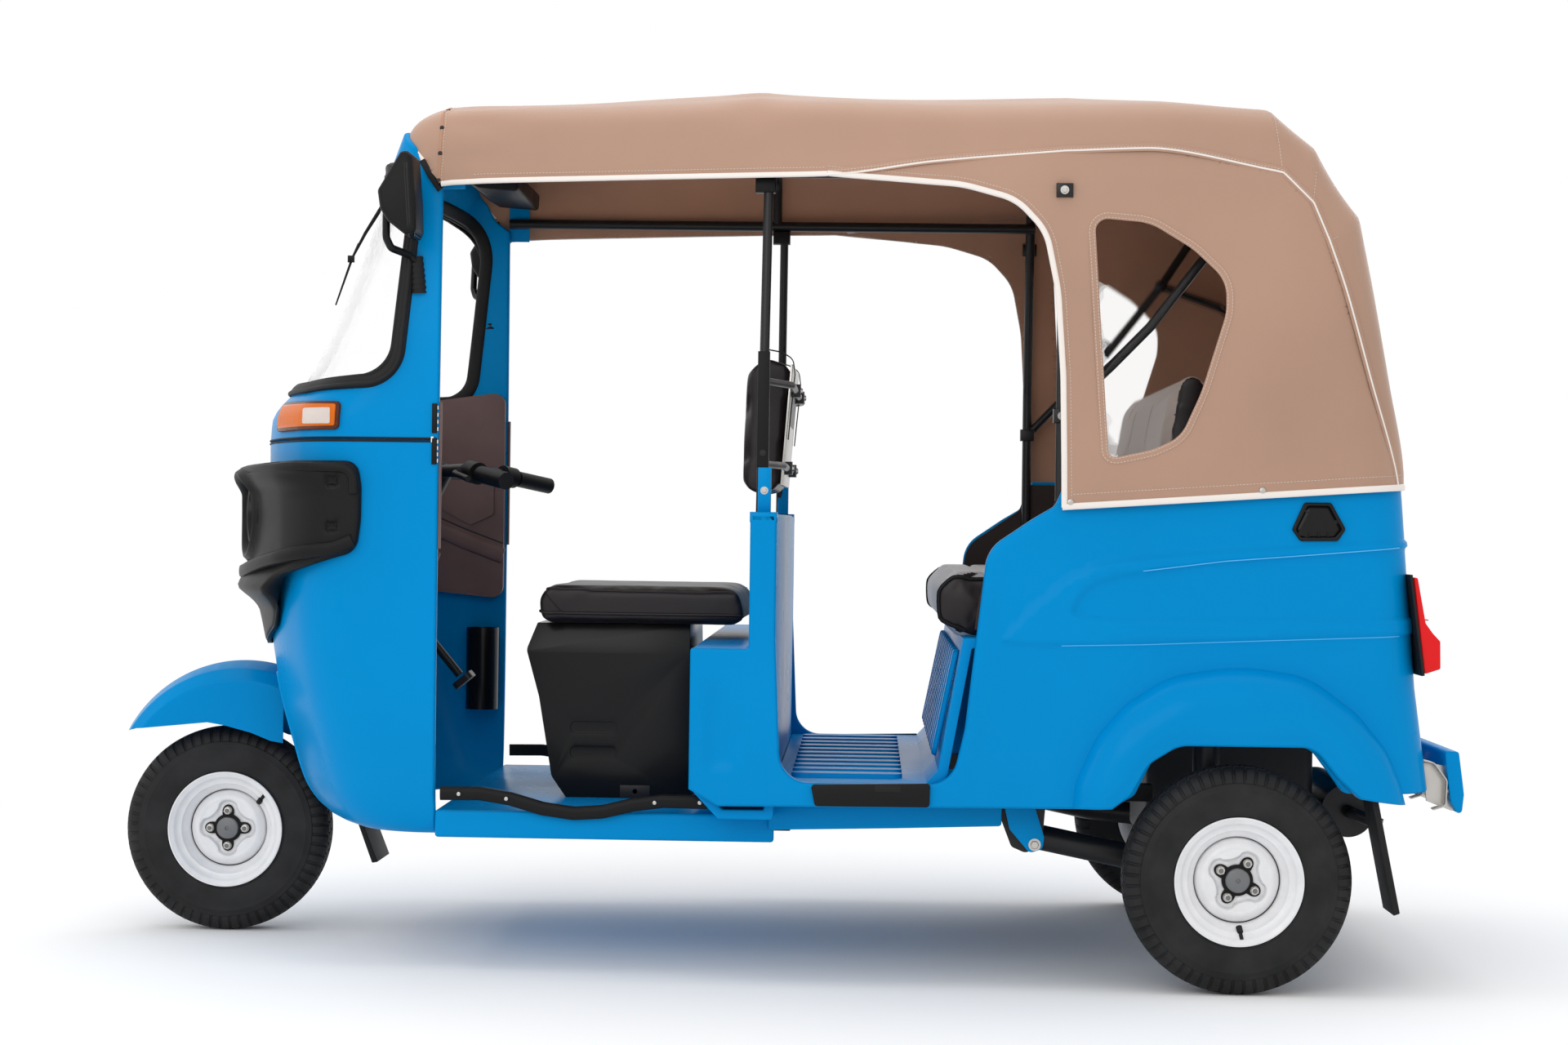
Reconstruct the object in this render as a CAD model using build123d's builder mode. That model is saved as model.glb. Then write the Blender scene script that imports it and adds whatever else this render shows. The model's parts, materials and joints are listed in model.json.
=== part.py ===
# Auto rickshaw: three wheels, open cab and passenger tub, canvas hood on a tube frame.
# Millimetres. Forward is -X, the vehicle's left side is -Y, up is +Z.
# The origin lies on the ground below the middle of the vehicle.
from build123d import *
import os
from math import acos, cos, radians, sin, tan

os.makedirs("parts", exist_ok=True)

# ---------------------------------------------------------------- driving dimensions
half_length = 1320  # ground frame: fender tip to bumper, halved
track = 1150  # rear track
rear_axle_x = 890
wheelbase = 2000
front_axle_x = rear_axle_x - wheelbase

tyre_radius = 210
tyre_width = 104
tyre_wall = 12  # rubber at tread and sidewall
rim_radius = 102  # bead seat
rim_flange = 16  # flange height over the bead seat
rim_plate = 5  # pressed sheet of the rim
drum_radius = 74
drum_depth = 58
spindle_radius = 14
bearing_gap = 0.5  # running clearance round a spindle or the steering column

panel = 18  # front cab wall, skin to liner
wall = 25  # passenger tub wall, skin to liner
fit_gap = 0.3  # seated pieces of different material

# front cab
door_x = -608  # rear edge of the cab's sides
cab_half = 505
cab_top_half = 488
cab_bottom = 256
cab_seam = 1003  # joint between lower apron and windscreen frame
cowl_z = 1112  # foot of the raked windscreen
cab_top = 1632
cab_corner = 150  # plan radius of the cab's front corners
cab_nose = 800  # plan radius across the nose
top_corner = 50  # the same two radii at the roof header
top_nose = 2000
screen_foot_x = -987
screen_top_x = -735

# steering
rake = 27.0  # steering axis against the vertical
head_x, head_z = -700, 950  # a point on the steering axis
column_radius = 22
head_wall = 8
well_radius = 205  # space that the front wheel turns in
well_top = 545

# floor and partition
floor_bottom = 252
floor_top = 304
floor_sheet = 18
floor_half = 490
partition_x = -121  # front of the box under the partition
post_front, post_rear = -13, 36
post_top = 872
box_top = 622
tub_half = 600
sill_bottom = 330
step_z = 376  # passenger floor

# rear tub
tub_top = 955
tub_corner = 90
split_x = 1100  # joint between the flat sides and the rear panel
arch_top = 459
flare_reach = 50  # how far the flare stands out of the side

# hood
hood_skin = 5
hood_rail_z = 1518
hood_tube = 11
shoulder_drop = 72  # shoulder of the hood below its crown
shoulder_width = 28
crown_rise = 14  # corner of the crown's outline over its round top
header_crown = 1640  # crown of the hood at the windscreen's top
header_half = 500


def axis_point(z):
    """Point on the steering axis at height z."""
    return (head_x - (head_z - z) * tan(radians(rake)), 0, z)


steer_dir = (sin(radians(rake)), 0, cos(radians(rake)))
front_axle = (front_axle_x, 0, tyre_radius)
rear_axles = {"left": (rear_axle_x, -track / 2, tyre_radius),
              "right": (rear_axle_x, track / 2, tyre_radius)}


def save(builder, name):
    builder.part.label = name
    export_step(builder.part, f"parts/{name}.step")


def side_prism(points, half, radius=0.0, inner=0.0):
    """Solid with the side outline (x, z), from |y| = inner to half on both sides."""
    with BuildPart() as prism:
        with BuildSketch(Plane.XZ):
            with BuildLine():
                FilletPolyline(*points, radius=radius, close=True)
            make_face()
        extrude(amount=half, both=True)
        if inner:
            with BuildSketch(Plane.XZ):
                Rectangle(4000, 5000)
            extrude(amount=inner, both=True, mode=Mode.SUBTRACT)
    return prism.part


def cab_plan(front_x, half, corner, nose, rear_x):
    """Plan outline of the cab: two sides, two corner arcs and one broad nose arc."""
    turn = acos((half - corner) / (nose - corner))
    side_x = front_x + corner * sin(turn) + nose * (1 - sin(turn))
    mid = (side_x - corner * sin(turn / 2), half - corner * (1 - cos(turn / 2)))
    end = (front_x + nose * (1 - sin(turn)), nose * cos(turn))
    Line((rear_x, -half), (side_x, -half))
    ThreePointArc((side_x, -half), (mid[0], -mid[1]), (end[0], -end[1]))
    ThreePointArc((end[0], -end[1]), (front_x, 0), end)
    ThreePointArc(end, mid, (side_x, half))
    Line((side_x, half), (rear_x, half))
    Line((rear_x, half), (rear_x, -half))


# height, x of the nose, half width, plan radius of the corner, plan radius of the nose
apron_sections = (
    (cab_bottom, -850, 455, cab_corner, cab_nose),
    (cab_bottom + 12, -886, 474, cab_corner, cab_nose),
    (cab_bottom + 36, -912, 487, cab_corner, cab_nose),
    (330, -936, 495, cab_corner, cab_nose),
    (400, -960, 501, cab_corner, cab_nose),
    (545, -998, cab_half, cab_corner, cab_nose),
    (700, -1016, cab_half, cab_corner, cab_nose),
    (cab_seam, -1018, cab_half, cab_corner, cab_nose),
)
screen_sections = (
    (cab_seam, -1018, cab_half, cab_corner, cab_nose),
    (1072, -1013, cab_half, cab_corner, cab_nose),
    (cowl_z, screen_foot_x, cab_half - 2, cab_corner, cab_nose),
    (cab_top, screen_top_x, cab_top_half, top_corner, top_nose),
)


def cab_solid(sections, inset, rear_x, lift=0.0):
    """The cab's outer form, drawn in by inset and its lowest section lifted."""
    with BuildPart() as form:
        for row, (z, front_x, half, corner, nose) in enumerate(sections):
            rise = lift if row == 0 else 0
            with BuildSketch(Plane.XY.offset(z + rise)):
                with BuildLine():
                    cab_plan(front_x + inset, half - inset, corner - inset, nose - inset, rear_x)
                make_face()
        loft(ruled=True)
    return form.part


apron_outer = cab_solid(apron_sections, 0, door_x)
apron_inner = cab_solid(apron_sections, panel, door_x + 60, lift=panel)
screen_outer = cab_solid(screen_sections, 0, door_x)
screen_inner = cab_solid(screen_sections, panel, door_x + 60)


def well(radius, top):
    """Space round the steering axis, from the ground to height top."""
    with BuildPart() as space:
        with BuildSketch(Plane(axis_point(100), z_dir=steer_dir)):
            Circle(radius)
        extrude(amount=(top - 100) / cos(radians(rake)))
        fillet(space.faces().sort_by(Axis.Z)[-1].edges(), 40)
    return space.part


well_inner = well(well_radius, well_top)
well_outer = well(well_radius + panel, well_top + panel)

# ---------------------------------------------------------------- front apron
with BuildPart() as apron_void:
    add(apron_inner)
    add(well_outer, mode=Mode.SUBTRACT)

with BuildPart() as column_bore:
    with BuildSketch(Plane(axis_point(well_top - 120), z_dir=steer_dir)):
        Circle(column_radius + head_wall + fit_gap)
    extrude(amount=400)

with BuildPart() as front_apron:
    add(apron_outer)
    add(well_inner, mode=Mode.SUBTRACT)
    add(apron_void.part, mode=Mode.SUBTRACT)
    add(column_bore.part, mode=Mode.SUBTRACT)
save(front_apron, "front_apron")


def hood_section(crown, half, low_half, inset):
    """Cross-section of the hood: straight sides, round shoulders and a crowned roof."""
    FilletPolyline(
        (-low_half + inset, 700),
        (-low_half + 1 + inset, 980),
        (-half + inset, 1504),
        (-half + shoulder_width + inset, crown - shoulder_drop),
        (0, crown + crown_rise - inset),
        (half - shoulder_width - inset, crown - shoulder_drop),
        (half - inset, 1504),
        (low_half - 1 - inset, 980),
        (low_half - inset, 700),
        radius=[0, 300, 30, 60, 900, 60, 30, 300, 0],
        close=True,
    )


# ---------------------------------------------------------------- windscreen frame, glass and seal
# outer edge of the rubber seal in side view; the front end runs past the nose
seal_edge = (
    (-1200, 1092),
    (-903, 1100),
    (-795, 1112),
    (-712, 1160),
    (-684, 1420),
    (-684, 1580),
    (-1200, 1580),
)
seal_radius = (0, 60, 60, 60, 60, 30, 0)
seal_width = 26
glass_sheet = 5


def screen_cut(inset):
    with BuildPart() as cut:
        with BuildSketch(Plane.XZ):
            with BuildLine():
                FilletPolyline(*seal_edge, radius=seal_radius, close=True)
            make_face()
            if inset:
                offset(amount=-inset, kind=Kind.INTERSECTION, mode=Mode.REPLACE)
        extrude(amount=700, both=True)
    return cut.part


with BuildPart() as windscreen_frame:
    add(screen_outer)
    add(screen_inner, mode=Mode.SUBTRACT)
    with BuildSketch(Plane.XY.offset(cab_top - panel)):
        with BuildLine():
            cab_plan(screen_top_x + 1, cab_top_half - 1, top_corner, top_nose, door_x)
        make_face()
    extrude(amount=panel)
    add(screen_outer, mode=Mode.INTERSECT)
    with BuildSketch(Plane.YZ.offset(-1100)):
        with BuildLine():
            hood_section(header_crown, header_half, cab_half + 15, hood_skin + fit_gap)
        make_face()
    extrude(amount=600, mode=Mode.INTERSECT)
    add(screen_cut(seal_width / 2), mode=Mode.SUBTRACT)
save(windscreen_frame, "windscreen_frame")

glass_outer = cab_solid(screen_sections, 6, door_x)
glass_inner = cab_solid(screen_sections, 6 + glass_sheet, door_x + 60)
with BuildPart() as windscreen_glass:
    add(glass_outer)
    add(glass_inner, mode=Mode.SUBTRACT)
    add(screen_cut(seal_width), mode=Mode.INTERSECT)
save(windscreen_glass, "windscreen_glass")

with BuildPart() as windscreen_seal:
    add(cab_solid(screen_sections, -5, door_x))
    add(cab_solid(screen_sections, 14, door_x + 60), mode=Mode.SUBTRACT)
    add(screen_cut(0), mode=Mode.INTERSECT)
    add(screen_cut(seal_width), mode=Mode.SUBTRACT)
    add(windscreen_frame.part, mode=Mode.SUBTRACT)
    add(windscreen_glass.part, mode=Mode.SUBTRACT)
save(windscreen_seal, "windscreen_seal")

# ---------------------------------------------------------------- lamp mask, headlamps, indicators
mask_sections = (
    (585, -1040, 508, cab_corner, cab_nose),
    (735, -1070, 522, cab_corner, cab_nose),
    (965, -1072, 522, cab_corner, cab_nose),
)
mask_outline = (
    (-1200, 585),
    (-1045, 585),
    (-962, 650),
    (-925, 752),
    (-790, 778),
    (-764, 830),
    (-764, 930),
    (-795, 962),
    (-1200, 950),
)
lamp_radius = 72
lamp_y, lamp_z = 262, 858
mask_lip = 8  # how far the brow and the lower lip stand out
brow_outline = ((-1200, 938), (-1010, 938), (-960, 944), (-795, 944), (-795, 962), (-1200, 950))
lip_outline = ((-1200, 694), (-1040, 694), (-968, 740), (-938, 748), (-932, 728), (-975, 706), (-1044, 668),
               (-1200, 668))
mouth_outline = ((-1200, 656), (-1040, 656), (-1010, 624), (-1200, 620))
mouth_half, mouth_depth = 190, 18
pocket_x, pocket_heights = -809, (838, 925)  # screw pockets at the rear edge of the mask
pocket_length, pocket_height, pocket_depth = 27, 20, 7
mask_half = mask_sections[-1][2]
mask_form = cab_solid(mask_sections, 0, door_x)
mask_proud = cab_solid(mask_sections, -mask_lip, door_x)
mask_sunk = cab_solid(mask_sections, mouth_depth, door_x)


def lamp_barrel(side):
    with BuildPart() as barrel:
        with BuildSketch(Plane.YZ.offset(-1200)):
            with Locations((side * lamp_y, lamp_z)):
                Circle(lamp_radius)
        extrude(amount=500)
    return barrel.part


def raised_band(outline):
    """Stretch of the mask inside the side outline, standing proud by mask_lip."""
    with BuildPart() as band:
        add(mask_proud)
        add(side_prism(outline, 700), mode=Mode.INTERSECT)
    return band.part


def mask_mouth():
    """Space of the air mouth under the lamps, mouth_depth behind the mask's face."""
    with BuildPart() as mouth:
        add(side_prism(mouth_outline, mouth_half))
        add(mask_sunk, mode=Mode.SUBTRACT)
    return mouth.part


lens_form = cab_solid(mask_sections, 6, door_x)


def headlamp(side):
    with BuildPart() as lamp:
        add(lamp_barrel(side))
        add(lens_form, mode=Mode.INTERSECT)
        add(apron_outer, mode=Mode.SUBTRACT)
    return lamp.part


with BuildPart() as lamp_mask:
    add(mask_form)
    add(side_prism(mask_outline, 700, 12), mode=Mode.INTERSECT)
    for outline in (brow_outline, lip_outline):
        add(raised_band(outline))
    add(mask_mouth(), mode=Mode.SUBTRACT)
    add(apron_outer, mode=Mode.SUBTRACT)
    for side in (-1, 1):
        add(lamp_barrel(side), mode=Mode.SUBTRACT)
        with BuildSketch(Plane.XZ.offset(-side * (mask_half - pocket_depth))):
            with Locations(*[(pocket_x, z) for z in pocket_heights]):
                RectangleRounded(pocket_length, pocket_height, 4)
        extrude(amount=-side * 50, mode=Mode.SUBTRACT)
save(lamp_mask, "lamp_mask")

with BuildPart() as headlamps:
    for side in (-1, 1):
        add(headlamp(side))
save(headlamps, "headlamps")

indicator_outline = ((-940, 1018), (-816, 1022), (-812, 1073), (-934, 1077))
with BuildPart() as indicators:
    add(cab_solid(screen_sections[:3], -9, door_x))
    add(side_prism(indicator_outline, 700, 12), mode=Mode.INTERSECT)
    add(screen_outer, mode=Mode.SUBTRACT)
save(indicators, "indicators")

# ---------------------------------------------------------------- dash, steering head, pedal, bottle holder
liner = 22
shelf_outline = ((-1100, 880), (-880, 880), (-836, 930), (-826, 1040), (-880, 1075), (-1100, 1080))
liner_outline = ((-840, 700), (-612, 677), (-612, 1140), (-760, 1120), (-840, 1060))
speaker_outline = ((-756, 950), (-634, 950), (-634, 866), (-686, 841), (-756, 878))
speaker_rise = 5
with BuildPart() as dash_liners:
    add(apron_inner)
    add(screen_inner)
    add(side_prism(liner_outline, 700, 25, inner=cab_half - panel - liner), mode=Mode.INTERSECT)
with BuildPart() as dash_shelf:
    add(apron_inner)
    add(screen_inner)
    add(side_prism(shelf_outline, 700, 20), mode=Mode.INTERSECT)
with BuildPart() as dash_panel:
    add(dash_liners.part)
    add(dash_shelf.part)
    with BuildSketch(Plane(axis_point(800), z_dir=steer_dir)):
        Circle(70)
    extrude(amount=400, mode=Mode.SUBTRACT)
    liner_face = cab_half - panel - liner
    add(side_prism(speaker_outline, liner_face + 1, 8, inner=liner_face - speaker_rise))
    add(windscreen_frame.part, mode=Mode.SUBTRACT)
    add(windscreen_seal.part, mode=Mode.SUBTRACT)
    add(windscreen_glass.part, mode=Mode.SUBTRACT)
save(dash_panel, "dash_panel")

with BuildPart() as steering_head:
    with BuildSketch(Plane(axis_point(well_top - 20), z_dir=steer_dir)):
        Circle(column_radius + head_wall)
        Circle(column_radius + bearing_gap, mode=Mode.SUBTRACT)
    extrude(amount=420)
save(steering_head, "steering_head")


def rod(points, radius, bend=0.0):
    """Round bar along straight runs with equal bends."""
    with BuildPart() as bar:
        with BuildLine() as path:
            if bend:
                FilletPolyline(*points, radius=bend)
            else:
                Polyline(*points)
        with BuildSketch(Plane(path.line @ 0, z_dir=path.line % 0)):
            Circle(radius)
        sweep()
    return bar.part


with BuildPart() as brake_pedal:
    add(rod(((-880, 120, 884), (-800, 120, 700), (-655, 120, 525)), 9, 60))
    with BuildSketch(Plane((-650, 120, 520), z_dir=(0.64, 0, -0.77))):
        RectangleRounded(46, 60, 12)
    extrude(amount=14)
    add(dash_panel.part, mode=Mode.SUBTRACT)
save(brake_pedal, "brake_pedal")

bottle_radius = 36
with BuildPart() as bottle_holder:
    with BuildSketch(Plane.XY.offset(431)):
        with Locations((-654, cab_half - panel - bottle_radius + 2)):
            Circle(bottle_radius)
    extrude(amount=182)
    with BuildSketch(Plane.XY.offset(437)):
        with Locations((-654, cab_half - panel - bottle_radius + 2)):
            Circle(bottle_radius - 4)
    extrude(amount=182, mode=Mode.SUBTRACT)
    add(front_apron.part, mode=Mode.SUBTRACT)
save(bottle_holder, "bottle_holder")

# ---------------------------------------------------------------- wiper and mirrors
def screen_x(z):
    """Nose of the windscreen at height z."""
    return screen_foot_x + (z - cowl_z) * (screen_top_x - screen_foot_x) / (cab_top - cowl_z)


wiper_y = -40
with BuildPart() as wiper:
    add(rod(((screen_x(1560) + 8, wiper_y, 1560), (screen_x(1540) - 16, wiper_y, 1530),
             (screen_x(1390) - 20, wiper_y, 1390)), 5, 12))
    with BuildSketch(Plane.XZ.offset(-wiper_y - 4)):
        with BuildLine():
            Polyline((screen_x(1530) - 13, 1530), (screen_x(1230) - 13, 1230), (screen_x(1230) - 1, 1230),
                     (screen_x(1530) - 1, 1530), close=True)
        make_face()
    extrude(amount=8)
    add(glass_outer, mode=Mode.SUBTRACT)
    add(windscreen_frame.part, mode=Mode.SUBTRACT)
    add(windscreen_seal.part, mode=Mode.SUBTRACT)
save(wiper, "wiper")

mirror_outline = ((-664, 1542), (-709, 1465), (-706, 1427), (-654, 1374), (-636, 1382), (-638, 1500))
with BuildPart() as mirrors:
    for side in (-1, 1):
        with BuildSketch(Plane.XZ.offset(-side * 585 - 55)):
            with BuildLine():
                FilletPolyline(*mirror_outline, radius=10, close=True)
            make_face()
        extrude(amount=110)
        add(rod(((-640, side * 480, 1310), (-640, side * 535, 1315), (-690, side * 560, 1345),
                 (-675, side * 575, 1400)), 8, 18))
    add(screen_outer, mode=Mode.SUBTRACT)
save(mirrors, "mirrors")

# ---------------------------------------------------------------- floor pan and sill trims
rail_line = ((-606, 316), (-450, 298), (-412, 298), (-345, 276), (-212, 313), (-125, 303), (-92, 298))
with BuildPart() as floor_pan:
    with BuildSketch(Plane.XY.offset(floor_bottom)):
        with Locations(((door_x + 34) / 2, 0)):
            Rectangle(34 - door_x, 2 * floor_half)
    extrude(amount=floor_top - floor_bottom)
    with BuildSketch(Plane.XY.offset(floor_bottom)):
        with Locations(((door_x + 34) / 2, 0)):
            Rectangle(40 - door_x, 2 * (floor_half - floor_sheet))
    extrude(amount=floor_top - floor_bottom - floor_sheet, mode=Mode.SUBTRACT)
save(floor_pan, "floor_pan")

rail_depth = 22
step_front, step_rear = 95, 320
with BuildPart() as sill_trims:
    add(side_prism(rail_line + tuple((x, z + rail_depth) for x, z in reversed(rail_line)), floor_half + 20,
                   3,
                   inner=floor_half))
    add(side_prism(((step_front, 330), (step_rear, 330), (step_rear, 372), (step_front, 372)),
                   tub_half + 8, 5,
                   inner=tub_half))
save(sill_trims, "sill_trims")

# ---------------------------------------------------------------- partition and tub sides
partition_outline = (
    (partition_x, 361),
    (-67, floor_top),
    (post_rear, floor_top),
    (post_rear, post_top),
    (post_front, post_top),
    (post_front, box_top),
    (partition_x, box_top),
)
with BuildPart() as partition:
    with BuildSketch(Plane.XZ):
        with BuildLine():
            FilletPolyline(*partition_outline, radius=8, close=True)
        make_face()
        offset(amount=-floor_sheet, kind=Kind.INTERSECTION, mode=Mode.SUBTRACT)
    extrude(amount=tub_half - wall, both=True)
save(partition, "partition")

# x, z and corner radius round the tub side, clockwise from the front of the box
side_outline = (
    (partition_x, 361, 6),
    (-67, 330, 8),
    (655, sill_bottom + 6, 10),
    (700, 362, 18),
    (748, arch_top, 40),
    (1018, arch_top, 50),
    (1082, 372, 15),
    (split_x, 372, 0),
    (split_x, tub_top, 0),
    (575, tub_top, 4),
    (548, 893, 20),
    (508, 869, 40),
    (425, 812, 70),
    (step_rear + 68, 480, 90),
    (364, step_z, 55),
    (48, step_z, 55),
    (36, 640, 60),
    (post_rear, post_top, 3),
    (post_front, post_top, 3),
    (post_front, box_top, 3),
    (partition_x, box_top, 4),
)


def tub_side(side):
    with BuildPart() as skin:
        with BuildSketch(Plane.XZ.offset(-side * tub_half if side > 0 else tub_half - wall)):
            with BuildLine():
                FilletPolyline(*[(x, z) for x, z, r in side_outline],
                               radius=[r for x, z, r in side_outline],
                               close=True)
            make_face()
        extrude(amount=wall)
    return skin


left_side = tub_side(-1)
save(left_side, "left_side")
right_side = tub_side(1)
save(right_side, "right_side")

# ---------------------------------------------------------------- rear panel and engine door
# height and x of the rear face
rear_sections = ((372, 1250), (564, 1224), (tub_top, 1193))


def rear_form(inset, front_x):
    with BuildPart() as form:
        for z, rear_x in rear_sections:
            back = rear_x - inset
            half = tub_half - inset
            corner = tub_corner - inset
            with BuildSketch(Plane.XY.offset(z)):
                with BuildLine():
                    FilletPolyline((front_x, -half), (back, -half), (back, half), (front_x, half),
                                   radius=[0, corner, corner, 0], close=True)
                make_face()
        loft(ruled=True)
    return form.part


rear_outer = rear_form(0, split_x)
rear_inner = rear_form(wall, split_x - 40)
door_half, door_foot, door_head = 330, 470, 800
door_gap = 6
hinge_x, hinge_z = 1206.5, 803
hinge_pin, hinge_barrel = 3, 6
hinge_y = 210  # middle of each hinge
leaf_half, hinge_half = 30, 58  # half lengths of the door's barrel and of the whole hinge


def hinge_bar(radius, half):
    """Round bars on the hinge line, one for each hinge."""
    with BuildPart() as bars:
        with BuildSketch(Plane.XZ):
            with Locations((hinge_x, hinge_z)):
                Circle(radius)
        extrude(amount=hinge_y + half, both=True)
        with BuildSketch(Plane.XZ):
            Rectangle(4000, 4000)
        extrude(amount=hinge_y - half, both=True, mode=Mode.SUBTRACT)
    return bars.part


with BuildPart() as rear_panel:
    add(rear_outer)
    add(rear_inner, mode=Mode.SUBTRACT)
    with BuildSketch(Plane.YZ.offset(1100)):
        with Locations((0, (door_foot + door_head) / 2)):
            RectangleRounded(2 * (door_half + door_gap), door_head - door_foot + 2 * door_gap, 30)
    extrude(amount=300, mode=Mode.SUBTRACT)
    add(hinge_bar(hinge_barrel, hinge_half))
    add(hinge_bar(hinge_barrel + 2, leaf_half + 1), mode=Mode.SUBTRACT)
    add(hinge_bar(hinge_pin, hinge_half))
save(rear_panel, "rear_panel")

with BuildPart() as engine_door:
    add(rear_outer)
    add(rear_inner, mode=Mode.SUBTRACT)
    with BuildSketch(Plane.YZ.offset(1150)):
        with Locations((0, (door_foot + door_head) / 2)):
            RectangleRounded(2 * door_half, door_head - door_foot, 24)
    extrude(amount=200, mode=Mode.INTERSECT)
    add(hinge_bar(hinge_barrel + 2, hinge_half + 2), mode=Mode.SUBTRACT)
    add(hinge_bar(hinge_barrel, leaf_half))
    with BuildSketch(Plane.YZ.offset(hinge_x - hinge_barrel)):
        with Locations((-hinge_y, hinge_z - 8), (hinge_y, hinge_z - 8)):
            Rectangle(2 * leaf_half, 12)
    extrude(amount=4)
    add(hinge_bar(hinge_pin + bearing_gap, hinge_half + 2), mode=Mode.SUBTRACT)
save(engine_door, "engine_door")

lamp_outline = ((1120, 776), (1214, 776), (1262, 660), (1260, 597), (1120, 590))
with BuildPart() as tail_lamps:
    add(side_prism(lamp_outline, tub_half - 10, 12, inner=470))
    add(rear_outer, mode=Mode.SUBTRACT)
    with BuildSketch(Plane.XY.offset(400)):
        with Locations((1150 + 100, 0)):
            Rectangle(200, 1400)
    extrude(amount=600, mode=Mode.INTERSECT)
save(tail_lamps, "tail_lamps")

# ---------------------------------------------------------------- flares, vents, flaps, bumper
flare_outline = (
    (586, 250, 1),
    (592, 395, 120),
    (690, 560, 120),
    (905, 610, 300),
    (1090, 560, 120),
    (1190, 400, 120),
    (1190, 250, 1),
)
arch_outline = (
    (640, 200, 1),
    (655, sill_bottom + 6, 10),
    (700, 362, 18),
    (748, arch_top, 40),
    (1018, arch_top, 50),
    (1082, 372, 15),
    (1230, 372, 1),
    (1230, 200, 1),
)
with BuildPart() as wheel_flares:
    for side in (-1, 1):
        with BuildSketch(Plane.XZ.offset(-side * 540)):
            with BuildLine():
                FilletPolyline(*[(x, z) for x, z, r in flare_outline],
                               radius=[r for x, z, r in flare_outline],
                               close=True)
            make_face()
        extrude(amount=-side * 60)
        with BuildSketch(Plane.XZ.offset(-side * tub_half)):
            with BuildLine():
                FilletPolyline(*[(x, z) for x, z, r in flare_outline],
                               radius=[r for x, z, r in flare_outline],
                               close=True)
            make_face()
        extrude(amount=-side * flare_reach, taper=28)
    with BuildSketch(Plane.XZ):
        with BuildLine():
            FilletPolyline(*[(x, z) for x, z, r in arch_outline], radius=[r for x, z, r in arch_outline],
                           close=True)
        make_face()
    extrude(amount=700, both=True, mode=Mode.SUBTRACT)
    with BuildSketch(Plane.XY.offset(200)):
        with Locations((900, 0)):
            Rectangle(800, 1400)
    extrude(amount=sill_bottom + 14 - 200, mode=Mode.SUBTRACT)
    add(rear_outer, mode=Mode.SUBTRACT)
    with BuildSketch(Plane.XY.offset(200)):
        with Locations(((500 + split_x) / 2, 0)):
            Rectangle(split_x - 500, 2 * tub_half)
    extrude(amount=600, mode=Mode.SUBTRACT)
save(wheel_flares, "wheel_flares")

vent_outline = ((978, 862), (996, 908), (1066, 908), (1082, 862), (1068, 833), (992, 833))
vent_rise = 6
vent_louvres = (845, 860, 875, 890)
louvre_height, louvre_depth = 7, 3
with BuildPart() as side_vents:
    add(side_prism(vent_outline, tub_half + vent_rise, 6, inner=tub_half))
    for z in vent_louvres:
        slot = ((1002, z), (1060, z), (1060, z + louvre_height), (1002, z + louvre_height))
        add(side_prism(slot, tub_half + 20, 2, inner=tub_half + vent_rise - louvre_depth), mode=Mode.SUBTRACT)
save(side_vents, "side_vents")

flap_half = (515, 618)
with BuildPart() as mud_flaps:
    add(side_prism(((1128, 372), (1140, 372), (1184, 156), (1172, 152)), flap_half[1], 0,
                   inner=flap_half[0]))
    add(side_prism(((-842, cab_bottom), (-832, cab_bottom), (-790, 150), (-802, 148)), 70))
    add(apron_outer, mode=Mode.SUBTRACT)
save(mud_flaps, "mud_flaps")

plate_bolt_y, plate_bolt_z, plate_bolt_hole = 75, 380, 3.5
bumper_outline = ((1262, 335), (1262, 425), (1284, 446), (1310, 449), (half_length, 415), (1318, 330))
with BuildPart() as rear_bumper:
    with BuildSketch(Plane.XZ):
        with BuildLine():
            FilletPolyline(*bumper_outline, radius=8, close=True)
        make_face()
        with BuildLine():
            Polyline((1200, 300), (1280, 300), (1302, 345), (1302, 420), (1284, 430), (1200, 400),
                     close=True)
        make_face(mode=Mode.SUBTRACT)
    extrude(amount=520, both=True)
    with BuildSketch(Plane.XZ):
        with Locations((1250, 408)):
            Rectangle(110, 30)
    extrude(amount=310, both=True)
    with BuildSketch(Plane.XZ):
        with Locations((1250, 408)):
            Rectangle(110, 40)
    extrude(amount=300, both=True, mode=Mode.SUBTRACT)
    add(rear_outer, mode=Mode.SUBTRACT)
    with BuildSketch(Plane.YZ.offset(1100)):
        with Locations((0, 400)):
            Rectangle(1200, 200)
    extrude(amount=half_length - 1100, mode=Mode.INTERSECT)
    with BuildSketch(Plane.YZ.offset(1290)):
        with Locations((-plate_bolt_y, plate_bolt_z), (plate_bolt_y, plate_bolt_z)):
            Circle(plate_bolt_hole)
    extrude(amount=100, mode=Mode.SUBTRACT)
save(rear_bumper, "rear_bumper")

# ---------------------------------------------------------------- passenger floor, seats
shelf_z = 646
rib_height = 8
floor_line = ((post_rear, step_z), (318, step_z), (340, 400), (384, shelf_z), (1120, shelf_z))
floor_under = ((1120, shelf_z - floor_sheet), (399, shelf_z - floor_sheet), (357, 393),
               (330, step_z - floor_sheet),
               (post_rear, step_z - floor_sheet))
with BuildPart() as passenger_floor:
    add(side_prism(floor_line + floor_under, tub_half - wall, 4))
    with BuildSketch(Plane.XY.offset(step_z)):
        with GridLocations(0, 92, 1, 11):
            with Locations((170, 0)):
                SlotOverall(210, 44)
    extrude(amount=rib_height)
    for side in (-1, 1):
        with BuildSketch(Plane.XY.offset(470)):
            with Locations((880, side * 486)):
                Rectangle(480, 8)
        extrude(amount=shelf_z - 470 - 1)
save(passenger_floor, "passenger_floor")

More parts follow.
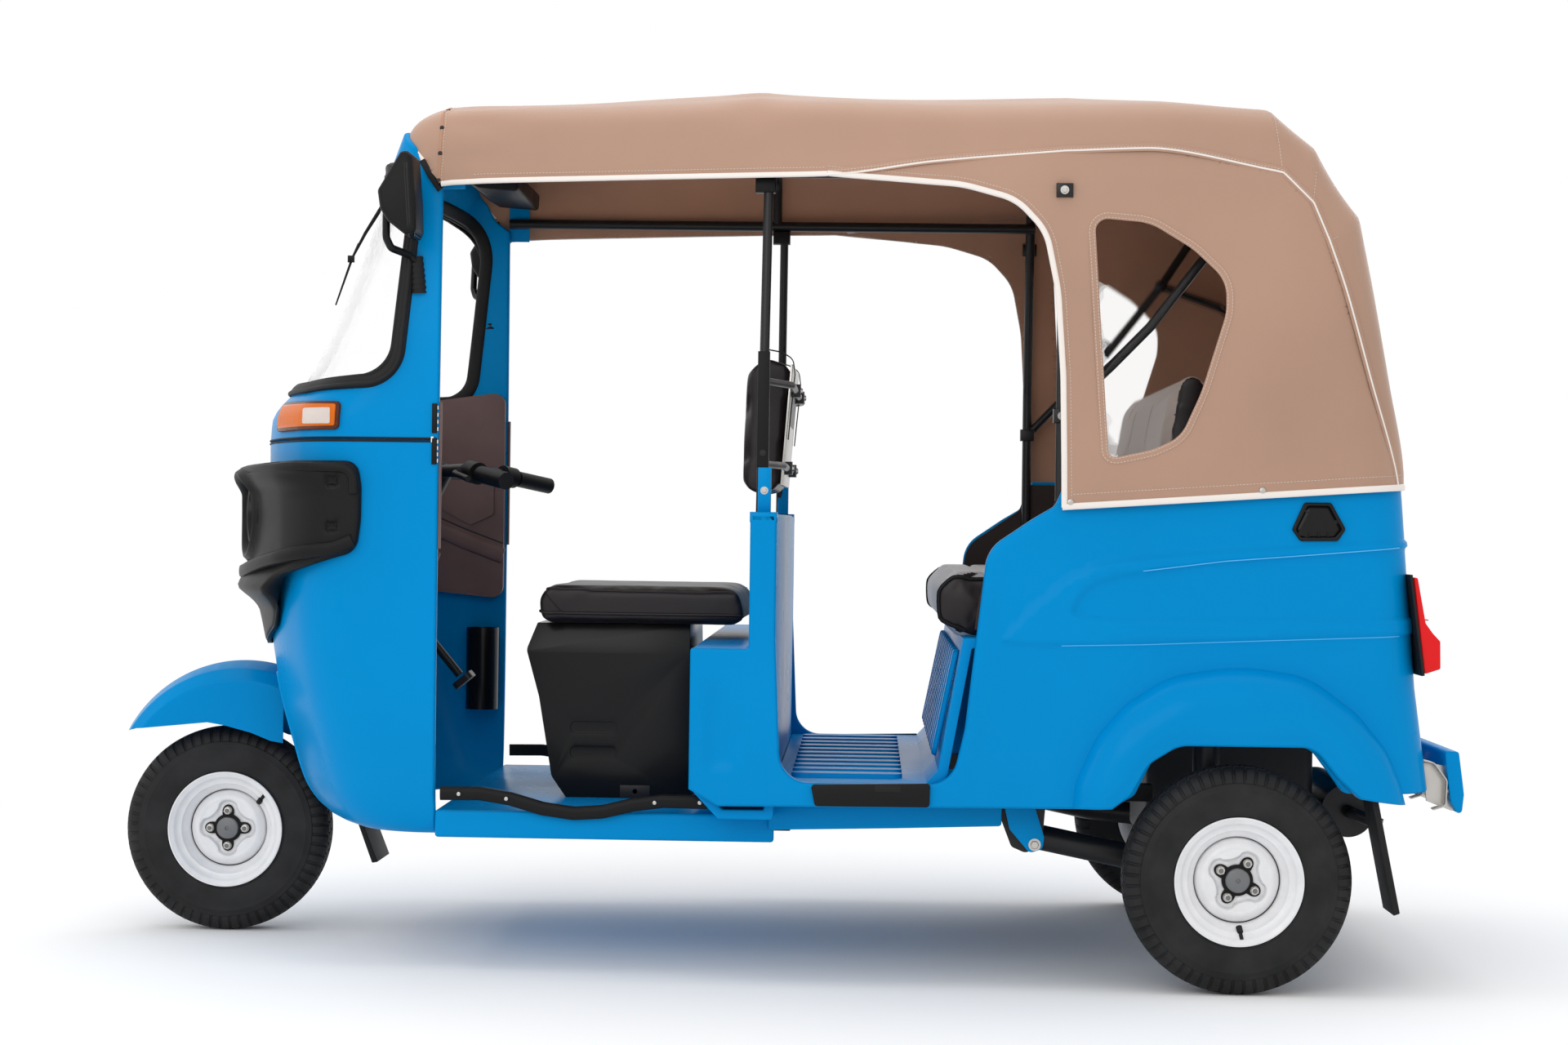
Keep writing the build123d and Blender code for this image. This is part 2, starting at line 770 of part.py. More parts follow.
seat_half = 512
with BuildPart() as rear_seat_cushion:
    with BuildSketch(Plane.XZ):
        with BuildLine():
            FilletPolyline((386, shelf_z), (322, 672), (318, 738), (352, 768), (720, 756), (720, shelf_z),
                           radius=[4, 14, 24, 22, 10, 0], close=True)
        make_face()
    extrude(amount=seat_half, both=True)
    add(passenger_floor.part, mode=Mode.SUBTRACT)
save(rear_seat_cushion, "rear_seat_cushion")

with BuildPart() as rear_seat_back:
    with BuildSketch(Plane.XZ):
        with BuildLine():
            FilletPolyline((722, shelf_z), (722, 790), (790, 1160), (836, 1160), (836, shelf_z),
                           radius=[0, 20, 24, 24, 0], close=True)
        make_face()
    extrude(amount=seat_half, both=True)
save(rear_seat_back, "rear_seat_back")

box_half, box_wall = 215, 6
box_top_z = 650
box_fold, box_lean = 592, 14  # above the fold the sides lean in towards the cushion
seat_box_outline = ((-452, box_top_z), (-472, 597), (-446, 504), (-419, 345), (-390, floor_top),
                    (-143, floor_top), (-147, box_top_z))
slot_x, slot_heights = -336, (394, 443)
slot_length, slot_height, slot_depth = 92, 24, 3


def seat_box_form(inset):
    """Outer form of the seat box drawn in by inset, open downwards for the hollow."""
    with BuildPart() as form:
        with BuildSketch(Plane.XZ):
            with BuildLine():
                FilletPolyline(*seat_box_outline, radius=[0, 20, 20, 20, 0, 0, 0], close=True)
            make_face()
            if inset:
                offset(amount=-inset)
                with Locations((-266, floor_top + inset)):
                    Rectangle(232, 4 * inset)
        extrude(amount=box_half - inset, both=True)
        for side in (-1, 1):
            with BuildSketch(Plane.YZ.offset(-600)):
                with BuildLine():
                    Polyline((side * (box_half - inset), box_fold),
                             (side * (box_half - inset - box_lean), box_top_z),
                             (side * box_half * 1.5, box_top_z),
                             (side * box_half * 1.5, box_fold), close=True)
                make_face()
            extrude(amount=600, mode=Mode.SUBTRACT)
    return form.part


with BuildPart() as driver_seat_box:
    add(seat_box_form(0))
    add(seat_box_form(box_wall), mode=Mode.SUBTRACT)
    for side in (-1, 1):
        with BuildSketch(Plane.XZ.offset(-side * (box_half - slot_depth))):
            with Locations(*[(slot_x, z) for z in slot_heights]):
                RectangleRounded(slot_length, slot_height, 10)
        extrude(amount=-side * 20, mode=Mode.SUBTRACT)
save(driver_seat_box, "driver_seat_box")

with BuildPart() as driver_seat_cushion:
    with BuildSketch(Plane.XZ):
        with BuildLine():
            FilletPolyline((-454, 651), (-460, 700), (-446, 727), (-36, 722), (-26, 668), (-26, 651),
                           radius=[0, 14, 14, 16, 8, 0], close=True)
        make_face()
    extrude(amount=255, both=True)
save(driver_seat_cushion, "driver_seat_cushion")

with BuildPart() as driver_backrest:
    with BuildSketch(Plane.XZ):
        with BuildLine():
            FilletPolyline((-46, 912), (-34, 1175), (0, 1196), (50, 1182), (24, 908), (-20, 900),
                           radius=14, close=True)
        make_face()
    extrude(amount=235, both=True)
save(driver_backrest, "driver_backrest")

# ---------------------------------------------------------------- hood frame and poles
rail_y = 478
rear_bow_x = 560
pole_y = 552
bow_tube, brace_tube, knuckle = 10, 9, 14
hinge_knuckle = (853, 520, 1396)
brace_ends = ((922, 545, 1500), (1058, 552, 1330))
bow_drop = 18  # tube centre below the cloth
# x, crown of the cloth, half width of the cloth, then y and z of the left leg's points from the foot up
bows = (
    (-7, 1720, 520, ((rail_y, hood_rail_z),)),
    (rear_bow_x, 1712, 556, ((556, shelf_z), (556, 1150))),
    (922, 1656, 598, ((545, 1500),)),
    (1058, 1462, 606, ((552, 1330),)),
)
with BuildPart() as hood_frame:
    for side in (-1, 1):
        add(rod(((door_x, side * rail_y, hood_rail_z), (rear_bow_x + 8, side * rail_y, hood_rail_z)),
                hood_tube))
    for x, top, half, leg in bows:
        edge = (half - shoulder_width - bow_drop, top - shoulder_drop - bow_drop)
        rise = [(x, y, z) for y, z in leg + (edge,)]
        fall = [(x, -y, z) for x, y, z in reversed(rise)]
        add(rod(rise + [(x, 0, top - bow_drop)] + fall, bow_tube, 40))
    for side in (-1, 1):
        centre = (hinge_knuckle[0], side * hinge_knuckle[1], hinge_knuckle[2])
        add(rod((centre, (723, side * 548, 1228), (rear_bow_x, side * 556, 1060)), brace_tube, 40))
        for x, y, z in brace_ends:
            add(rod((centre, (x, side * y, z)), brace_tube))
        for x, y, z in (hinge_knuckle,) + brace_ends:
            with Locations((x, side * y, z)):
                Sphere(knuckle)
save(hood_frame, "hood_frame")

with BuildPart() as post_poles:
    for side in (-1, 1):
        add(rod(((4, side * pole_y, post_top), (9, side * rail_y, hood_rail_z - hood_tube)), 9))
    for z, x in ((965, 40), (1120, 55)):
        add(rod(((4, -548, z), (x, -380, z), (x, 380, z), (4, 548, z)), 7, 40))
    add(hood_frame.part, mode=Mode.SUBTRACT)
    add(partition.part, mode=Mode.SUBTRACT)
    add(driver_backrest.part, mode=Mode.SUBTRACT)
save(post_poles, "post_poles")

# ---------------------------------------------------------------- canopy and its clear windows
# x, height of the crown, half width at the rail
hood_sections = ((-737, header_crown, header_half), (-700, 1668, 508), (-628, 1688, 514), (-7, 1720, 520),
                 (584, 1712, 560),
                 (739, 1704, 585), (938, 1672, 600), (1230, 1650, 612))
hood_low = 884
hood_side = ((-606, 1484), (-652, 1540), (-737, 1622), (-700, 1700), (-628, 1760), (938, 1760), (938, 1672),
             (1033, 1586), (1112, 1432), (1206, hood_low + 40), (1206, hood_low), (560, hood_low),
             (558, 1134),
             (539, 1334), (513, 1414), (462, 1465), (371, 1486), (100, 1504), (-82, 1504), (-357, 1496))


def hood_form(inset):
    """Hood's outer form drawn in by inset: crowned sections along the roof, cut by the side view."""
    with BuildPart() as form:
        for x, crown, half in hood_sections:
            low_half = max(half, 520) if x < 500 else 615
            with BuildSketch(Plane.YZ.offset(x)):
                with BuildLine():
                    hood_section(crown, half, low_half, inset)
                make_face()
        loft(ruled=True)
        with BuildSketch(Plane.XY.offset(600)):
            with BuildLine():
                cab_plan(-740 + inset, 640 - inset, 40, 2600, 1207 - inset)
            make_face()
            fillet(vertices().group_by(Axis.X)[-1], 95 - inset)
        extrude(amount=1300, mode=Mode.INTERSECT)
    return form.part


with BuildPart() as hood_outer:
    add(hood_form(0))
    add(side_prism(hood_side, 800), mode=Mode.INTERSECT)
with BuildPart() as hood_inner:
    add(hood_form(hood_skin))
    with BuildSketch(Plane.XZ):
        with BuildLine():
            Polyline((-900, 600), (-900, 1900), (936, 1900), (936, 1668), (1029, 1583), (1107, 1430),
                     (1201, 920),
                     (1201, 600), close=True)
        make_face()
    extrude(amount=900, both=True, mode=Mode.INTERSECT)

window_outline = ((640, 1004), (668, 1420), (730, 1410), (815, 1360), (866, 1280), (862, 1240), (806, 1058),
                  (745, 1000))
with BuildPart() as window_cut:
    add(side_prism(window_outline, 800, 20, inner=400))
    with BuildSketch(Plane.YZ.offset(1000)):
        with Locations((0, 1190)):
            RectangleRounded(640, 300, 60)
    extrude(amount=300)

with BuildPart() as canopy:
    add(hood_outer.part)
    add(hood_inner.part, mode=Mode.SUBTRACT)
    add(window_cut.part, mode=Mode.SUBTRACT)
    add(windscreen_frame.part, mode=Mode.SUBTRACT)
save(canopy, "canopy")

with BuildPart() as canopy_windows:
    add(hood_outer.part)
    add(hood_inner.part, mode=Mode.SUBTRACT)
    add(window_cut.part, mode=Mode.INTERSECT)
save(canopy_windows, "canopy_windows")

# ---------------------------------------------------------------- chassis, running gear, engine, silencer
with BuildPart() as chassis_rails:
    for side in (-1, 1):
        with BuildSketch(Plane.XZ.offset(-side * 340 if side > 0 else 340 - 40)):
            with BuildLine():
                Polyline((-590, 258), (60, 258), (100, 326), (760, 326), (760, 358), (37, 358), (37, 286),
                         (-590, 286),
                         close=True)
            make_face()
        extrude(amount=40)
        with BuildSketch(Plane.XZ.offset(-side * 472 if side > 0 else 472 - 12)):
            with BuildLine():
                FilletPolyline((440, 358), (548, 358), (540, 258), (510, 238), (482, 250),
                               radius=[0, 0, 12, 14, 12],
                               close=True)
            make_face()
        extrude(amount=12)
    with BuildSketch(Plane.XY.offset(330)):
        with Locations((490, 0)):
            Rectangle(90, 944)
    extrude(amount=28)
save(chassis_rails, "chassis_rails")

with BuildPart() as engine_block:
    with BuildSketch(Plane.XY.offset(225)):
        with Locations((930, 0)):
            RectangleRounded(330, 360, 20)
    extrude(amount=shelf_z - floor_sheet - 225)
    fillet(engine_block.faces().sort_by(Axis.Z)[0].edges(), 15)
save(engine_block, "engine_block")

carrier_inner, carrier_outer = 462, 505
with BuildPart() as running_gear:
    for side in (-1, 1):
        add(rod(((512, side * 436, 270), (700, side * 432, 232), (rear_axle_x, side * 470, tyre_radius)),
                24, 60))
        with BuildSketch(Plane.XZ.offset(-side * carrier_inner)):
            with Locations((rear_axle_x, tyre_radius)):
                Circle(56)
        extrude(amount=-side * (carrier_outer - carrier_inner))
        with BuildSketch(Plane.XZ.offset(-side * carrier_outer)):
            with Locations((rear_axle_x, tyre_radius)):
                Circle(spindle_radius)
        extrude(amount=-side * 40)
        add(rod(((rear_axle_x, side * 180, 262), (rear_axle_x, side * 250, 258),
                 (rear_axle_x, side * 400, 222),
                 (rear_axle_x, side * 470, tyre_radius)), 16, 60))
        add(rod(((850, side * 440, 235), (850, side * 440, shelf_z - floor_sheet)), 26))
    add(engine_block.part, mode=Mode.SUBTRACT)
save(running_gear, "running_gear")

with BuildPart() as silencer:
    with BuildSketch(Plane.XZ.offset(-200)):
        with Locations((1160, 300)):
            Circle(52)
    extrude(amount=400)
    add(rod(((1085, 120, 300), (1118, 120, 300)), 16))
    add(rod(((1160, -190, 300), (1160, -240, 300), (1215, -260, 280)), 12, 20))
    add(engine_block.part, mode=Mode.SUBTRACT)
save(silencer, "silencer")

# ---------------------------------------------------------------- wheels
# half of the tyre's section, bead to crown: distance from the wheel's middle, radius, corner radius
tyre_outside = ((42, rim_radius, 0), (tyre_width / 2, 140, 20), (tyre_width / 2, 178, 20),
                (38, tyre_radius, 22))
tyre_inside = ((32, tyre_radius - tyre_wall, 0), (tyre_width / 2 - tyre_wall, 172, 0),
               (tyre_width / 2 - tyre_wall, 140, 0), (34, rim_radius, 0))
well_base = 84  # radius of the rim's drop centre
# outer face of the rim, edge to middle: distance from the wheel's middle, radius
rim_face = ((50, rim_radius + rim_flange), (44, rim_radius), (30, rim_radius), (20, well_base))
rim_back = ((23, well_base - rim_plate), (33, rim_radius - rim_plate), (49, rim_radius - rim_plate),
            (54, rim_radius + rim_flange))
disc_section = ((4, 0), (14, 0), (14, 50), (24, 62), (16, 81), (8, 81), (18, 64), (4, 54))
hub_radius, lobe_radius, lobe_circle = 31, 14, 36
hub_face = 22  # outer face of the lobed hub plate from the wheel's middle
cap_radius, cap_face = 21, 33


def tyre(x, y, z):
    with BuildPart() as ring:
        rows = [(y - t, z + r, c) for t, r, c in tyre_outside]
        rows += [(y + t, z + r, c) for t, r, c in reversed(tyre_outside)]
        rows += [(y + t, z + r, c) for t, r, c in reversed(tyre_inside)]
        rows += [(y - t, z + r, c) for t, r, c in tyre_inside]
        with BuildSketch(Plane.YZ.offset(x)):
            with BuildLine():
                FilletPolyline(*[(t, r) for t, r, c in rows], radius=[c for t, r, c in rows], close=True)
            make_face()
        revolve(axis=Axis((x, 0, z), (0, 1, 0)))
    return ring


def rim(x, y, z, out, turn):
    """Pressed rim, disc, drum and lobed hub; out is the disc's side, turn the first lobe's angle."""
    with BuildPart() as wheel:
        rows = [(y - t, z + r) for t, r in rim_face] + [(y + t, z + r) for t, r in reversed(rim_face)]
        rows += [(y + t, z + r) for t, r in reversed(rim_back)] + [(y - t, z + r) for t, r in rim_back]
        with BuildSketch(Plane.YZ.offset(x)):
            with BuildLine():
                Polyline(*rows, close=True)
            make_face()
            with BuildLine():
                Polyline(*[(y + out * t, z + r) for t, r in disc_section], close=True)
            make_face()
        revolve(axis=Axis((x, 0, z), (0, 1, 0)))
        with BuildSketch(Plane.XZ.offset(-(y + out * 5))):
            with Locations((x, z)):
                Circle(drum_radius)
                Circle(spindle_radius + bearing_gap, mode=Mode.SUBTRACT)
        extrude(amount=out * drum_depth)
        with BuildSketch(Plane.XZ.offset(-(y + out * 10))):
            with Locations((x, z)):
                Circle(hub_radius)
                with PolarLocations(lobe_circle, 4, start_angle=turn):
                    Circle(lobe_radius)
        extrude(amount=-out * (hub_face - 10))
        with BuildSketch(Plane.XZ.offset(-(y + out * 10))):
            with Locations((x, z)):
                Circle(cap_radius)
        extrude(amount=-out * (cap_face - 10))
    return wheel


# name, centre, side that the disc faces, angle of the first lobe
wheel_rows = (("front", front_axle, -1, 0), ("rear_left", rear_axles["left"], -1, 28),
              ("rear_right", rear_axles["right"], 1, 28))
for name, (x, y, z), out, turn in wheel_rows:
    save(tyre(x, y, z), f"{name}_tyre")
    save(rim(x, y, z, out, turn), f"{name}_rim")

# ---------------------------------------------------------------- column, fork arm, fender, handlebar
fork_y = 104
crown = axis_point(478)
with BuildPart() as steering_column:
    add(rod((crown, axis_point(968)), column_radius))
    add(rod((crown, (crown[0] - 2, fork_y, crown[2] - 6), (-1000, fork_y, 330),
             (front_axle_x, fork_y, tyre_radius)), 17, 40))
    with BuildSketch(Plane.XZ.offset(-(fork_y + 17))):
        with Locations((front_axle_x, tyre_radius)):
            Circle(30)
    extrude(amount=34)
    with BuildSketch(Plane.XZ.offset(-(fork_y - 10))):
        with Locations((front_axle_x, tyre_radius)):
            Circle(spindle_radius)
    extrude(amount=64)
save(steering_column, "steering_column")

fender_x, fender_z, fender_r = -1080, 279, 278
fender_sheet = 4
fender_edge = ((-half_length, 408), (-1297, 416), (-1141, 432), (-1104, 426), (-1050, 412), (-1010, 396),
               (-985, 392),
               (-985, 620), (-half_length, 620))
with BuildPart() as front_fender:
    with BuildSketch(Plane.YZ.offset(fender_x)):
        with BuildLine():
            FilletPolyline((-88, fender_z + 120), (-86, fender_z + 240), (-62, fender_z + 263),
                           (0, fender_z + fender_r),
                           (62, fender_z + 263), (86, fender_z + 240), (88, fender_z + 120),
                           (88 - fender_sheet, fender_z + 120), (86 - fender_sheet, fender_z + 238),
                           (60, fender_z + 259), (0, fender_z + fender_r - fender_sheet),
                           (-60, fender_z + 259),
                           (-86 + fender_sheet, fender_z + 238), (-88 + fender_sheet, fender_z + 120),
                           radius=[0, 10, 10, 30, 10, 10, 0, 0, 8, 8, 26, 8, 8, 0], close=True)
        make_face()
    revolve(axis=Axis((fender_x, 0, fender_z), (0, 1, 0)))
    add(side_prism(fender_edge, 120), mode=Mode.INTERSECT)
    with BuildSketch(Plane(crown, z_dir=steer_dir)):
        Circle(column_radius + 4)
    extrude(amount=200, both=True, mode=Mode.SUBTRACT)
save(front_fender, "front_fender")

bar_z = 950
bar_x = axis_point(bar_z)[0]
bar_radius, grip_radius, switch_radius, lever_radius = 13, 17, 22, 6
bar_bend = (-598, 225, 952)  # where the bar turns back towards the driver
bar_end = (-500, 350, 930)


def bar_point(along, side, ahead=0.0):
    """Point on the bar's outer run, at a share along from its bend to its end, moved ahead by a distance."""
    x, y, z = [a + (b - a) * along for a, b in zip(bar_bend, bar_end)]
    return (x - ahead, side * y, z)


with BuildPart() as handlebar:
    add(rod((bar_point(1, -1), bar_point(0, -1), (bar_x, -60, bar_z), (bar_x, 60, bar_z), bar_point(0, 1),
             bar_point(1, 1)), bar_radius, 30))
    with BuildSketch(Plane(axis_point(bar_z - 30), z_dir=steer_dir)):
        Circle(40)
    extrude(amount=62)
    for side in (-1, 1):
        add(rod((bar_point(0.12, side), bar_point(0.34, side)), switch_radius))
        add(rod((bar_point(0.40, side), bar_point(1.02, side)), grip_radius))
        add(rod((bar_point(0.22, side), bar_point(0.22, side, 44), bar_point(0.86, side, 62)),
                lever_radius, 12))
    add(steering_column.part, mode=Mode.SUBTRACT)
save(handlebar, "handlebar")
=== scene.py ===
import bpy, bmesh, json, math
import numpy as np
from mathutils import Vector, Matrix
from mathutils.bvhtree import BVHTree
from mathutils.geometry import delaunay_2d_cdt

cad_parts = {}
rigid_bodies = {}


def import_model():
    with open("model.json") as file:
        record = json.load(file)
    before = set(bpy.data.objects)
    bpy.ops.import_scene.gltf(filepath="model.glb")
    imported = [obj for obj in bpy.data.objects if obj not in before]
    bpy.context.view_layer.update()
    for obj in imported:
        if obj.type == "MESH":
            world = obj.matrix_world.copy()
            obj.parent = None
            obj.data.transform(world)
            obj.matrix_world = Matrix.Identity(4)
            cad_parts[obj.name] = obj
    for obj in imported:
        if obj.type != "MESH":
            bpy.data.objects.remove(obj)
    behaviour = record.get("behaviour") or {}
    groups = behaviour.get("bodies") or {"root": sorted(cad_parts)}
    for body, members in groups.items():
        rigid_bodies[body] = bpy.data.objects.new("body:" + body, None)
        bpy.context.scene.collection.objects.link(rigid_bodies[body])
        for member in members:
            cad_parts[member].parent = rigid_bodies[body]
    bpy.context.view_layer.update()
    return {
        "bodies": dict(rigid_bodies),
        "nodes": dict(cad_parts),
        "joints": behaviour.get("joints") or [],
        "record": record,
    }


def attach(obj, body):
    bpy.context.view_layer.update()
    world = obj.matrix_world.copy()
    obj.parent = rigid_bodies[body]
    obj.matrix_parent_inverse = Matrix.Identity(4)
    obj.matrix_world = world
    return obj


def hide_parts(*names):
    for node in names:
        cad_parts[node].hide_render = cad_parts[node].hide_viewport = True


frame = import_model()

nodes = frame["nodes"]
scene = bpy.context.scene
print("stage: frame loaded,", len(nodes), "nodes")

# camera, as solved for the side view
cameraValues = {
    "place": (0.206, -5.649, 0.856),
    "yaw": 0.031,      # turned to the left, radians
    "roll": 0.013,
    "lens": 62.89,
    "sensor": 36.0,
}

def placeCamera(values):
    data = bpy.data.cameras.new("camera")
    data.lens = values["lens"]
    data.sensor_width = values["sensor"]
    data.clip_end = 60
    cam = bpy.data.objects.new("camera", data)
    scene.collection.objects.link(cam)
    forward = Vector((-math.sin(values["yaw"]), math.cos(values["yaw"]), 0))
    side = forward.cross(Vector((0, 0, 1)))
    up = Vector((0, 0, 1))
    roll = values["roll"]
    right = side * math.cos(roll) + up * math.sin(roll)
    top = up * math.cos(roll) - side * math.sin(roll)
    cam.matrix_world = Matrix((
        (right.x, top.x, -forward.x, values["place"][0]),
        (right.y, top.y, -forward.y, values["place"][1]),
        (right.z, top.z, -forward.z, values["place"][2]),
        (0, 0, 0, 1)))
    scene.camera = cam

placeCamera(cameraValues)

# materials
materials = {}

def newMaterial(name, colour, rough=0.5, metal=0.0, **sockets):
    mat = bpy.data.materials.new(name)
    mat.use_nodes = True
    shader = mat.node_tree.nodes["Principled BSDF"]
    shader.inputs["Base Color"].default_value = (*colour, 1)
    shader.inputs["Roughness"].default_value = rough
    shader.inputs["Metallic"].default_value = metal
    for key, value in sockets.items():
        shader.inputs[key.replace("_", " ")].default_value = value
    mat.diffuse_color = (*colour, 1)
    materials[name] = mat
    return mat

def addNode(mat, kind, **values):
    node = mat.node_tree.nodes.new(kind)
    for key, value in values.items():
        if key in node.inputs:
            node.inputs[key].default_value = value
        else:
            setattr(node, key, value)
    return node

def placeNode(mat):
    coord = mat.node_tree.nodes.get("coord")
    if coord is None:
        coord = mat.node_tree.nodes.new("ShaderNodeTexCoord")
        coord.name = "coord"
    return coord.outputs["Object"]

def noiseField(mat, scale, detail=3.0, stretch=None):
    noise = addNode(mat, "ShaderNodeTexNoise", Scale=scale, Detail=detail)
    source = placeNode(mat)
    if stretch:
        mapping = addNode(mat, "ShaderNodeMapping")
        mapping.inputs["Scale"].default_value = stretch
        mat.node_tree.links.new(source, mapping.inputs["Vector"])
        source = mapping.outputs["Vector"]
    mat.node_tree.links.new(source, noise.inputs["Vector"])
    return noise.outputs["Fac"]

def cellField(mat, scale, feature="F1"):
    cell = addNode(mat, "ShaderNodeTexVoronoi", Scale=scale, feature=feature)
    mat.node_tree.links.new(placeNode(mat), cell.inputs["Vector"])
    return cell.outputs["Distance"]

def addBump(mat, field, strength, depth):
    shader = mat.node_tree.nodes["Principled BSDF"]
    bump = addNode(mat, "ShaderNodeBump", Strength=strength, Distance=depth)
    links = mat.node_tree.links
    if shader.inputs["Normal"].is_linked:
        links.new(shader.inputs["Normal"].links[0].from_socket, bump.inputs["Normal"])
    links.new(field, bump.inputs["Height"])
    links.new(bump.outputs["Normal"], shader.inputs["Normal"])

def spreadColour(mat, field, dark, light, low=0.35, high=0.65):
    ramp = addNode(mat, "ShaderNodeValToRGB")
    ramp.color_ramp.elements[0].position = low
    ramp.color_ramp.elements[1].position = high
    ramp.color_ramp.elements[0].color = (*dark, 1)
    ramp.color_ramp.elements[1].color = (*light, 1)
    mat.node_tree.links.new(field, ramp.inputs["Fac"])
    mat.node_tree.links.new(ramp.outputs["Color"], mat.node_tree.nodes["Principled BSDF"].inputs["Base Color"])

def spreadRoughness(mat, field, low, high):
    span = addNode(mat, "ShaderNodeMapRange")
    span.inputs["To Min"].default_value = low
    span.inputs["To Max"].default_value = high
    mat.node_tree.links.new(field, span.inputs["Value"])
    mat.node_tree.links.new(span.outputs["Result"], mat.node_tree.nodes["Principled BSDF"].inputs["Roughness"])

def shade(colour, factor):
    return tuple(min(1.0, c * factor) for c in colour)

bodyBlue = (0.0, 0.238, 0.568)
blackTone = (0.008, 0.008, 0.0085)

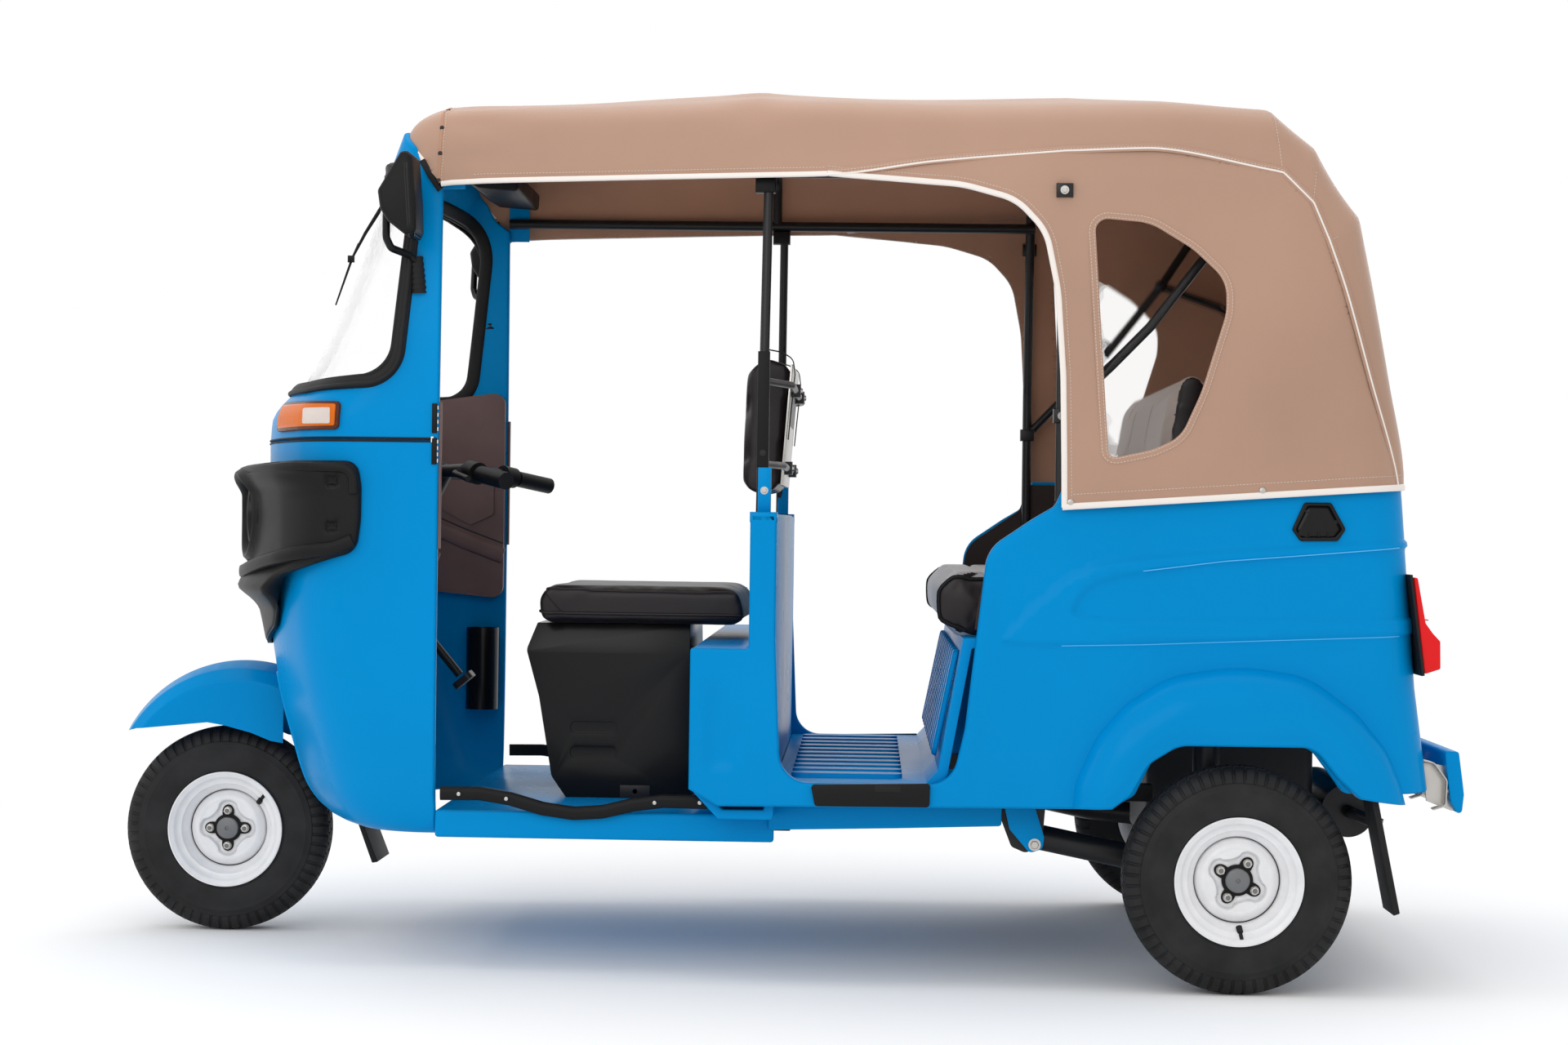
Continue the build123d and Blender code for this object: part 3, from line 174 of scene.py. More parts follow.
looks = {  # colour, roughness, metal, other sockets, then the noise fields of these kinds:
    # tone (scale, detail, darkest, lightest; a share of the colour or a colour), bumps (scale, detail or kind,
    # strength, depth) and spread of the roughness (scale, from, to)
    "bodyPaint": (bodyBlue, 0.3, 0, {"Coat Weight": 0.03, "Coat Roughness": 0.08, "Specular IOR Level": 0.03},
                  {"tone": (3.0, 3, 0.975, 1.02), "bumps": [(420, 2, 0.035, 0.0004)], "spread": (9, 0.24, 0.33)}),
    # painted shade: the body blue darkened for the wheel house's inner faces, which sit in shade
    "shadedInnerPaint": (shade(bodyBlue, 0.72), 0.45, 0, {"Specular IOR Level": 0.15},
                   {"tone": (7, 3, shade(bodyBlue, 0.62), shade(bodyBlue, 0.8)),
                    "bumps": [(260, 3, 0.08, 0.0006)]}),
    "blackPlastic": (blackTone, 0.42, 0, {"Specular IOR Level": 0.14},
                     {"bumps": [(900, "cells", 0.12, 0.0003)], "spread": (14, 0.36, 0.5)}),
    "satinPlastic": (shade(blackTone, 0.8), 0.26, 0, {"Specular IOR Level": 0.2},
                     {"bumps": [(600, 2, 0.05, 0.0003)]}),
    "dashPlastic": ((0.15, 0.092, 0.086), 0.5, 0, {"Specular IOR Level": 0.25},
                    {"tone": (9, 3, 0.9, 1.1), "bumps": [(700, "cells", 0.2, 0.0004)]}),
    "darkVinyl": ((0.014, 0.01, 0.011), 0.36, 0, {"Specular IOR Level": 0.28},
                  {"bumps": [(520, "cells", 0.25, 0.0005), (28, 3, 0.15, 0.002)], "spread": (18, 0.3, 0.46)}),
    "greyVinyl": ((0.36, 0.36, 0.38), 0.42, 0, {}, {"tone": (12, 3, 0.92, 1.05),
                                                    "bumps": [(520, "cells", 0.22, 0.0005)]}),
    "hoodVinyl": ((0.405, 0.248, 0.176), 0.5, 0, {"Specular IOR Level": 0.3, "Sheen Weight": 0.22,
                                                  "Sheen Roughness": 0.4},
                  {"tone": (2.2, 5, 0.94, 1.05), "spread": (11, 0.44, 0.58),
                   "bumps": [(1.0, "weave", 0.12, 0.0003), (640, "cells", 0.22, 0.0004), (26, 4, 0.12, 0.0035)]}),
    # painted highlight: a lighter, glossier blue for the thin lines along the tub's folds
    "paintedFoldHighlight": ((0.05, 0.42, 0.8), 0.2, 0, {"Coat Weight": 0.3}, {"bumps": [(90, 3, 0.03, 0.0004)]}),
    "beigeVinyl": ((0.4, 0.33, 0.29), 0.45, 0, {"Specular IOR Level": 0.3},
                   {"bumps": [(520, "cells", 0.22, 0.0005), (22, 3, 0.2, 0.004)]}),
    "brownLining": ((0.03, 0.019, 0.016), 0.45, 0, {"Specular IOR Level": 0.2},
                    {"bumps": [(520, "cells", 0.22, 0.0005)]}),
    # painted light: the lining is coloured lighter to stand for light shining through the translucent hood cloth
    "hoodLiningPaintedGlow": ((0.47, 0.25, 0.155), 0.8, 0, {},
                   {"bumps": [(300, 3, 0.2, 0.0006)], "tone": (4, 3, (0.44, 0.235, 0.145), (0.5, 0.265, 0.165))}),
    "creamPiping": ((0.8, 0.74, 0.69), 0.45, 0, {}, {"bumps": [(500, 3, 0.15, 0.0004)]}),
    "thread": ((0.7, 0.6, 0.53), 0.7, 0, {}, {"bumps": [(1500, 2, 0.3, 0.0002)]}),
    "rubber": ((0.011, 0.011, 0.0115), 0.5, 0, {"Specular IOR Level": 0.2},
               {"bumps": [(500, 3, 0.12, 0.0004)], "spread": (20, 0.5, 0.64)}),
    "tyreRubber": ((0.013, 0.013, 0.0135), 0.6, 0, {"Specular IOR Level": 0.22},
                   {"tone": (16, 5, 0.8, 1.5), "bumps": [(700, 3, 0.15, 0.0004)]}),
    "rimEnamel": ((0.8, 0.8, 0.81), 0.3, 0, {"Coat Weight": 0.3, "Coat Roughness": 0.1},
                  {"tone": (30, 5, 0.93, 1.0), "bumps": [(300, 2, 0.05, 0.0004)]}),
    "zincSteel": ((0.52, 0.5, 0.47), 0.32, 1, {}, {"bumps": [(400, 3, 0.1, 0.0003)], "spread": (60, 0.25, 0.42)}),
    "hubGrey": ((0.16, 0.165, 0.17), 0.45, 0.4, {}, {"bumps": [(260, 4, 0.2, 0.0006)]}),
    "blackSteel": ((0.012, 0.012, 0.013), 0.32, 0, {"Specular IOR Level": 0.3},
                   {"bumps": [(350, 3, 0.08, 0.0004)], "spread": (22, 0.28, 0.42)}),
    "castAlloy": ((0.035, 0.035, 0.037), 0.5, 0.3, {"Specular IOR Level": 0.2},
                  {"bumps": [(160, 5, 0.35, 0.0012)]}),
    "reflector": ((0.86, 0.87, 0.88), 0.08, 1, {}, {"bumps": [(40, 2, 0.02, 0.0005)]}),
    "screenGlass": ((1, 1, 1), 0.02, 0, {"Transmission Weight": 1.0, "IOR": 1.02, "Alpha": 0.32},
                    {"bumps": [(3, 2, 0.02, 0.0004)]}),
    "lampLens": ((0.95, 0.97, 0.98), 0.04, 0, {"Transmission Weight": 1.0, "IOR": 1.45},
                 {"bumps": [(60, 2, 0.05, 0.0005)]}),
    "clearSheet": ((0.93, 0.92, 0.91), 0.12, 0, {"Transmission Weight": 1.0, "IOR": 1.03, "Alpha": 0.45},
                   {"bumps": [(9, 4, 0.3, 0.004)]}),
    "amberLens": ((0.62, 0.125, 0.0), 0.18, 0, {"Specular IOR Level": 0.2}, {"bumps": [(200, 2, 0.05, 0.0005)]}),
    "amberDark": ((0.085, 0.02, 0.008), 0.25, 0, {"Specular IOR Level": 0.2}, {"bumps": [(200, 2, 0.05, 0.0005)]}),
    "clearGrid": ((0.62, 0.54, 0.5), 0.15, 0, {}, {"bumps": [(200, 2, 0.05, 0.0005)]}),
    "redLens": ((0.72, 0.004, 0.006), 0.14, 0, {"Specular IOR Level": 0.25}, {"bumps": [(200, 2, 0.05, 0.0005)]}),
    "mirrorGlass": ((0.9, 0.91, 0.92), 0.02, 1, {}, {"bumps": [(5, 1, 0.01, 0.0003)]}),
}

def weaveField(mat):
    weave = addNode(mat, "ShaderNodeTexBrick", Scale=1.0)
    weave.inputs["Brick Width"].default_value = 0.0016
    weave.inputs["Row Height"].default_value = 0.0011
    weave.inputs["Mortar Size"].default_value = 0.00022
    mat.node_tree.links.new(placeNode(mat), weave.inputs["Vector"])
    return weave.outputs["Fac"]

def makeMaterials(looks):
    for name, (colour, rough, metal, sockets, fields) in looks.items():
        mat = newMaterial(name, colour, rough, metal, **sockets)
        if "tone" in fields:
            scale, detail, *ends = fields["tone"]
            dark, light = [t if isinstance(t, tuple) else shade(colour, t) for t in ends]
            spreadColour(mat, noiseField(mat, scale, detail), dark, light)
        for scale, detail, strength, depth in fields["bumps"]:
            if detail == "weave":
                field = weaveField(mat)
            elif detail == "cells":
                field = cellField(mat, scale)
            else:
                field = noiseField(mat, scale, detail)
            addBump(mat, field, strength, depth)
        if "spread" in fields:
            scale, low, high = fields["spread"]
            spreadRoughness(mat, noiseField(mat, scale, 4), low, high)

makeMaterials(looks)
print("stage: materials,", len(materials))

# pieces
def keepNode(name, material):
    node = nodes[name]
    node.data.materials.clear()
    node.data.materials.append(materials[material])
    return node

keptNodes = {
    "bodyPaint": ("front_apron", "windscreen_frame", "floor_pan", "partition", "left_side", "right_side",
                  "rear_panel", "engine_door", "wheel_flares", "rear_bumper", "passenger_floor", "front_fender"),
    "blackPlastic": ("lamp_mask", "bottle_holder", "sill_trims", "side_vents", "driver_seat_box", "mirrors",
                     "handlebar", "wiper"),
    "blackSteel": ("steering_head", "brake_pedal", "hood_frame", "post_poles", "chassis_rails", "running_gear",
                   "silencer", "steering_column"),
    "darkVinyl": ("driver_seat_cushion", "driver_backrest", "rear_seat_back"),
    "greyVinyl": ("rear_seat_cushion",),
    "hoodVinyl": ("canopy",),
    "clearSheet": ("canopy_windows",),
    "screenGlass": ("windscreen_glass",),
    "rubber": ("windscreen_seal", "mud_flaps"),
    "dashPlastic": ("dash_panel",),
    "castAlloy": ("engine_block",),
    "tyreRubber": ("front_tyre", "rear_left_tyre", "rear_right_tyre"),
    "rimEnamel": ("front_rim", "rear_left_rim", "rear_right_rim"),
    "lampLens": ("headlamps",),
    "amberLens": ("indicators",),
    "redLens": ("tail_lamps",),
}
for material, names in keptNodes.items():
    for name in names:
        if name in nodes:
            keepNode(name, material)

# floor and light
studioValues = {
    "floorSize": 30.0,
    "floorShade": 0.97,
    "clearZone": (1.5, 2.7),   # the shadow fades out between these distances from the middle
    "worldFill": 0.86,
    "lights": (  # name, place, aim, size, strength
        ("overhead", (0.0, 0.0, 4.2), (0, 0, 0), (5.0, 3.2), 60),
        ("sideFill", (-1.5, -5.0, 3.0), (0, 0, 0.8), (4.0, 2.5), 55),
        ("frontFill", (-5.0, -1.0, 2.2), (0, 0, 0.8), (2.5, 2.5), 20),
        ("backFill", (3.5, 4.0, 3.2), (0, 0, 0.8), (3.0, 2.5), 25),
    ),
}

def seenPath(tree):
    # 1 for rays that show the background: camera, glossy and transmission
    path = tree.nodes.new("ShaderNodeLightPath")
    total = path.outputs["Is Camera Ray"]
    for key in ("Is Glossy Ray", "Is Transmission Ray"):
        add = tree.nodes.new("ShaderNodeMath")
        add.operation, add.use_clamp = "ADD", True
        tree.links.new(total, add.inputs[0])
        tree.links.new(path.outputs[key], add.inputs[1])
        total = add.outputs[0]
    return total

def whitenFar(mat, zone):
    tree = mat.node_tree
    links = tree.links
    away = addNode(mat, "ShaderNodeVectorMath", operation="LENGTH")
    squeeze = addNode(mat, "ShaderNodeMapping")
    squeeze.inputs["Scale"].default_value = (0.62, 1.0, 1.0)
    links.new(placeNode(mat), squeeze.inputs["Vector"])
    links.new(squeeze.outputs["Vector"], away.inputs[0])
    fade = addNode(mat, "ShaderNodeMapRange", interpolation_type="SMOOTHSTEP")
    fade.inputs["From Min"].default_value, fade.inputs["From Max"].default_value = zone
    links.new(away.outputs["Value"], fade.inputs["Value"])
    seen = addNode(mat, "ShaderNodeMath", operation="MULTIPLY")
    links.new(fade.outputs["Result"], seen.inputs[0])
    links.new(seenPath(tree), seen.inputs[1])
    glow = addNode(mat, "ShaderNodeEmission")
    glow.inputs["Color"].default_value = (1, 1, 1, 1)
    glow.inputs["Strength"].default_value = 1.0
    mix = addNode(mat, "ShaderNodeMixShader")
    links.new(seen.outputs["Value"], mix.inputs[0])
    links.new(tree.nodes["Principled BSDF"].outputs[0], mix.inputs[1])
    links.new(glow.outputs[0], mix.inputs[2])
    links.new(mix.outputs[0], tree.nodes["Material Output"].inputs["Surface"])

def makeStudio(values):
    half = values["floorSize"] / 2
    mesh = bpy.data.meshes.new("studioFloor")
    mesh.from_pydata([(-half, -half, 0), (half, -half, 0), (half, half, 0), (-half, half, 0)], [], [(0, 1, 2, 3)])
    floor = bpy.data.objects.new("studioFloor", mesh)
    scene.collection.objects.link(floor)
    tone = values["floorShade"]
    mat = newMaterial("studioFloor", (tone, tone, tone), 0.9, Specular_IOR_Level=0.0)
    mesh.materials.append(mat)
    whitenFar(mat, values["clearZone"])
    world = bpy.data.worlds.new("studioWorld")
    scene.world = world
    world.use_nodes = True
    tree = world.node_tree
    background = tree.nodes["Background"]
    mix = tree.nodes.new("ShaderNodeMapRange")
    mix.inputs["To Min"].default_value = values["worldFill"]
    mix.inputs["To Max"].default_value = 1.0
    tree.links.new(seenPath(tree), mix.inputs["Value"])
    tree.links.new(mix.outputs["Result"], background.inputs["Strength"])
    background.inputs["Color"].default_value = (1, 1, 1, 1)
    for name, place, aim, size, power in values["lights"]:
        data = bpy.data.lights.new(name, "AREA")
        data.shape = "RECTANGLE"
        data.size, data.size_y = size
        data.energy = power
        lamp = bpy.data.objects.new(name, data)
        scene.collection.objects.link(lamp)
        lamp.location = place
        lamp.rotation_euler = (Vector(aim) - Vector(place)).to_track_quat("-Z", "Y").to_euler()

makeStudio(studioValues)
scene.view_settings.view_transform = "Standard"
print("stage: studio")

# shared shaping tools
def roundLine(points, radii, closed=True, step=0.004):
    pts = [Vector(p) for p in points]
    count = len(pts)
    if not hasattr(radii, "__len__"):
        radii = [radii] * count
    out = []
    for i, p in enumerate(pts):
        r = radii[i]
        if r <= 0 or (not closed and i in (0, count - 1)):
            out.append(p.copy())
            continue
        a, b = pts[i - 1] - p, pts[(i + 1) % count] - p
        la, lb = a.length, b.length
        a, b = a / la, b / lb
        angle = math.acos(max(-1, min(1, a.dot(b))))
        if angle > math.pi - 0.02:
            out.append(p.copy())
            continue
        cut = min(r / math.tan(angle / 2), 0.49 * la, 0.49 * lb)
        r = cut * math.tan(angle / 2)
        middle = p + (a + b).normalized() * math.hypot(r, cut)
        start, end = p + a * cut, p + b * cut
        sweep = math.pi - angle
        parts = max(2, int(math.ceil(r * sweep / step)), int(sweep / 0.35))
        va, vb = start - middle, end - middle
        for k in range(parts + 1):
            t = k / parts
            out.append(middle + va * (math.sin((1 - t) * sweep) / math.sin(sweep)) + vb
                       * (math.sin(t * sweep) / math.sin(sweep)))
    return [tuple(p) for p in out]

def rounded(rows, step, closed=False):
    # rows are x, z and the corner's radius
    return roundLine([p[:2] for p in rows], [p[2] for p in rows], closed=closed, step=step)

def spaced(line, step, closed=True):
    pts = [np.array(p, float) for p in line]
    ends = pts[1:] + ([pts[0]] if closed else [])
    out = []
    for a, b in zip(pts, ends):
        gap = np.linalg.norm(b - a)
        if gap < 1e-7:
            continue
        parts = max(1, int(math.ceil(gap / step)))
        out += [a + (b - a) * k / parts for k in range(parts)]
    if not closed:
        out.append(pts[-1])
    return np.array(out)

def lineDistance(points, starts, ends):
    best = np.full(len(points), 1e9)
    for k in range(0, len(starts), 100):
        a, b = starts[k:k + 100], ends[k:k + 100]
        ab = b - a
        size = np.maximum((ab ** 2).sum(1), 1e-12)
        t = np.clip(((points[:, None, :] - a[None]) * ab[None]).sum(2) / size[None], 0, 1)
        near = a[None] + ab[None] * t[..., None]
        best = np.minimum(best, np.sqrt(((points[:, None, :] - near) ** 2).sum(2)).min(1))
    return best

def toLine(points, line, closed=False):
    pts = np.array(line, float)
    ends = np.roll(pts, -1, axis=0)
    if not closed:
        pts, ends = pts[:-1], ends[:-1]
    return lineDistance(np.asarray(points, float), pts, ends)

def insideLine(points, line):
    inside = np.zeros(len(points), bool)
    x, y = points[:, 0], points[:, 1]
    for (x0, y0), (x1, y1) in zip(line, np.roll(line, -1, axis=0)):
        if y0 != y1:
            inside ^= ((y0 > y) != (y1 > y)) & (x < (x1 - x0) * (y - y0) / (y1 - y0) + x0)
    return inside

def insetLine(line, distance, closed=False):
    # shifts a flat line to its left by distance; a closed ring shifts inward
    pts = np.array(line, float)
    if closed:
        ahead, behind = np.roll(pts, -1, axis=0), np.roll(pts, 1, axis=0)
        area = 0.5 * np.sum(pts[:, 0] * np.roll(pts[:, 1], -1) - np.roll(pts[:, 0], -1) * pts[:, 1])
        sign = 1 if area > 0 else -1
    else:
        ahead, behind = np.vstack([pts[1:], pts[-1:]]), np.vstack([pts[:1], pts[:-1]])
        sign = 1
    t = ahead - behind
    t /= np.maximum(np.linalg.norm(t, axis=1), 1e-9)[:, None]
    normal = np.stack([-t[:, 1], t[:, 0]], 1) * sign
    return pts + normal * distance

def smoothStep(t):
    t = np.clip(t, 0, 1)
    return t * t * (3 - 2 * t)

def level(height):
    # the same relief everywhere
    return lambda flat: np.full(len(flat), height)

def newPiece(name, mesh):
    piece = bpy.data.objects.new(name, mesh)
    scene.collection.objects.link(piece)
    return piece

def gridFaces(rows, across, closedRows=False, closedAcross=True):
    # quads between rows of points that were laid one after the other
    faces = []
    for i in range(rows if closedRows else rows - 1):
        j = (i + 1) % rows
        for k in range(across if closedAcross else across - 1):
            n = (k + 1) % across
            faces.append((i * across + k, i * across + n, j * across + n, j * across + k))
    return faces

def endCaps(rows, across):
    return [tuple(range(across))[::-1], tuple((rows - 1) * across + k for k in range(across))]

def standOn(piece, place, normal):
    # turns what was made upright at the origin to this direction and moves it to its place
    turn = Vector((0, 0, 1)).rotation_difference(Vector(normal)).to_matrix().to_4x4()
    piece.data.transform(Matrix.Translation(Vector(place)) @ turn)
    return piece

def meshPiece(name, verts, faces, material, weld=0.0, sharp=None):
    mesh = bpy.data.meshes.new(name)
    mesh.from_pydata([tuple(map(float, v)) for v in verts], [], [tuple(map(int, f)) for f in faces])
    bm = bmesh.new()
    bm.from_mesh(mesh)
    if weld:
        bmesh.ops.remove_doubles(bm, verts=bm.verts, dist=weld)
    bmesh.ops.recalc_face_normals(bm, faces=bm.faces)
    bm.to_mesh(mesh)
    bm.free()
    mesh.materials.append(materials[material])
    mesh.shade_smooth()
    if sharp is not None:
        mesh.set_sharp_from_angle(angle=math.radians(sharp))
    return newPiece(name, mesh)

def settle(piece, body, slot, *hides):
    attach(piece, body)
    if hides:
        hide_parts(*hides)
    return piece

def joined(name, pieces):
    bm = bmesh.new()
    mats = []
    for piece in pieces:
        part = piece.data.copy()
        part.transform(piece.matrix_world)
        slots = []
        for mat in part.materials:
            if mat not in mats:
                mats.append(mat)
            slots.append(mats.index(mat))
        for poly in part.polygons:
            poly.material_index = slots[poly.material_index] if slots else 0
        bm.from_mesh(part)
        bpy.data.meshes.remove(part)
    mesh = bpy.data.meshes.new(name)
    bm.to_mesh(mesh)
    bm.free()
    for mat in mats:
        mesh.materials.append(mat)
    for piece in pieces:
        bpy.data.objects.remove(piece)
    return newPiece(name, mesh)

def mirrored(name, piece):
    # a copy across the middle plane
    mesh = piece.data.copy()
    mesh.transform(piece.matrix_world)
    mesh.transform(Matrix.Scale(-1, 4, (0, 1, 0)))
    mesh.flip_normals()
    return newPiece(name, mesh)

def insideLoops(points, loops):
    keep = insideLine(points, loops[0])
    for hole in loops[1:]:
        keep &= ~insideLine(points, hole)
    return points[keep]

rimRows = (0.12, 0.38, 0.68, 1.0)   # where the rows of points stand on a sheet's rounded rim

def panelSheet(name, outline, place, thick, material, holes=(), relief=None, edge=0.006, backEdge=0.0, grid=0.016,
               step=0.006, guides=(), openRim=None, follow=False):
    # a pressed sheet: outline and holes in flat (u, v), place(uv, height) puts points in space
    loops = [spaced(outline, step)] + [spaced(h, step) for h in holes]
    starts = np.vstack(loops)
    ends = np.vstack([np.roll(l, -1, axis=0) for l in loops])
    closed = np.ones(len(starts), bool)
    if openRim is not None:
        closed = ~openRim((starts + ends) / 2)
    rimA, rimB = starts[closed], ends[closed]
    points = list(loops)
    edges, base = [], 0
    for l in loops:
        n = len(l)
        edges += [(base + i, base + (i + 1) % n) for i in range(n)]
        base += n
    for guide in guides:
        g = spaced(guide, step * 1.3, closed=False)
        points.append(g)
        edges += [(base + i, base + i + 1) for i in range(len(g) - 1)]
        base += len(g)
    fixed = np.vstack(points)
    lo, hi = loops[0].min(0), loops[0].max(0)
    reach = edge * 1.05
    direction = ends - starts
    normal = np.stack([-direction[:, 1], direction[:, 0]], 1)
    normal /= np.maximum(np.linalg.norm(normal, axis=1), 1e-9)[:, None]
    middle = (starts + ends) / 2
    free = [middle + s * normal * (reach * fraction) for fraction in rimRows for s in (1, -1)]
    rowsOnly = insideLoops(np.vstack(free), loops)
    rowsOnly = rowsOnly[lineDistance(rowsOnly, starts, ends) > reach * 0.11]
    u = np.arange(lo[0] + grid * 0.5, hi[0], grid)
    v = np.arange(lo[1] + grid * 0.5, hi[1], grid)
    gu, gv = np.meshgrid(u, v)
    gu[1::2] += grid * 0.5
    field = insideLoops(np.stack([gu.ravel(), gv.ravel()], 1), loops)
    field = field[lineDistance(field, starts, ends) > reach + grid * 0.3]
    for guide in guides:
        field = field[toLine(field, guide) > grid * 0.35]
        rowsOnly = rowsOnly[toLine(rowsOnly, guide) > step * 0.3]
    everything = np.vstack([fixed, rowsOnly, field])
    made = delaunay_2d_cdt([Vector(p) for p in everything], edges, [], 0, 1e-7)
    flat = np.array([tuple(p) for p in made[0]])
    tris = np.array([t for t in made[2] if len(t) == 3])
    centre = flat[tris].mean(1)
    keep = insideLine(centre, loops[0])
    for hole in loops[1:]:
        keep &= ~insideLine(centre, hole)
    tris = tris[keep]
    a, b, c = flat[tris[:, 0]], flat[tris[:, 1]], flat[tris[:, 2]]
    area = (b[:, 0] - a[:, 0]) * (c[:, 1] - a[:, 1]) - (b[:, 1] - a[:, 1]) * (c[:, 0] - a[:, 0])
    tris = tris[np.abs(area) > 1e-12]
    used = np.unique(tris)
    remap = -np.ones(len(flat), int)
    remap[used] = np.arange(len(used))
    flat, tris = flat[used], remap[tris]
    rim = lineDistance(flat, rimA, rimB) if len(rimA) else np.full(len(flat), 1.0)
    height = relief(flat) if relief else np.zeros(len(flat))
    drop = lambda r: r - np.sqrt(np.maximum(r * r - np.maximum(r - rim, 0) ** 2, 0)) if r > 0 else 0 * rim
    front = place(flat, height - drop(edge))
    back = place(flat, (height if follow else 0) - thick + drop(backEdge))
    n = len(flat)
    faces = [tuple(t) for t in tris] + [(t[2] + n, t[1] + n, t[0] + n) for t in tris]
    counts = {}
    for t in tris:
        for i in range(3):
            e = (int(t[i]), int(t[(i + 1) % 3]))
            counts[e] = counts.get(e, 0) + 1
    border = [e for e in counts if (e[1], e[0]) not in counts]
    if openRim is not None and border:
        mids = (flat[[e[0] for e in border]] + flat[[e[1] for e in border]]) / 2
        skip = openRim(mids)
        border = [e for e, s in zip(border, skip) if not s]
    faces += [(e[1], e[0], e[0] + n, e[1] + n) for e in border]
    return meshPiece(name, np.vstack([front, back]), faces, material)

def sidePlace(half):
    # flat (x, z) onto the left side wall, half a width from the middle
    return lambda flat, height: np.stack([flat[:, 0], -(half + height) * np.ones(len(flat)), flat[:, 1]], 1)

def tube(name, points, radius, material, bend=0.0, sides=16, taper=None, closed=False):
    pts = [Vector(p) for p in points]
    if bend:
        pts = [Vector(p) for p in roundLine(pts, bend, closed=closed, step=0.006)]
    count = len(pts)
    verts = []
    ref = None
    for i, p in enumerate(pts):
        if closed:
            tangent = (pts[(i + 1) % count] - pts[i - 1]).normalized()
        else:
            tangent = (pts[min(i + 1, count - 1)] - pts[max(i - 1, 0)]).normalized()
        if ref is None:
            ref = tangent.orthogonal().normalized()
        else:
            ref = (ref - tangent * ref.dot(tangent)).normalized()
        other = tangent.cross(ref)
        r = radius if taper is None else radius * taper(i / max(1, count - 1))
        for k in range(sides):
            a = 2 * math.pi * k / sides
            verts.append(p + (ref * math.cos(a) + other * math.sin(a)) * r)
    faces = gridFaces(count, sides, closed) + ([] if closed else endCaps(count, sides))
    return meshPiece(name, verts, faces, material, sharp=50)

ribbonShape = (  # a strip's section, in shares of its width and thickness
    (-0.5, -0.5), (-0.5, 0.1), (-0.38, 0.42), (-0.15, 0.5), (0.15, 0.5), (0.38, 0.42), (0.5, 0.1), (0.5, -0.5))

def ribbon(name, points, normals, width, thick, material, closed=False):
    # a flat strip along a line, standing on a surface with these normals
    pts = np.array(points, float)
    nor = np.array(normals, float)
    tangent = np.roll(pts, -1, axis=0) - np.roll(pts, 1, axis=0)
    if not closed:
        tangent[0], tangent[-1] = pts[1] - pts[0], pts[-1] - pts[-2]
    tangent /= np.maximum(np.linalg.norm(tangent, axis=1), 1e-9)[:, None]
    nor -= tangent * (nor * tangent).sum(1)[:, None]
    nor /= np.maximum(np.linalg.norm(nor, axis=1), 1e-9)[:, None]
    across = np.cross(tangent, nor)
    verts = [p + a * s * width + n * h * thick for p, n, a in zip(pts, nor, across) for s, h in ribbonShape]
    m, count = len(ribbonShape), len(pts)
    faces = gridFaces(count, m, closed) + ([] if closed else endCaps(count, m))
    return meshPiece(name, verts, faces, material, sharp=60)

def lathe(name, profile, material, centre=(0, 0, 0), axis="y", sides=96, sharp=30, closed=False):
    # profile rows are (radius, along); turned about axis through centre
    verts = []
    for k in range(sides):
        a = 2 * math.pi * k / sides
        c, s = math.cos(a), math.sin(a)
        for r, t in profile:
            if axis == "y":
                verts.append((centre[0] + r * c, centre[1] + t, centre[2] + r * s))
            elif axis == "x":
                verts.append((centre[0] + t, centre[1] + r * c, centre[2] + r * s))
            else:
                verts.append((centre[0] + r * c, centre[1] + r * s, centre[2] + t))
    faces = gridFaces(sides, len(profile), True, closed)
    return meshPiece(name, verts, faces, material, weld=1e-6, sharp=sharp)

def softBlock(name, outline, depth, material, edge=0.004, centre=(0, 0, 0), plane="xz", parts=3):
    # an extruded outline with rounded edges; plane names the outline's two axes
    bm = bmesh.new()
    low, high = (-depth / 2, depth / 2)
    ring = [bm.verts.new((p[0], p[1], low)) for p in outline]
    face = bm.faces.new(ring)
    made = bmesh.ops.extrude_face_region(bm, geom=[face])
    for v in made["geom"]:
        if isinstance(v, bmesh.types.BMVert):
            v.co.z = high
    bmesh.ops.recalc_face_normals(bm, faces=bm.faces)
    if edge:
        ends = [f for f in bm.faces if len(f.verts) == len(ring) and abs(f.normal.z) > 0.99]
        rims = [e for e in bm.edges if len(e.link_faces) == 2 and any(f in ends for f in e.link_faces)
                and abs(e.verts[0].co.z - e.verts[1].co.z) < 1e-9]
        bmesh.ops.bevel(bm, geom=rims, offset=edge, segments=parts, profile=0.5, affect="EDGES", clamp_overlap=True)
    for v in bm.verts:
        a, b, c = v.co
        v.co = (a, c, b) if plane == "xz" else (a, b, c)
        v.co += Vector(centre)
    bmesh.ops.recalc_face_normals(bm, faces=bm.faces)
    mesh = bpy.data.meshes.new(name)
    bm.to_mesh(mesh)
    bm.free()
    mesh.materials.append(materials[material])
    mesh.shade_smooth()
    mesh.set_sharp_from_angle(angle=math.radians(35))
    return newPiece(name, mesh)

def keptInside(piece, cutter):
    mod = piece.modifiers.new("cut", "BOOLEAN")
    mod.object = cutter
    mod.operation = "INTERSECT"
    mod.solver = "EXACT"
    bakeMods(piece)
    bpy.data.objects.remove(cutter)
    return piece

def bakeMods(piece):
    bpy.context.view_layer.update()
    graph = bpy.context.evaluated_depsgraph_get()
    mesh = bpy.data.meshes.new_from_object(piece.evaluated_get(graph))
    piece.modifiers.clear()
    piece.data = mesh
    return piece

def nodeCopy(name, node, material, merge=1e-5):
    mesh = nodes[node].data.copy()
    mesh.transform(nodes[node].matrix_world)
    bm = bmesh.new()
    bm.from_mesh(mesh)
    bmesh.ops.remove_doubles(bm, verts=bm.verts, dist=merge)
    bm.to_mesh(mesh)
    bm.free()
    mesh.materials.clear()
    mesh.materials.append(materials[material])
    return newPiece(name, mesh)

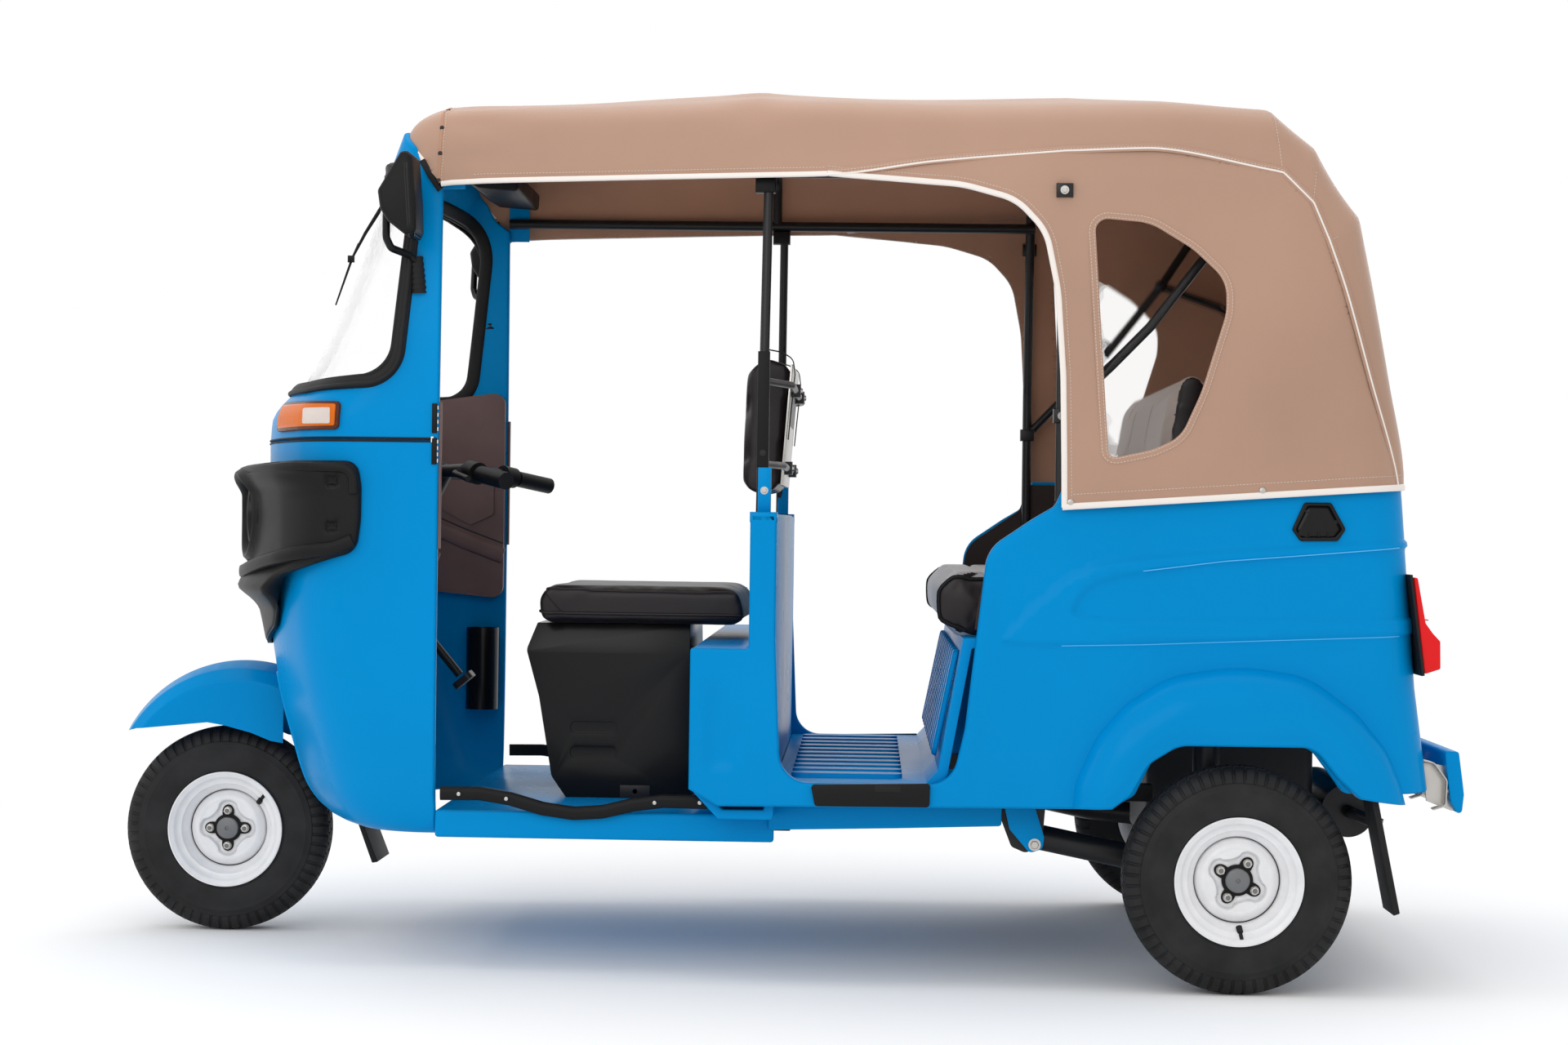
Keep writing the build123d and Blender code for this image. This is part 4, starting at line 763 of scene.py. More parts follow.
def softened(name, node, material, width=0.003, segments=3, angle=30):
    # a node's copy with rounded edges
    piece = nodeCopy(name, node, material)
    bm = bmesh.new()
    bm.from_mesh(piece.data)
    bmesh.ops.dissolve_limit(bm, angle_limit=math.radians(1.2), verts=bm.verts, edges=bm.edges)
    bm.to_mesh(piece.data)
    bm.free()
    mod = piece.modifiers.new("edge", "BEVEL")
    mod.width = width
    mod.segments = segments
    mod.limit_method = "ANGLE"
    mod.angle_limit = math.radians(angle)
    mod.harden_normals = False
    bakeMods(piece)
    piece.data.shade_smooth()
    piece.data.set_sharp_from_angle(angle=math.radians(40))
    return piece
# cab shell
cabValues = {
    "doorX": -0.608,
    "skin": 0.018,
    "apron": (  # height, nose x, half width, corner radius, nose radius
        (0.256, -0.85, 0.455, 0.15, 0.8),
        (0.262, -0.872, 0.467, 0.15, 0.8),
        (0.272, -0.892, 0.477, 0.15, 0.8),
        (0.292, -0.912, 0.487, 0.15, 0.8),
        (0.33, -0.936, 0.495, 0.15, 0.8),
        (0.4, -0.96, 0.501, 0.15, 0.8),
        (0.545, -0.998, 0.505, 0.15, 0.8),
        (0.7, -1.016, 0.505, 0.15, 0.8),
        (1.003, -1.018, 0.505, 0.15, 0.8),
    ),
    "screen": (
        (1.003, -1.018, 0.505, 0.15, 0.8),
        (1.048, -1.014, 0.505, 0.15, 0.8),
        (1.076, -0.997, 0.504, 0.15, 0.8),
        (1.108, -0.966, 0.503, 0.149, 0.81),
        (1.632, -0.723, 0.488, 0.05, 2.0),
    ),
    "underHood": ((-0.608, 1.5), (-0.64, 1.524), (-0.664, 1.56), (-0.69, 1.592), (-0.708, 1.606)),
    "mask": (
        (0.585, -1.04, 0.508, 0.15, 0.8),
        (0.64, -1.052, 0.513, 0.15, 0.8),
        (0.735, -1.07, 0.522, 0.15, 0.8),
        (0.965, -1.072, 0.522, 0.15, 0.8),
    ),
}

def monotone(keys, values, at):
    # smooth curve through the rows that never overshoots
    x, y = np.array(keys, float), np.array(values, float)
    at = np.clip(np.asarray(at, float), x[0], x[-1])
    h = np.diff(x)
    d = np.diff(y) / h
    m = np.empty(len(x))
    m[0], m[-1] = d[0], d[-1]
    for i in range(1, len(x) - 1):
        if d[i - 1] * d[i] <= 0:
            m[i] = 0
        else:
            w1, w2 = 2 * h[i] + h[i - 1], h[i] + 2 * h[i - 1]
            m[i] = (w1 + w2) / (w1 / d[i - 1] + w2 / d[i])
    i = np.clip(np.searchsorted(x, at, side="right") - 1, 0, len(x) - 2)
    t = (at - x[i]) / h[i]
    return ((1 + 2 * t) * (1 - t) ** 2 * y[i] + t * (1 - t) ** 2 * h[i] * m[i]
            + t * t * (3 - 2 * t) * y[i + 1] + t * t * (t - 1) * h[i] * m[i + 1])

def cabForm(rows, doorX):
    # place(flat (s, w), height): s runs from the door edge along the left side to the nose, w up the wall
    rows = np.array(rows, float)
    run = np.concatenate([[0], np.cumsum(np.hypot(np.diff(rows[:, 0]), np.diff(rows[:, 1])))])
    def section(w):
        z, frontX, half, corner, nose = [monotone(run, rows[:, k], w) for k in range(5)]
        turn = np.arccos((half - corner) / (nose - corner))
        sideX = frontX + corner * np.sin(turn) + nose * (1 - np.sin(turn))
        return z, frontX, half, corner, nose, turn, sideX
    def outline(w, s, height=0.0):
        z, frontX, half, corner, nose, turn, sideX = section(w)
        first = doorX - sideX
        second = corner * turn
        third = nose * (math.pi / 2 - turn)
        a = np.clip(s, 0, first)
        b = np.clip(s - first, 0, second)
        c = np.clip(s - first - second, 0, third)
        beta = b / corner
        gamma = turn + c / nose
        onNose = s > first + second
        onCorner = (s > first) & ~onNose
        ang = np.where(onNose, gamma, np.where(onCorner, beta, 0.0))
        x = np.where(onNose, frontX + nose * (1 - np.sin(ang)), np.where(onCorner, sideX - corner * np.sin(ang),
                doorX - a))
        y = np.where(onNose, nose * np.cos(ang), np.where(onCorner, half - corner * (1 - np.cos(ang)), half))
        nx, ny = -np.sin(ang), np.cos(ang)
        return x + nx * height, y + ny * height, z, first + second + third
    def place(flat, height):
        x, y, z, _ = outline(flat[:, 1], flat[:, 0], height)
        return np.stack([x, -np.maximum(y, 0), z], 1)
    def wAt(z):
        return np.array([bisect(lambda w: float(monotone(run, rows[:, 0], w)) - zz, 0, run[-1])
                         for zz in np.atleast_1d(z)])
    def length(w):
        return outline(np.atleast_1d(w), np.zeros(1))[3]
    def spot(s, w):
        return [float(c[0]) for c in outline(np.array([w]), np.array([s]))]
    def sAtX(x, w):
        return bisect(lambda s: x - spot(s, w)[0], 0, float(length(w)[0]))
    def sAtY(y, w):
        return bisect(lambda s: spot(s, w)[1] - y, 0, float(length(w)[0]), falling=True)
    return {"place": place, "spot": spot, "wAt": wAt, "length": length, "sAtX": sAtX, "sAtY": sAtY, "top": run[-1]}

def lengthAt(form, w):
    return float(form["length"](w)[0])

def wAtZ(form, z):
    return float(form["wAt"](z)[0])

def onForm(form, flat, height):
    flat = np.array(flat)
    return form["place"](flat, np.full(len(flat), height))

def bisect(f, lo, hi, falling=False):
    sign = -1 if falling else 1
    for _ in range(40):
        mid = (lo + hi) / 2
        if sign * f(mid) > 0:
            hi = mid
        else:
            lo = mid
    return (lo + hi) / 2

def sideToFlat(form, line):
    # side-view points (x, z) on the shell as flat (s, w)
    out = []
    for x, z in line:
        w = wAtZ(form, z)
        out.append((form["sAtX"](x, w), w))
    return out

def shellRim(form, line, low, high):
    # a side-view line on the shell as flat (s, w), closed off at the nose at its two ends
    out = []
    for x, z in spaced(line, 0.006, closed=False):
        w = wAtZ(form, min(max(z, low), high))
        if x > form["spot"](lengthAt(form, w), w)[0]:
            out.append((form["sAtX"](x, w), w))
    w0, w1 = out[0][1], out[-1][1]
    return [(lengthAt(form, w0), w0)] + out + [(lengthAt(form, w1), w1)]

apronForm = cabForm(cabValues["apron"], cabValues["doorX"])
screenForm = cabForm(cabValues["screen"], cabValues["doorX"])
maskForm = cabForm(cabValues["mask"], cabValues["doorX"])

steerValues = {"rake": math.radians(27), "head": (-0.7, 0.95), "well": 0.205, "wellTop": 0.545,
               "wellRound": 0.04}

def axisPoint(z):
    hx, hz = steerValues["head"]
    return Vector((hx - (hz - z) * math.tan(steerValues["rake"]), 0, z))

steerDir = Vector((math.sin(steerValues["rake"]), 0, math.cos(steerValues["rake"])))

def wellEdge(form):
    # the wheel arch's rim on the shell, from its top at the nose down to the bottom edge
    origin = axisPoint(0.1)
    def gap(s, w):
        p = Vector(form["spot"](s, w)[:3])
        d = (p - origin) - steerDir * (p - origin).dot(steerDir)
        return d.length - steerValues["well"]
    wTop = wAtZ(form, steerValues["wellTop"] - 0.006)
    line = [(lengthAt(form, wTop), wTop)]
    for w in np.linspace(wTop, 0.0, 46):
        line.append((bisect(lambda s: gap(s, w), 0, lengthAt(form, w), falling=True), w))
    # the arch's top runs level with a round corner
    return roundLine(line, [0, 0.05] + [0] * (len(line) - 2), closed=False, step=0.005)

archRim = wellEdge(apronForm)

def centreSkip(form):
    def skip(mids):
        total = form["length"](mids[:, 1])
        return mids[:, 0] > total - 0.0012
    return skip

def bothSides(name, half, weld=2e-4):
    # joins a left half with its mirror across the middle plane
    twin = mirrored(name + "Twin", half)
    whole = joined(name, [half, twin])
    bm = bmesh.new()
    bm.from_mesh(whole.data)
    middle = [v for v in bm.verts if abs(v.co.y) < weld]
    for v in middle:
        v.co.y = 0
    bmesh.ops.remove_doubles(bm, verts=middle, dist=weld)
    bm.to_mesh(whole.data)
    bm.free()
    whole.data.shade_smooth()
    return whole

def columnLine(form, w0, w1, parts=40):
    return [(lengthAt(form, w), float(w)) for w in np.linspace(w0, w1, parts)]

def makeApron():
    form = apronForm
    top = form["top"]
    seam = [(s, top) for s in np.linspace(0, lengthAt(form, top), 60)[1:-1]]
    centre = columnLine(form, top, archRim[0][1], 60)
    outline = [(0.0, 0.0), (0.0, top)] + seam + centre + archRim[1:]
    sheet = panelSheet("apronHalf", outline, form["place"], cabValues["skin"], "bodyPaint", edge=0.005,
                       backEdge=0.004, grid=0.018, step=0.008, openRim=centreSkip(form))
    return bothSides("cabApron", sheet)

sealValues = {  # edge rows are x, z and the way each corner moves when the line is drawn in
    "edge": ((-1.2, 1.099, 0, 1), (-0.88, 1.091, 0, 1), (-0.679, 1.104, 1, 1), (-0.637, 1.546, 1, -1),
             (-1.2, 1.546, 0, -1)),
    "round": (0, 0.1, 0.068, 0.1, 0),
    "heights": (1.003, 1.632),
}

def screenRim(inset):
    # the windscreen opening on the shell in flat (s, w), from the nose at the foot round to the nose at the top
    line = [(x - inset * dx, z + inset * dz) for x, z, dx, dz in sealValues["edge"]]
    line = roundLine(line, sealValues["round"], closed=False, step=0.006)
    return shellRim(screenForm, line, *sealValues["heights"])

def makeScreenFrame():
    form = screenForm
    rim = screenRim(0.012)
    top = wAtZ(form, 1.604)
    shoulder = sideToFlat(form, cabValues["underHood"])
    outline = [(0, 0), (0, shoulder[0][1])] + shoulder[1:] + [(s, top) for s in np.linspace(shoulder[-1][0] + 0.02,
            lengthAt(form, top), 50)]
    outline += columnLine(form, top, rim[-1][1], 8)[1:-1] + rim[::-1]
    outline += columnLine(form, rim[0][1], 0, 16)[1:]
    outline += [(s, 0) for s in np.linspace(lengthAt(form, 0), 0, 60)[1:-1]]
    sheet = panelSheet("frameHalf", outline, form["place"], cabValues["skin"], "bodyPaint", edge=0.005,
                       backEdge=0.004, grid=0.018, step=0.008, openRim=centreSkip(form))
    return bothSides("windscreenSurround", sheet)

def closedForm(name, form, inset, material):
    # the cab's form as one closed solid, for cutting
    ws = np.linspace(0, form["top"], 40)
    count = 80
    verts = []
    for w in ws:
        s = np.linspace(0, lengthAt(form, w), count)
        left = onForm(form, np.stack([s, np.full(count, w)], 1), -inset)
        right = left[::-1] * np.array([1, -1, 1])
        verts += list(left) + list(right[1:])
    m = 2 * count - 1
    return meshPiece(name, verts, gridFaces(len(ws), m) + endCaps(len(ws), m), material)

def makeWheelhouse():
    values = steerValues
    r, skin, rounding = values["well"], cabValues["skin"], values["wellRound"]
    high = (values["wellTop"] - 0.1) / math.cos(values["rake"])
    turns = [(rounding * math.cos(a), rounding * math.sin(a)) for a in np.linspace(0, math.pi / 2, 8)]
    arc = [(r - rounding + x, high - rounding + z) for x, z in turns]
    outer = [(r + skin - rounding + x, high + skin - rounding + z) for x, z in turns]
    profile = [(r, 0.0)] + arc + [(0.031, high)] + [(0.031, high + skin)] + outer[::-1] + [(r + skin, 0.0)]
    # painted shade: the wheel house uses the darkened copy of the body blue
    house = lathe("wheelhouse", profile, "shadedInnerPaint", axis="z", sides=72, closed=True)
    standOn(house, axisPoint(0.1), steerDir)
    return keptInside(house, closedForm("cabSolid", apronForm, 0.004, "shadedInnerPaint"))

def archBead():
    # rolled lip round the wheel arch
    left = onForm(apronForm, spaced(archRim, 0.008, closed=False), -0.003)
    line = list(left * np.array([1, -1, 1]))[::-1] + list(left[1:])
    return tube("archLip", line, 0.0065, "bodyPaint", sides=10)

settle(makeApron(), "root", "body_paint", "front_apron")
settle(makeWheelhouse(), "root", "body_paint")
settle(archBead(), "root", "body_paint")
settle(makeScreenFrame(), "root", "body_paint", "windscreen_frame")
print("stage: cab shell")
# passenger tub
tubValues = {
    "half": 0.6,
    "wall": 0.025,
    "corner": 0.09,
    "rearX": ((0.372, 1.25), (0.564, 1.224), (0.955, 1.193)),
    "side": (  # x, z and corner radius, from the front of the box round clockwise
        (-0.121, 0.361, 0.006), (-0.067, 0.33, 0.012), (0.655, 0.336, 0.012), (0.7, 0.362, 0.018),
        (0.748, 0.459, 0.045), (1.018, 0.459, 0.055), (1.082, 0.372, 0.018)),
    "doorway": (
        (0.575, 0.955, 0.004), (0.548, 0.893, 0.02), (0.508, 0.869, 0.04), (0.425, 0.812, 0.07),
        (0.388, 0.48, 0.09),
        (0.364, 0.376, 0.055), (0.048, 0.376, 0.055), (0.036, 0.64, 0.06), (0.036, 0.872, 0.006),
        (-0.013, 0.872, 0.006),
        (-0.013, 0.622, 0.004), (-0.121, 0.622, 0.006)),
    "upperCrease": ((0.577, 0.7), (0.592, 0.728), (0.618, 0.752), (0.672, 0.77), (0.857, 0.795), (1.02, 0.809),
                    (1.174, 0.823), (1.3, 0.832)),
    "upperFoot": ((0.577, 0.7), (0.59, 0.688), (0.66, 0.681), (0.85, 0.683), (1.198, 0.69), (1.3, 0.692)),
    "lowerCrease": ((0.43, 0.655), (0.448, 0.641), (0.502, 0.634), (0.711, 0.64), (0.95, 0.651), (1.199, 0.662),
                    (1.4, 0.668)),
    "outerCrease": ((0.448, 0.641), (0.5, 0.7), (0.56, 0.752), (0.619, 0.787), (0.7, 0.8), (0.857, 0.814),
                    (1.174, 0.836), (1.3, 0.843)),
    "boxRecess": ((-0.096, 0.395), (-0.096, 0.56), (-0.06, 0.56), (-0.02, 0.47), (-0.03, 0.395)),
    "step": 0.005,
    "crease": 0.0055,
    "doorHalf": 0.336,
    "doorFoot": 0.464,
    "doorHead": 0.806,
}

def tubRearX(z):
    rows = np.array(tubValues["rearX"])
    return np.interp(z, rows[:, 0], rows[:, 1])

def tubPlace(flat, height):
    # side wall along x, then round the rear corner, then across the rear to the middle
    u, z = flat[:, 0], flat[:, 1]
    corner, half = tubValues["corner"], tubValues["half"]
    start = tubRearX(z) - corner
    arc = np.clip((u - start) / corner, 0, math.pi / 2)
    across = np.maximum(u - start - corner * math.pi / 2, 0)
    x = np.where(u < start, u, start + corner * np.sin(arc))
    y = np.where(u < start, half, half - corner * (1 - np.cos(arc))) - across
    y = np.maximum(y, 0)
    nx, ny = np.sin(arc), np.cos(arc)
    return np.stack([x + nx * height, -(y + ny * height * (y > 1e-9)), z], 1)

def tubEnd(z):
    corner = tubValues["corner"]
    return tubRearX(z) - corner + corner * math.pi / 2 + tubValues["half"] - corner

def tubAt(y, z):
    return float(tubEnd(z)) - y

def tubPanels():
    # the two pressed panels of the side: the outer one raised, the inner one sunk into it
    v = tubValues
    rings = []
    for high, low in (("outerCrease", "lowerCrease"), ("upperCrease", "upperFoot")):
        upper = roundLine(v[high], 0.05, closed=False, step=0.01)
        lower = roundLine(v[low], 0.03, closed=False, step=0.01)
        rings.append(upper + lower[::-1][:-1])
    return rings

def tubRelief(flat):
    v = tubValues
    outer, inner = tubPanels()
    def into(line, reach):
        d = toLine(flat, line, closed=True)
        return np.where(insideLine(flat, line), np.clip(d / reach, 0, 1), 0)
    height = v["step"] * into(outer, v["crease"]) - v["step"] * 1.1 * into(inner, v["crease"])
    box = np.array(v["boxRecess"])
    d = toLine(flat, box, closed=True)
    height -= np.where(insideLine(flat, box), 0.006 * smoothStep(d / 0.018), 0)
    edgeLine = [(p[0], p[1]) for p in v["doorway"][1:6]]
    d = toLine(flat, edgeLine)
    height += 0.0022 * np.exp(-((d - 0.02) / 0.006) ** 2)
    return height

def tubOutline():
    v = tubValues
    low = roundLine([(p[0], p[1]) for p in v["side"]] + [(1.25, 0.372)], [p[2] for p in v["side"]] + [0],
                    closed=False, step=0.006)
    low[0] = (v["side"][0][0], v["side"][0][1])
    end = float(tubEnd(0.372))
    low = low[:-1] + [(end, 0.372)]
    notch = [(float(tubEnd(z)), z) for z in np.linspace(0.372, v["doorFoot"], 8)[1:]]
    ring = roundLine([(tubAt(0, v["doorFoot"]), v["doorFoot"]), (tubAt(v["doorHalf"], v["doorFoot"]),
            v["doorFoot"]),
                      (tubAt(v["doorHalf"], v["doorHead"]), v["doorHead"]),
                      (tubAt(0, v["doorHead"]), v["doorHead"])],
                     [0, 0.03, 0.03, 0], closed=False)
    up = [(float(tubEnd(z)), z) for z in np.linspace(v["doorHead"], 0.955, 8)[1:]]
    front = roundLine([up[-1]] + [(p[0], p[1]) for p in v["doorway"]] + [v["side"][0][:2]], [0]
                      + [p[2] for p in v["doorway"]] + [0], closed=False, step=0.006)
    return low + notch[:-1] + ring + up[:-1] + front[:-1]

def makeTub():
    v = tubValues
    skip = lambda mids: mids[:, 0] > tubEnd(mids[:, 1]) - 0.0012
    guides = []
    for ring in tubPanels():
        guides += [ring, insetLine(ring, v["crease"], closed=True)]
    half = panelSheet("tubHalf", tubOutline(), tubPlace, v["wall"], "bodyPaint", relief=tubRelief, edge=0.005,
                      backEdge=0.004, grid=0.012, step=0.006, guides=guides, openRim=skip)
    return bothSides("tubShell", half)

flareValues = {
    "outer": ((0.586, 0.337, 0.0), (0.59, 0.385, 0.1), (0.628, 0.47, 0.12), (0.68, 0.53, 0.12),
              (0.76, 0.583, 0.16), (0.89, 0.604, 0.35),
              (1.015, 0.586, 0.16), (1.104, 0.52, 0.12), (1.16, 0.452, 0.12), (1.186, 0.392, 0.1),
              (1.197, 0.352, 0.0)),
    "inner": ((1.105, 0.366, 0.02), (1.064, 0.404, 0.04), (1.022, 0.458, 0.05), (0.776, 0.458, 0.06),
              (0.722, 0.424, 0.05), (0.69, 0.366, 0.03),
              (0.656, 0.34, 0.0)),
    "reach": 0.048,
    "width": 0.085,
}

def makeFlare():
    v = flareValues
    outer = rounded(v["outer"], 0.006)
    inner = rounded(v["inner"], 0.006)
    outline = outer + inner
    def relief(flat):
        d = toLine(flat, outer)
        t = np.clip(d / v["width"], 0, 1)
        rise = v["reach"] * (1 - (1 - t) ** 2.6)
        lip = toLine(flat, inner)
        rise -= 0.006 * smoothStep(1 - lip / 0.03)
        rise += 0.0035 * np.exp(-((d - 0.014) / 0.008) ** 2)
        return rise + 0.001
    def place(flat, height):
        x = flat[:, 0]
        corner = np.maximum(x - (tubRearX(flat[:, 1]) - tubValues["corner"]), 0)
        tuck = corner ** 2 / (2 * tubValues["corner"])
        return np.stack([x, -(tubValues["half"] - tuck + height), flat[:, 1]], 1)
    left = panelSheet("flareLeft", outline, place, 0.012, "bodyPaint", relief=relief, edge=0.006, backEdge=0.002,
                      grid=0.01, step=0.006)
    return joined("wheelFlares", [left, mirrored("flareRight", left)])

settle(makeTub(), "root", "body_paint", "left_side", "right_side", "rear_panel")
settle(makeFlare(), "root", "body_paint", "wheel_flares")

def makePlainMetal():
    for name, node, width in (("partitionBox", "partition", 0.004), ("floorPan", "floor_pan", 0.006),
                              ("passengerFloor", "passenger_floor", 0.003),
                              ("engineLid", "engine_door", 0.003), ("fender", "front_fender", 0.0012)):
        piece = softened(name, node, "bodyPaint", width)
        body = {"engineLid": "engine_lid", "fender": "steering"}.get(name, "root")
        settle(piece, body, "body_paint", node)

makePlainMetal()
print("stage: tub")
# hood cloth
hoodValues = {
    "stations": (  # crest x, z; side edge x, z; corner inset, corner drop, corner radius; True at a bow
        (-0.732, 1.624, -0.606, 1.484, 0.045, 0.07, 0.045, True),
        (-0.718, 1.65, -0.585, 1.486, 0.041, 0.071, 0.045, False),
        (-0.694, 1.671, -0.56, 1.487, 0.037, 0.071, 0.05, False),
        (-0.628, 1.688, -0.52, 1.489, 0.03, 0.068, 0.05, False),
        (-0.3, 1.706, -0.3, 1.496, 0.029, 0.07, 0.05, False),
        (-0.007, 1.72, -0.007, 1.504, 0.028, 0.072, 0.05, True),
        (0.12, 1.719, 0.12, 1.507, 0.028, 0.073, 0.05, False),
        (0.321, 1.717, 0.321, 1.533, 0.027, 0.075, 0.05, False),
        (0.584, 1.712, 0.564, 1.553, 0.024, 0.07, 0.05, True),
        (0.736, 1.709, 0.711, 1.556, 0.02, 0.066, 0.05, False),
        (0.929, 1.684, 0.957, 1.51, 0.02, 0.06, 0.055, True),
        (1.024, 1.598, 1.012, 1.455, 0.02, 0.04, 0.055, True),
        (1.112, 1.436, 1.042, 1.385, 0.02, 0.004, 0.06, True),
        (1.139, 1.309, 1.072, 1.3, 0.02, 0.001, 0.07, False),
        (1.172, 1.12, 1.122, 1.128, 0.026, 0.0, 0.06, False),
        (1.197, 0.96, 1.172, 0.96, 0.028, 0.0, 0.045, False),
        (1.198, 0.931, 1.178, 0.93, 0.028, 0.0, 0.045, True),
    ),
    "halfAt": ((-0.737, 0.5), (-0.628, 0.514), (-0.007, 0.52), (0.584, 0.56), (0.739, 0.585), (0.938, 0.6),
               (1.23, 0.612)),
    "lowHalf": 0.614,
    "rearAt": ((0.884, 1.198), (0.96, 1.197), (1.12, 1.172), (1.309, 1.139), (1.436, 1.112), (1.598, 1.024)),
    "corner": 0.095,
    "width": 0.7,
    "cloth": 0.002,
    "opening": ((0.12, 1.5065, 0), (0.371, 1.486, 0.25), (0.47, 1.458, 0.1), (0.524, 1.4, 0.1),
                (0.546, 1.29, 0.3), (0.556, 1.134, 0.5), (0.56, 0.89, 0.012)),
    "hem": ((0.56, 0.886), (0.858, 0.907), (1.184, 0.93)),
    "window": ((0.643, 0.988, 0.016), (0.616, 1.427, 0.022), (0.716, 1.417, 0.1), (0.795, 1.368, 0.16),
               (0.856, 1.31, 0.07), (0.856, 1.25, 0.1),
               (0.812, 1.105, 0.3), (0.775, 1.022, 0.07), (0.724, 0.998, 0.1), (0.655, 0.983, 0.02)),
    "backWindow": (0.3, 1.045, 1.335),
    "sag": 0.007,
    "browRun": 0.1,      # how far back the front bow's rounder crown reaches
    "crown": (0.42, 0.3),   # how flat the crown is, and how much rounder over the front bow
    "shares": (0.66, 0.16, 0.82, 0.18),   # of the half width: crown's end, corner's span and end, side's span
    "browSeam": -0.613,
    "darts": ((10, 0.2), (11, 0.14), (12, 0.1)),   # the bow's row, and how far up a dart runs
    "browStuds": (1.492, 1.548, 1.598, 1.64),
}

def hoodRuns():
    rows = np.array([r[:7] for r in hoodValues["stations"]], float)
    run = np.concatenate([[0], np.cumsum(np.hypot(np.diff(rows[:, 0]), np.diff(rows[:, 1])))])
    kinks = [i for i, r in enumerate(hoodValues["stations"]) if r[7]]
    return rows, run, kinks

hoodRows, hoodRun, hoodKinks = hoodRuns()

def hoodSideY(x, z):
    v = hoodValues
    half = np.interp(x, [p[0] for p in v["halfAt"]], [p[1] for p in v["halfAt"]])
    low = np.where(x > 0.3, v["lowHalf"], np.maximum(half, 0.52))
    y = half + (low - half) * np.clip((1.504 - z) / 0.524, 0, 1) - 0.22 * np.maximum(z - 1.504, 0)
    rear = np.interp(z, [p[0] for p in v["rearAt"]], [p[1] for p in v["rearAt"]])
    over = np.clip(x - (rear - v["corner"]), 0, v["corner"] * 0.999)
    return y - (v["corner"] - np.sqrt(v["corner"] ** 2 - over ** 2))

def hoodParams(a):
    out = np.empty((7, len(a)))
    a = np.clip(a, hoodRun[0], hoodRun[-1])
    for i0, i1 in zip(hoodKinks[:-1], hoodKinks[1:]):
        pick = (a >= hoodRun[i0]) & (a <= hoodRun[i1])
        if pick.any():
            for k in range(7):
                out[k, pick] = monotone(hoodRun[i0:i1 + 1], hoodRows[i0:i1 + 1, k], a[pick])
    return out

def roofBase(flat):
    a, b = flat[:, 0], flat[:, 1]
    cx, cz, sx, sz, inset, drop, radius = hoodParams(a)
    crownEnd, cornerSpan, cornerEnd, sideSpan = hoodValues["shares"]
    tau = np.clip(np.abs(b) / hoodValues["width"], 0, 1)
    side = hoodSideY(sx, sz)
    dx, dz = sx - cx, sz - cz
    length = np.hypot(dx, dz)
    ux, uz = dx / length, dz / length
    by, bd = side - inset, np.minimum(drop, length * 0.6)
    plain, rounder = hoodValues["crown"]
    c0 = (plain - rounder * np.exp(-(a / hoodValues["browRun"]) ** 2)) * side
    e1 = np.hypot(by - c0, bd)
    r1 = np.minimum(radius, e1 * 0.45)
    p1y, p1d = by + (c0 - by) * r1 / e1, bd + (0 - bd) * r1 / e1
    e2 = np.hypot(inset, length - bd)
    r2 = np.minimum(radius, e2 * 0.7)
    p2y, p2d = by + inset * r2 / e2, bd + (length - bd) * r2 / e2
    t1 = np.clip(tau / crownEnd, 0, 1)
    y1, d1 = 2 * t1 * (1 - t1) * c0 + t1 * t1 * p1y, t1 * t1 * p1d
    t2 = np.clip((tau - crownEnd) / cornerSpan, 0, 1)
    y2 = (1 - t2) ** 2 * p1y + 2 * t2 * (1 - t2) * by + t2 * t2 * p2y
    d2 = (1 - t2) ** 2 * p1d + 2 * t2 * (1 - t2) * bd + t2 * t2 * p2d
    t3 = np.clip((tau - cornerEnd) / sideSpan, 0, 1)
    y3, d3 = p2y + (side - p2y) * t3, p2d + (length - p2d) * t3
    y = np.where(tau < crownEnd, y1, np.where(tau < cornerEnd, y2, y3))
    d = np.where(tau < crownEnd, d1, np.where(tau < cornerEnd, d2, d3))
    sign = np.where(b < 0, -1.0, 1.0)
    return np.stack([cx + ux * d, sign * y, cz + uz * d], 1)

def surfaceNormals(base, flat, eps=0.003):
    e0, e1 = np.array([eps, 0]), np.array([0, eps])
    du = base(flat + e0) - base(flat - e0)
    dv = base(flat + e1) - base(flat - e1)
    n = np.cross(du, dv)
    return n / np.maximum(np.linalg.norm(n, axis=1), 1e-12)[:, None]

def roofPlace(flat, height):
    return roofBase(flat) + surfaceNormals(roofBase, flat) * np.asarray(height)[:, None]

def roofWaves(flat):
    a, b = flat[:, 0], flat[:, 1]
    sag = np.zeros(len(a))
    for i0, i1 in zip(hoodKinks[:-1], hoodKinks[1:]):
        span = hoodRun[i1] - hoodRun[i0]
        t = (a - hoodRun[i0]) / span
        sag = np.where((t >= 0) & (t <= 1), np.sin(np.pi * t) * min(1, span / 0.5), sag)
    tau = np.abs(b) / hoodValues["width"]
    height = -hoodValues["sag"] * sag * np.clip(1.25 - tau * 1.1, 0, 1) * (tau < 0.95)
    height += 0.0018 * np.sin(a * 9.1 + 3 * b) * np.sin(b * 11 + 1.3) * smoothStep((0.96 - tau) / 0.2)
    folds = np.exp(-((a - 0.16) / 0.1) ** 2) * np.sin(tau * 46) * smoothStep((tau
            - 0.45) / 0.2) * smoothStep((0.97 - tau) / 0.05)
    height += 0.0026 * folds
    bow = hoodRun[5]
    height += 0.003 * np.exp(-((a - bow + 0.02) / 0.05) ** 2) * np.sin(tau * 30
            + 0.7) * smoothStep((tau - 0.3) / 0.2) * smoothStep((0.95 - tau) / 0.1)
    return height

def hoodSideBase(flat):
    return np.stack([flat[:, 0], -hoodSideY(flat[:, 0], flat[:, 1]), flat[:, 1]], 1)

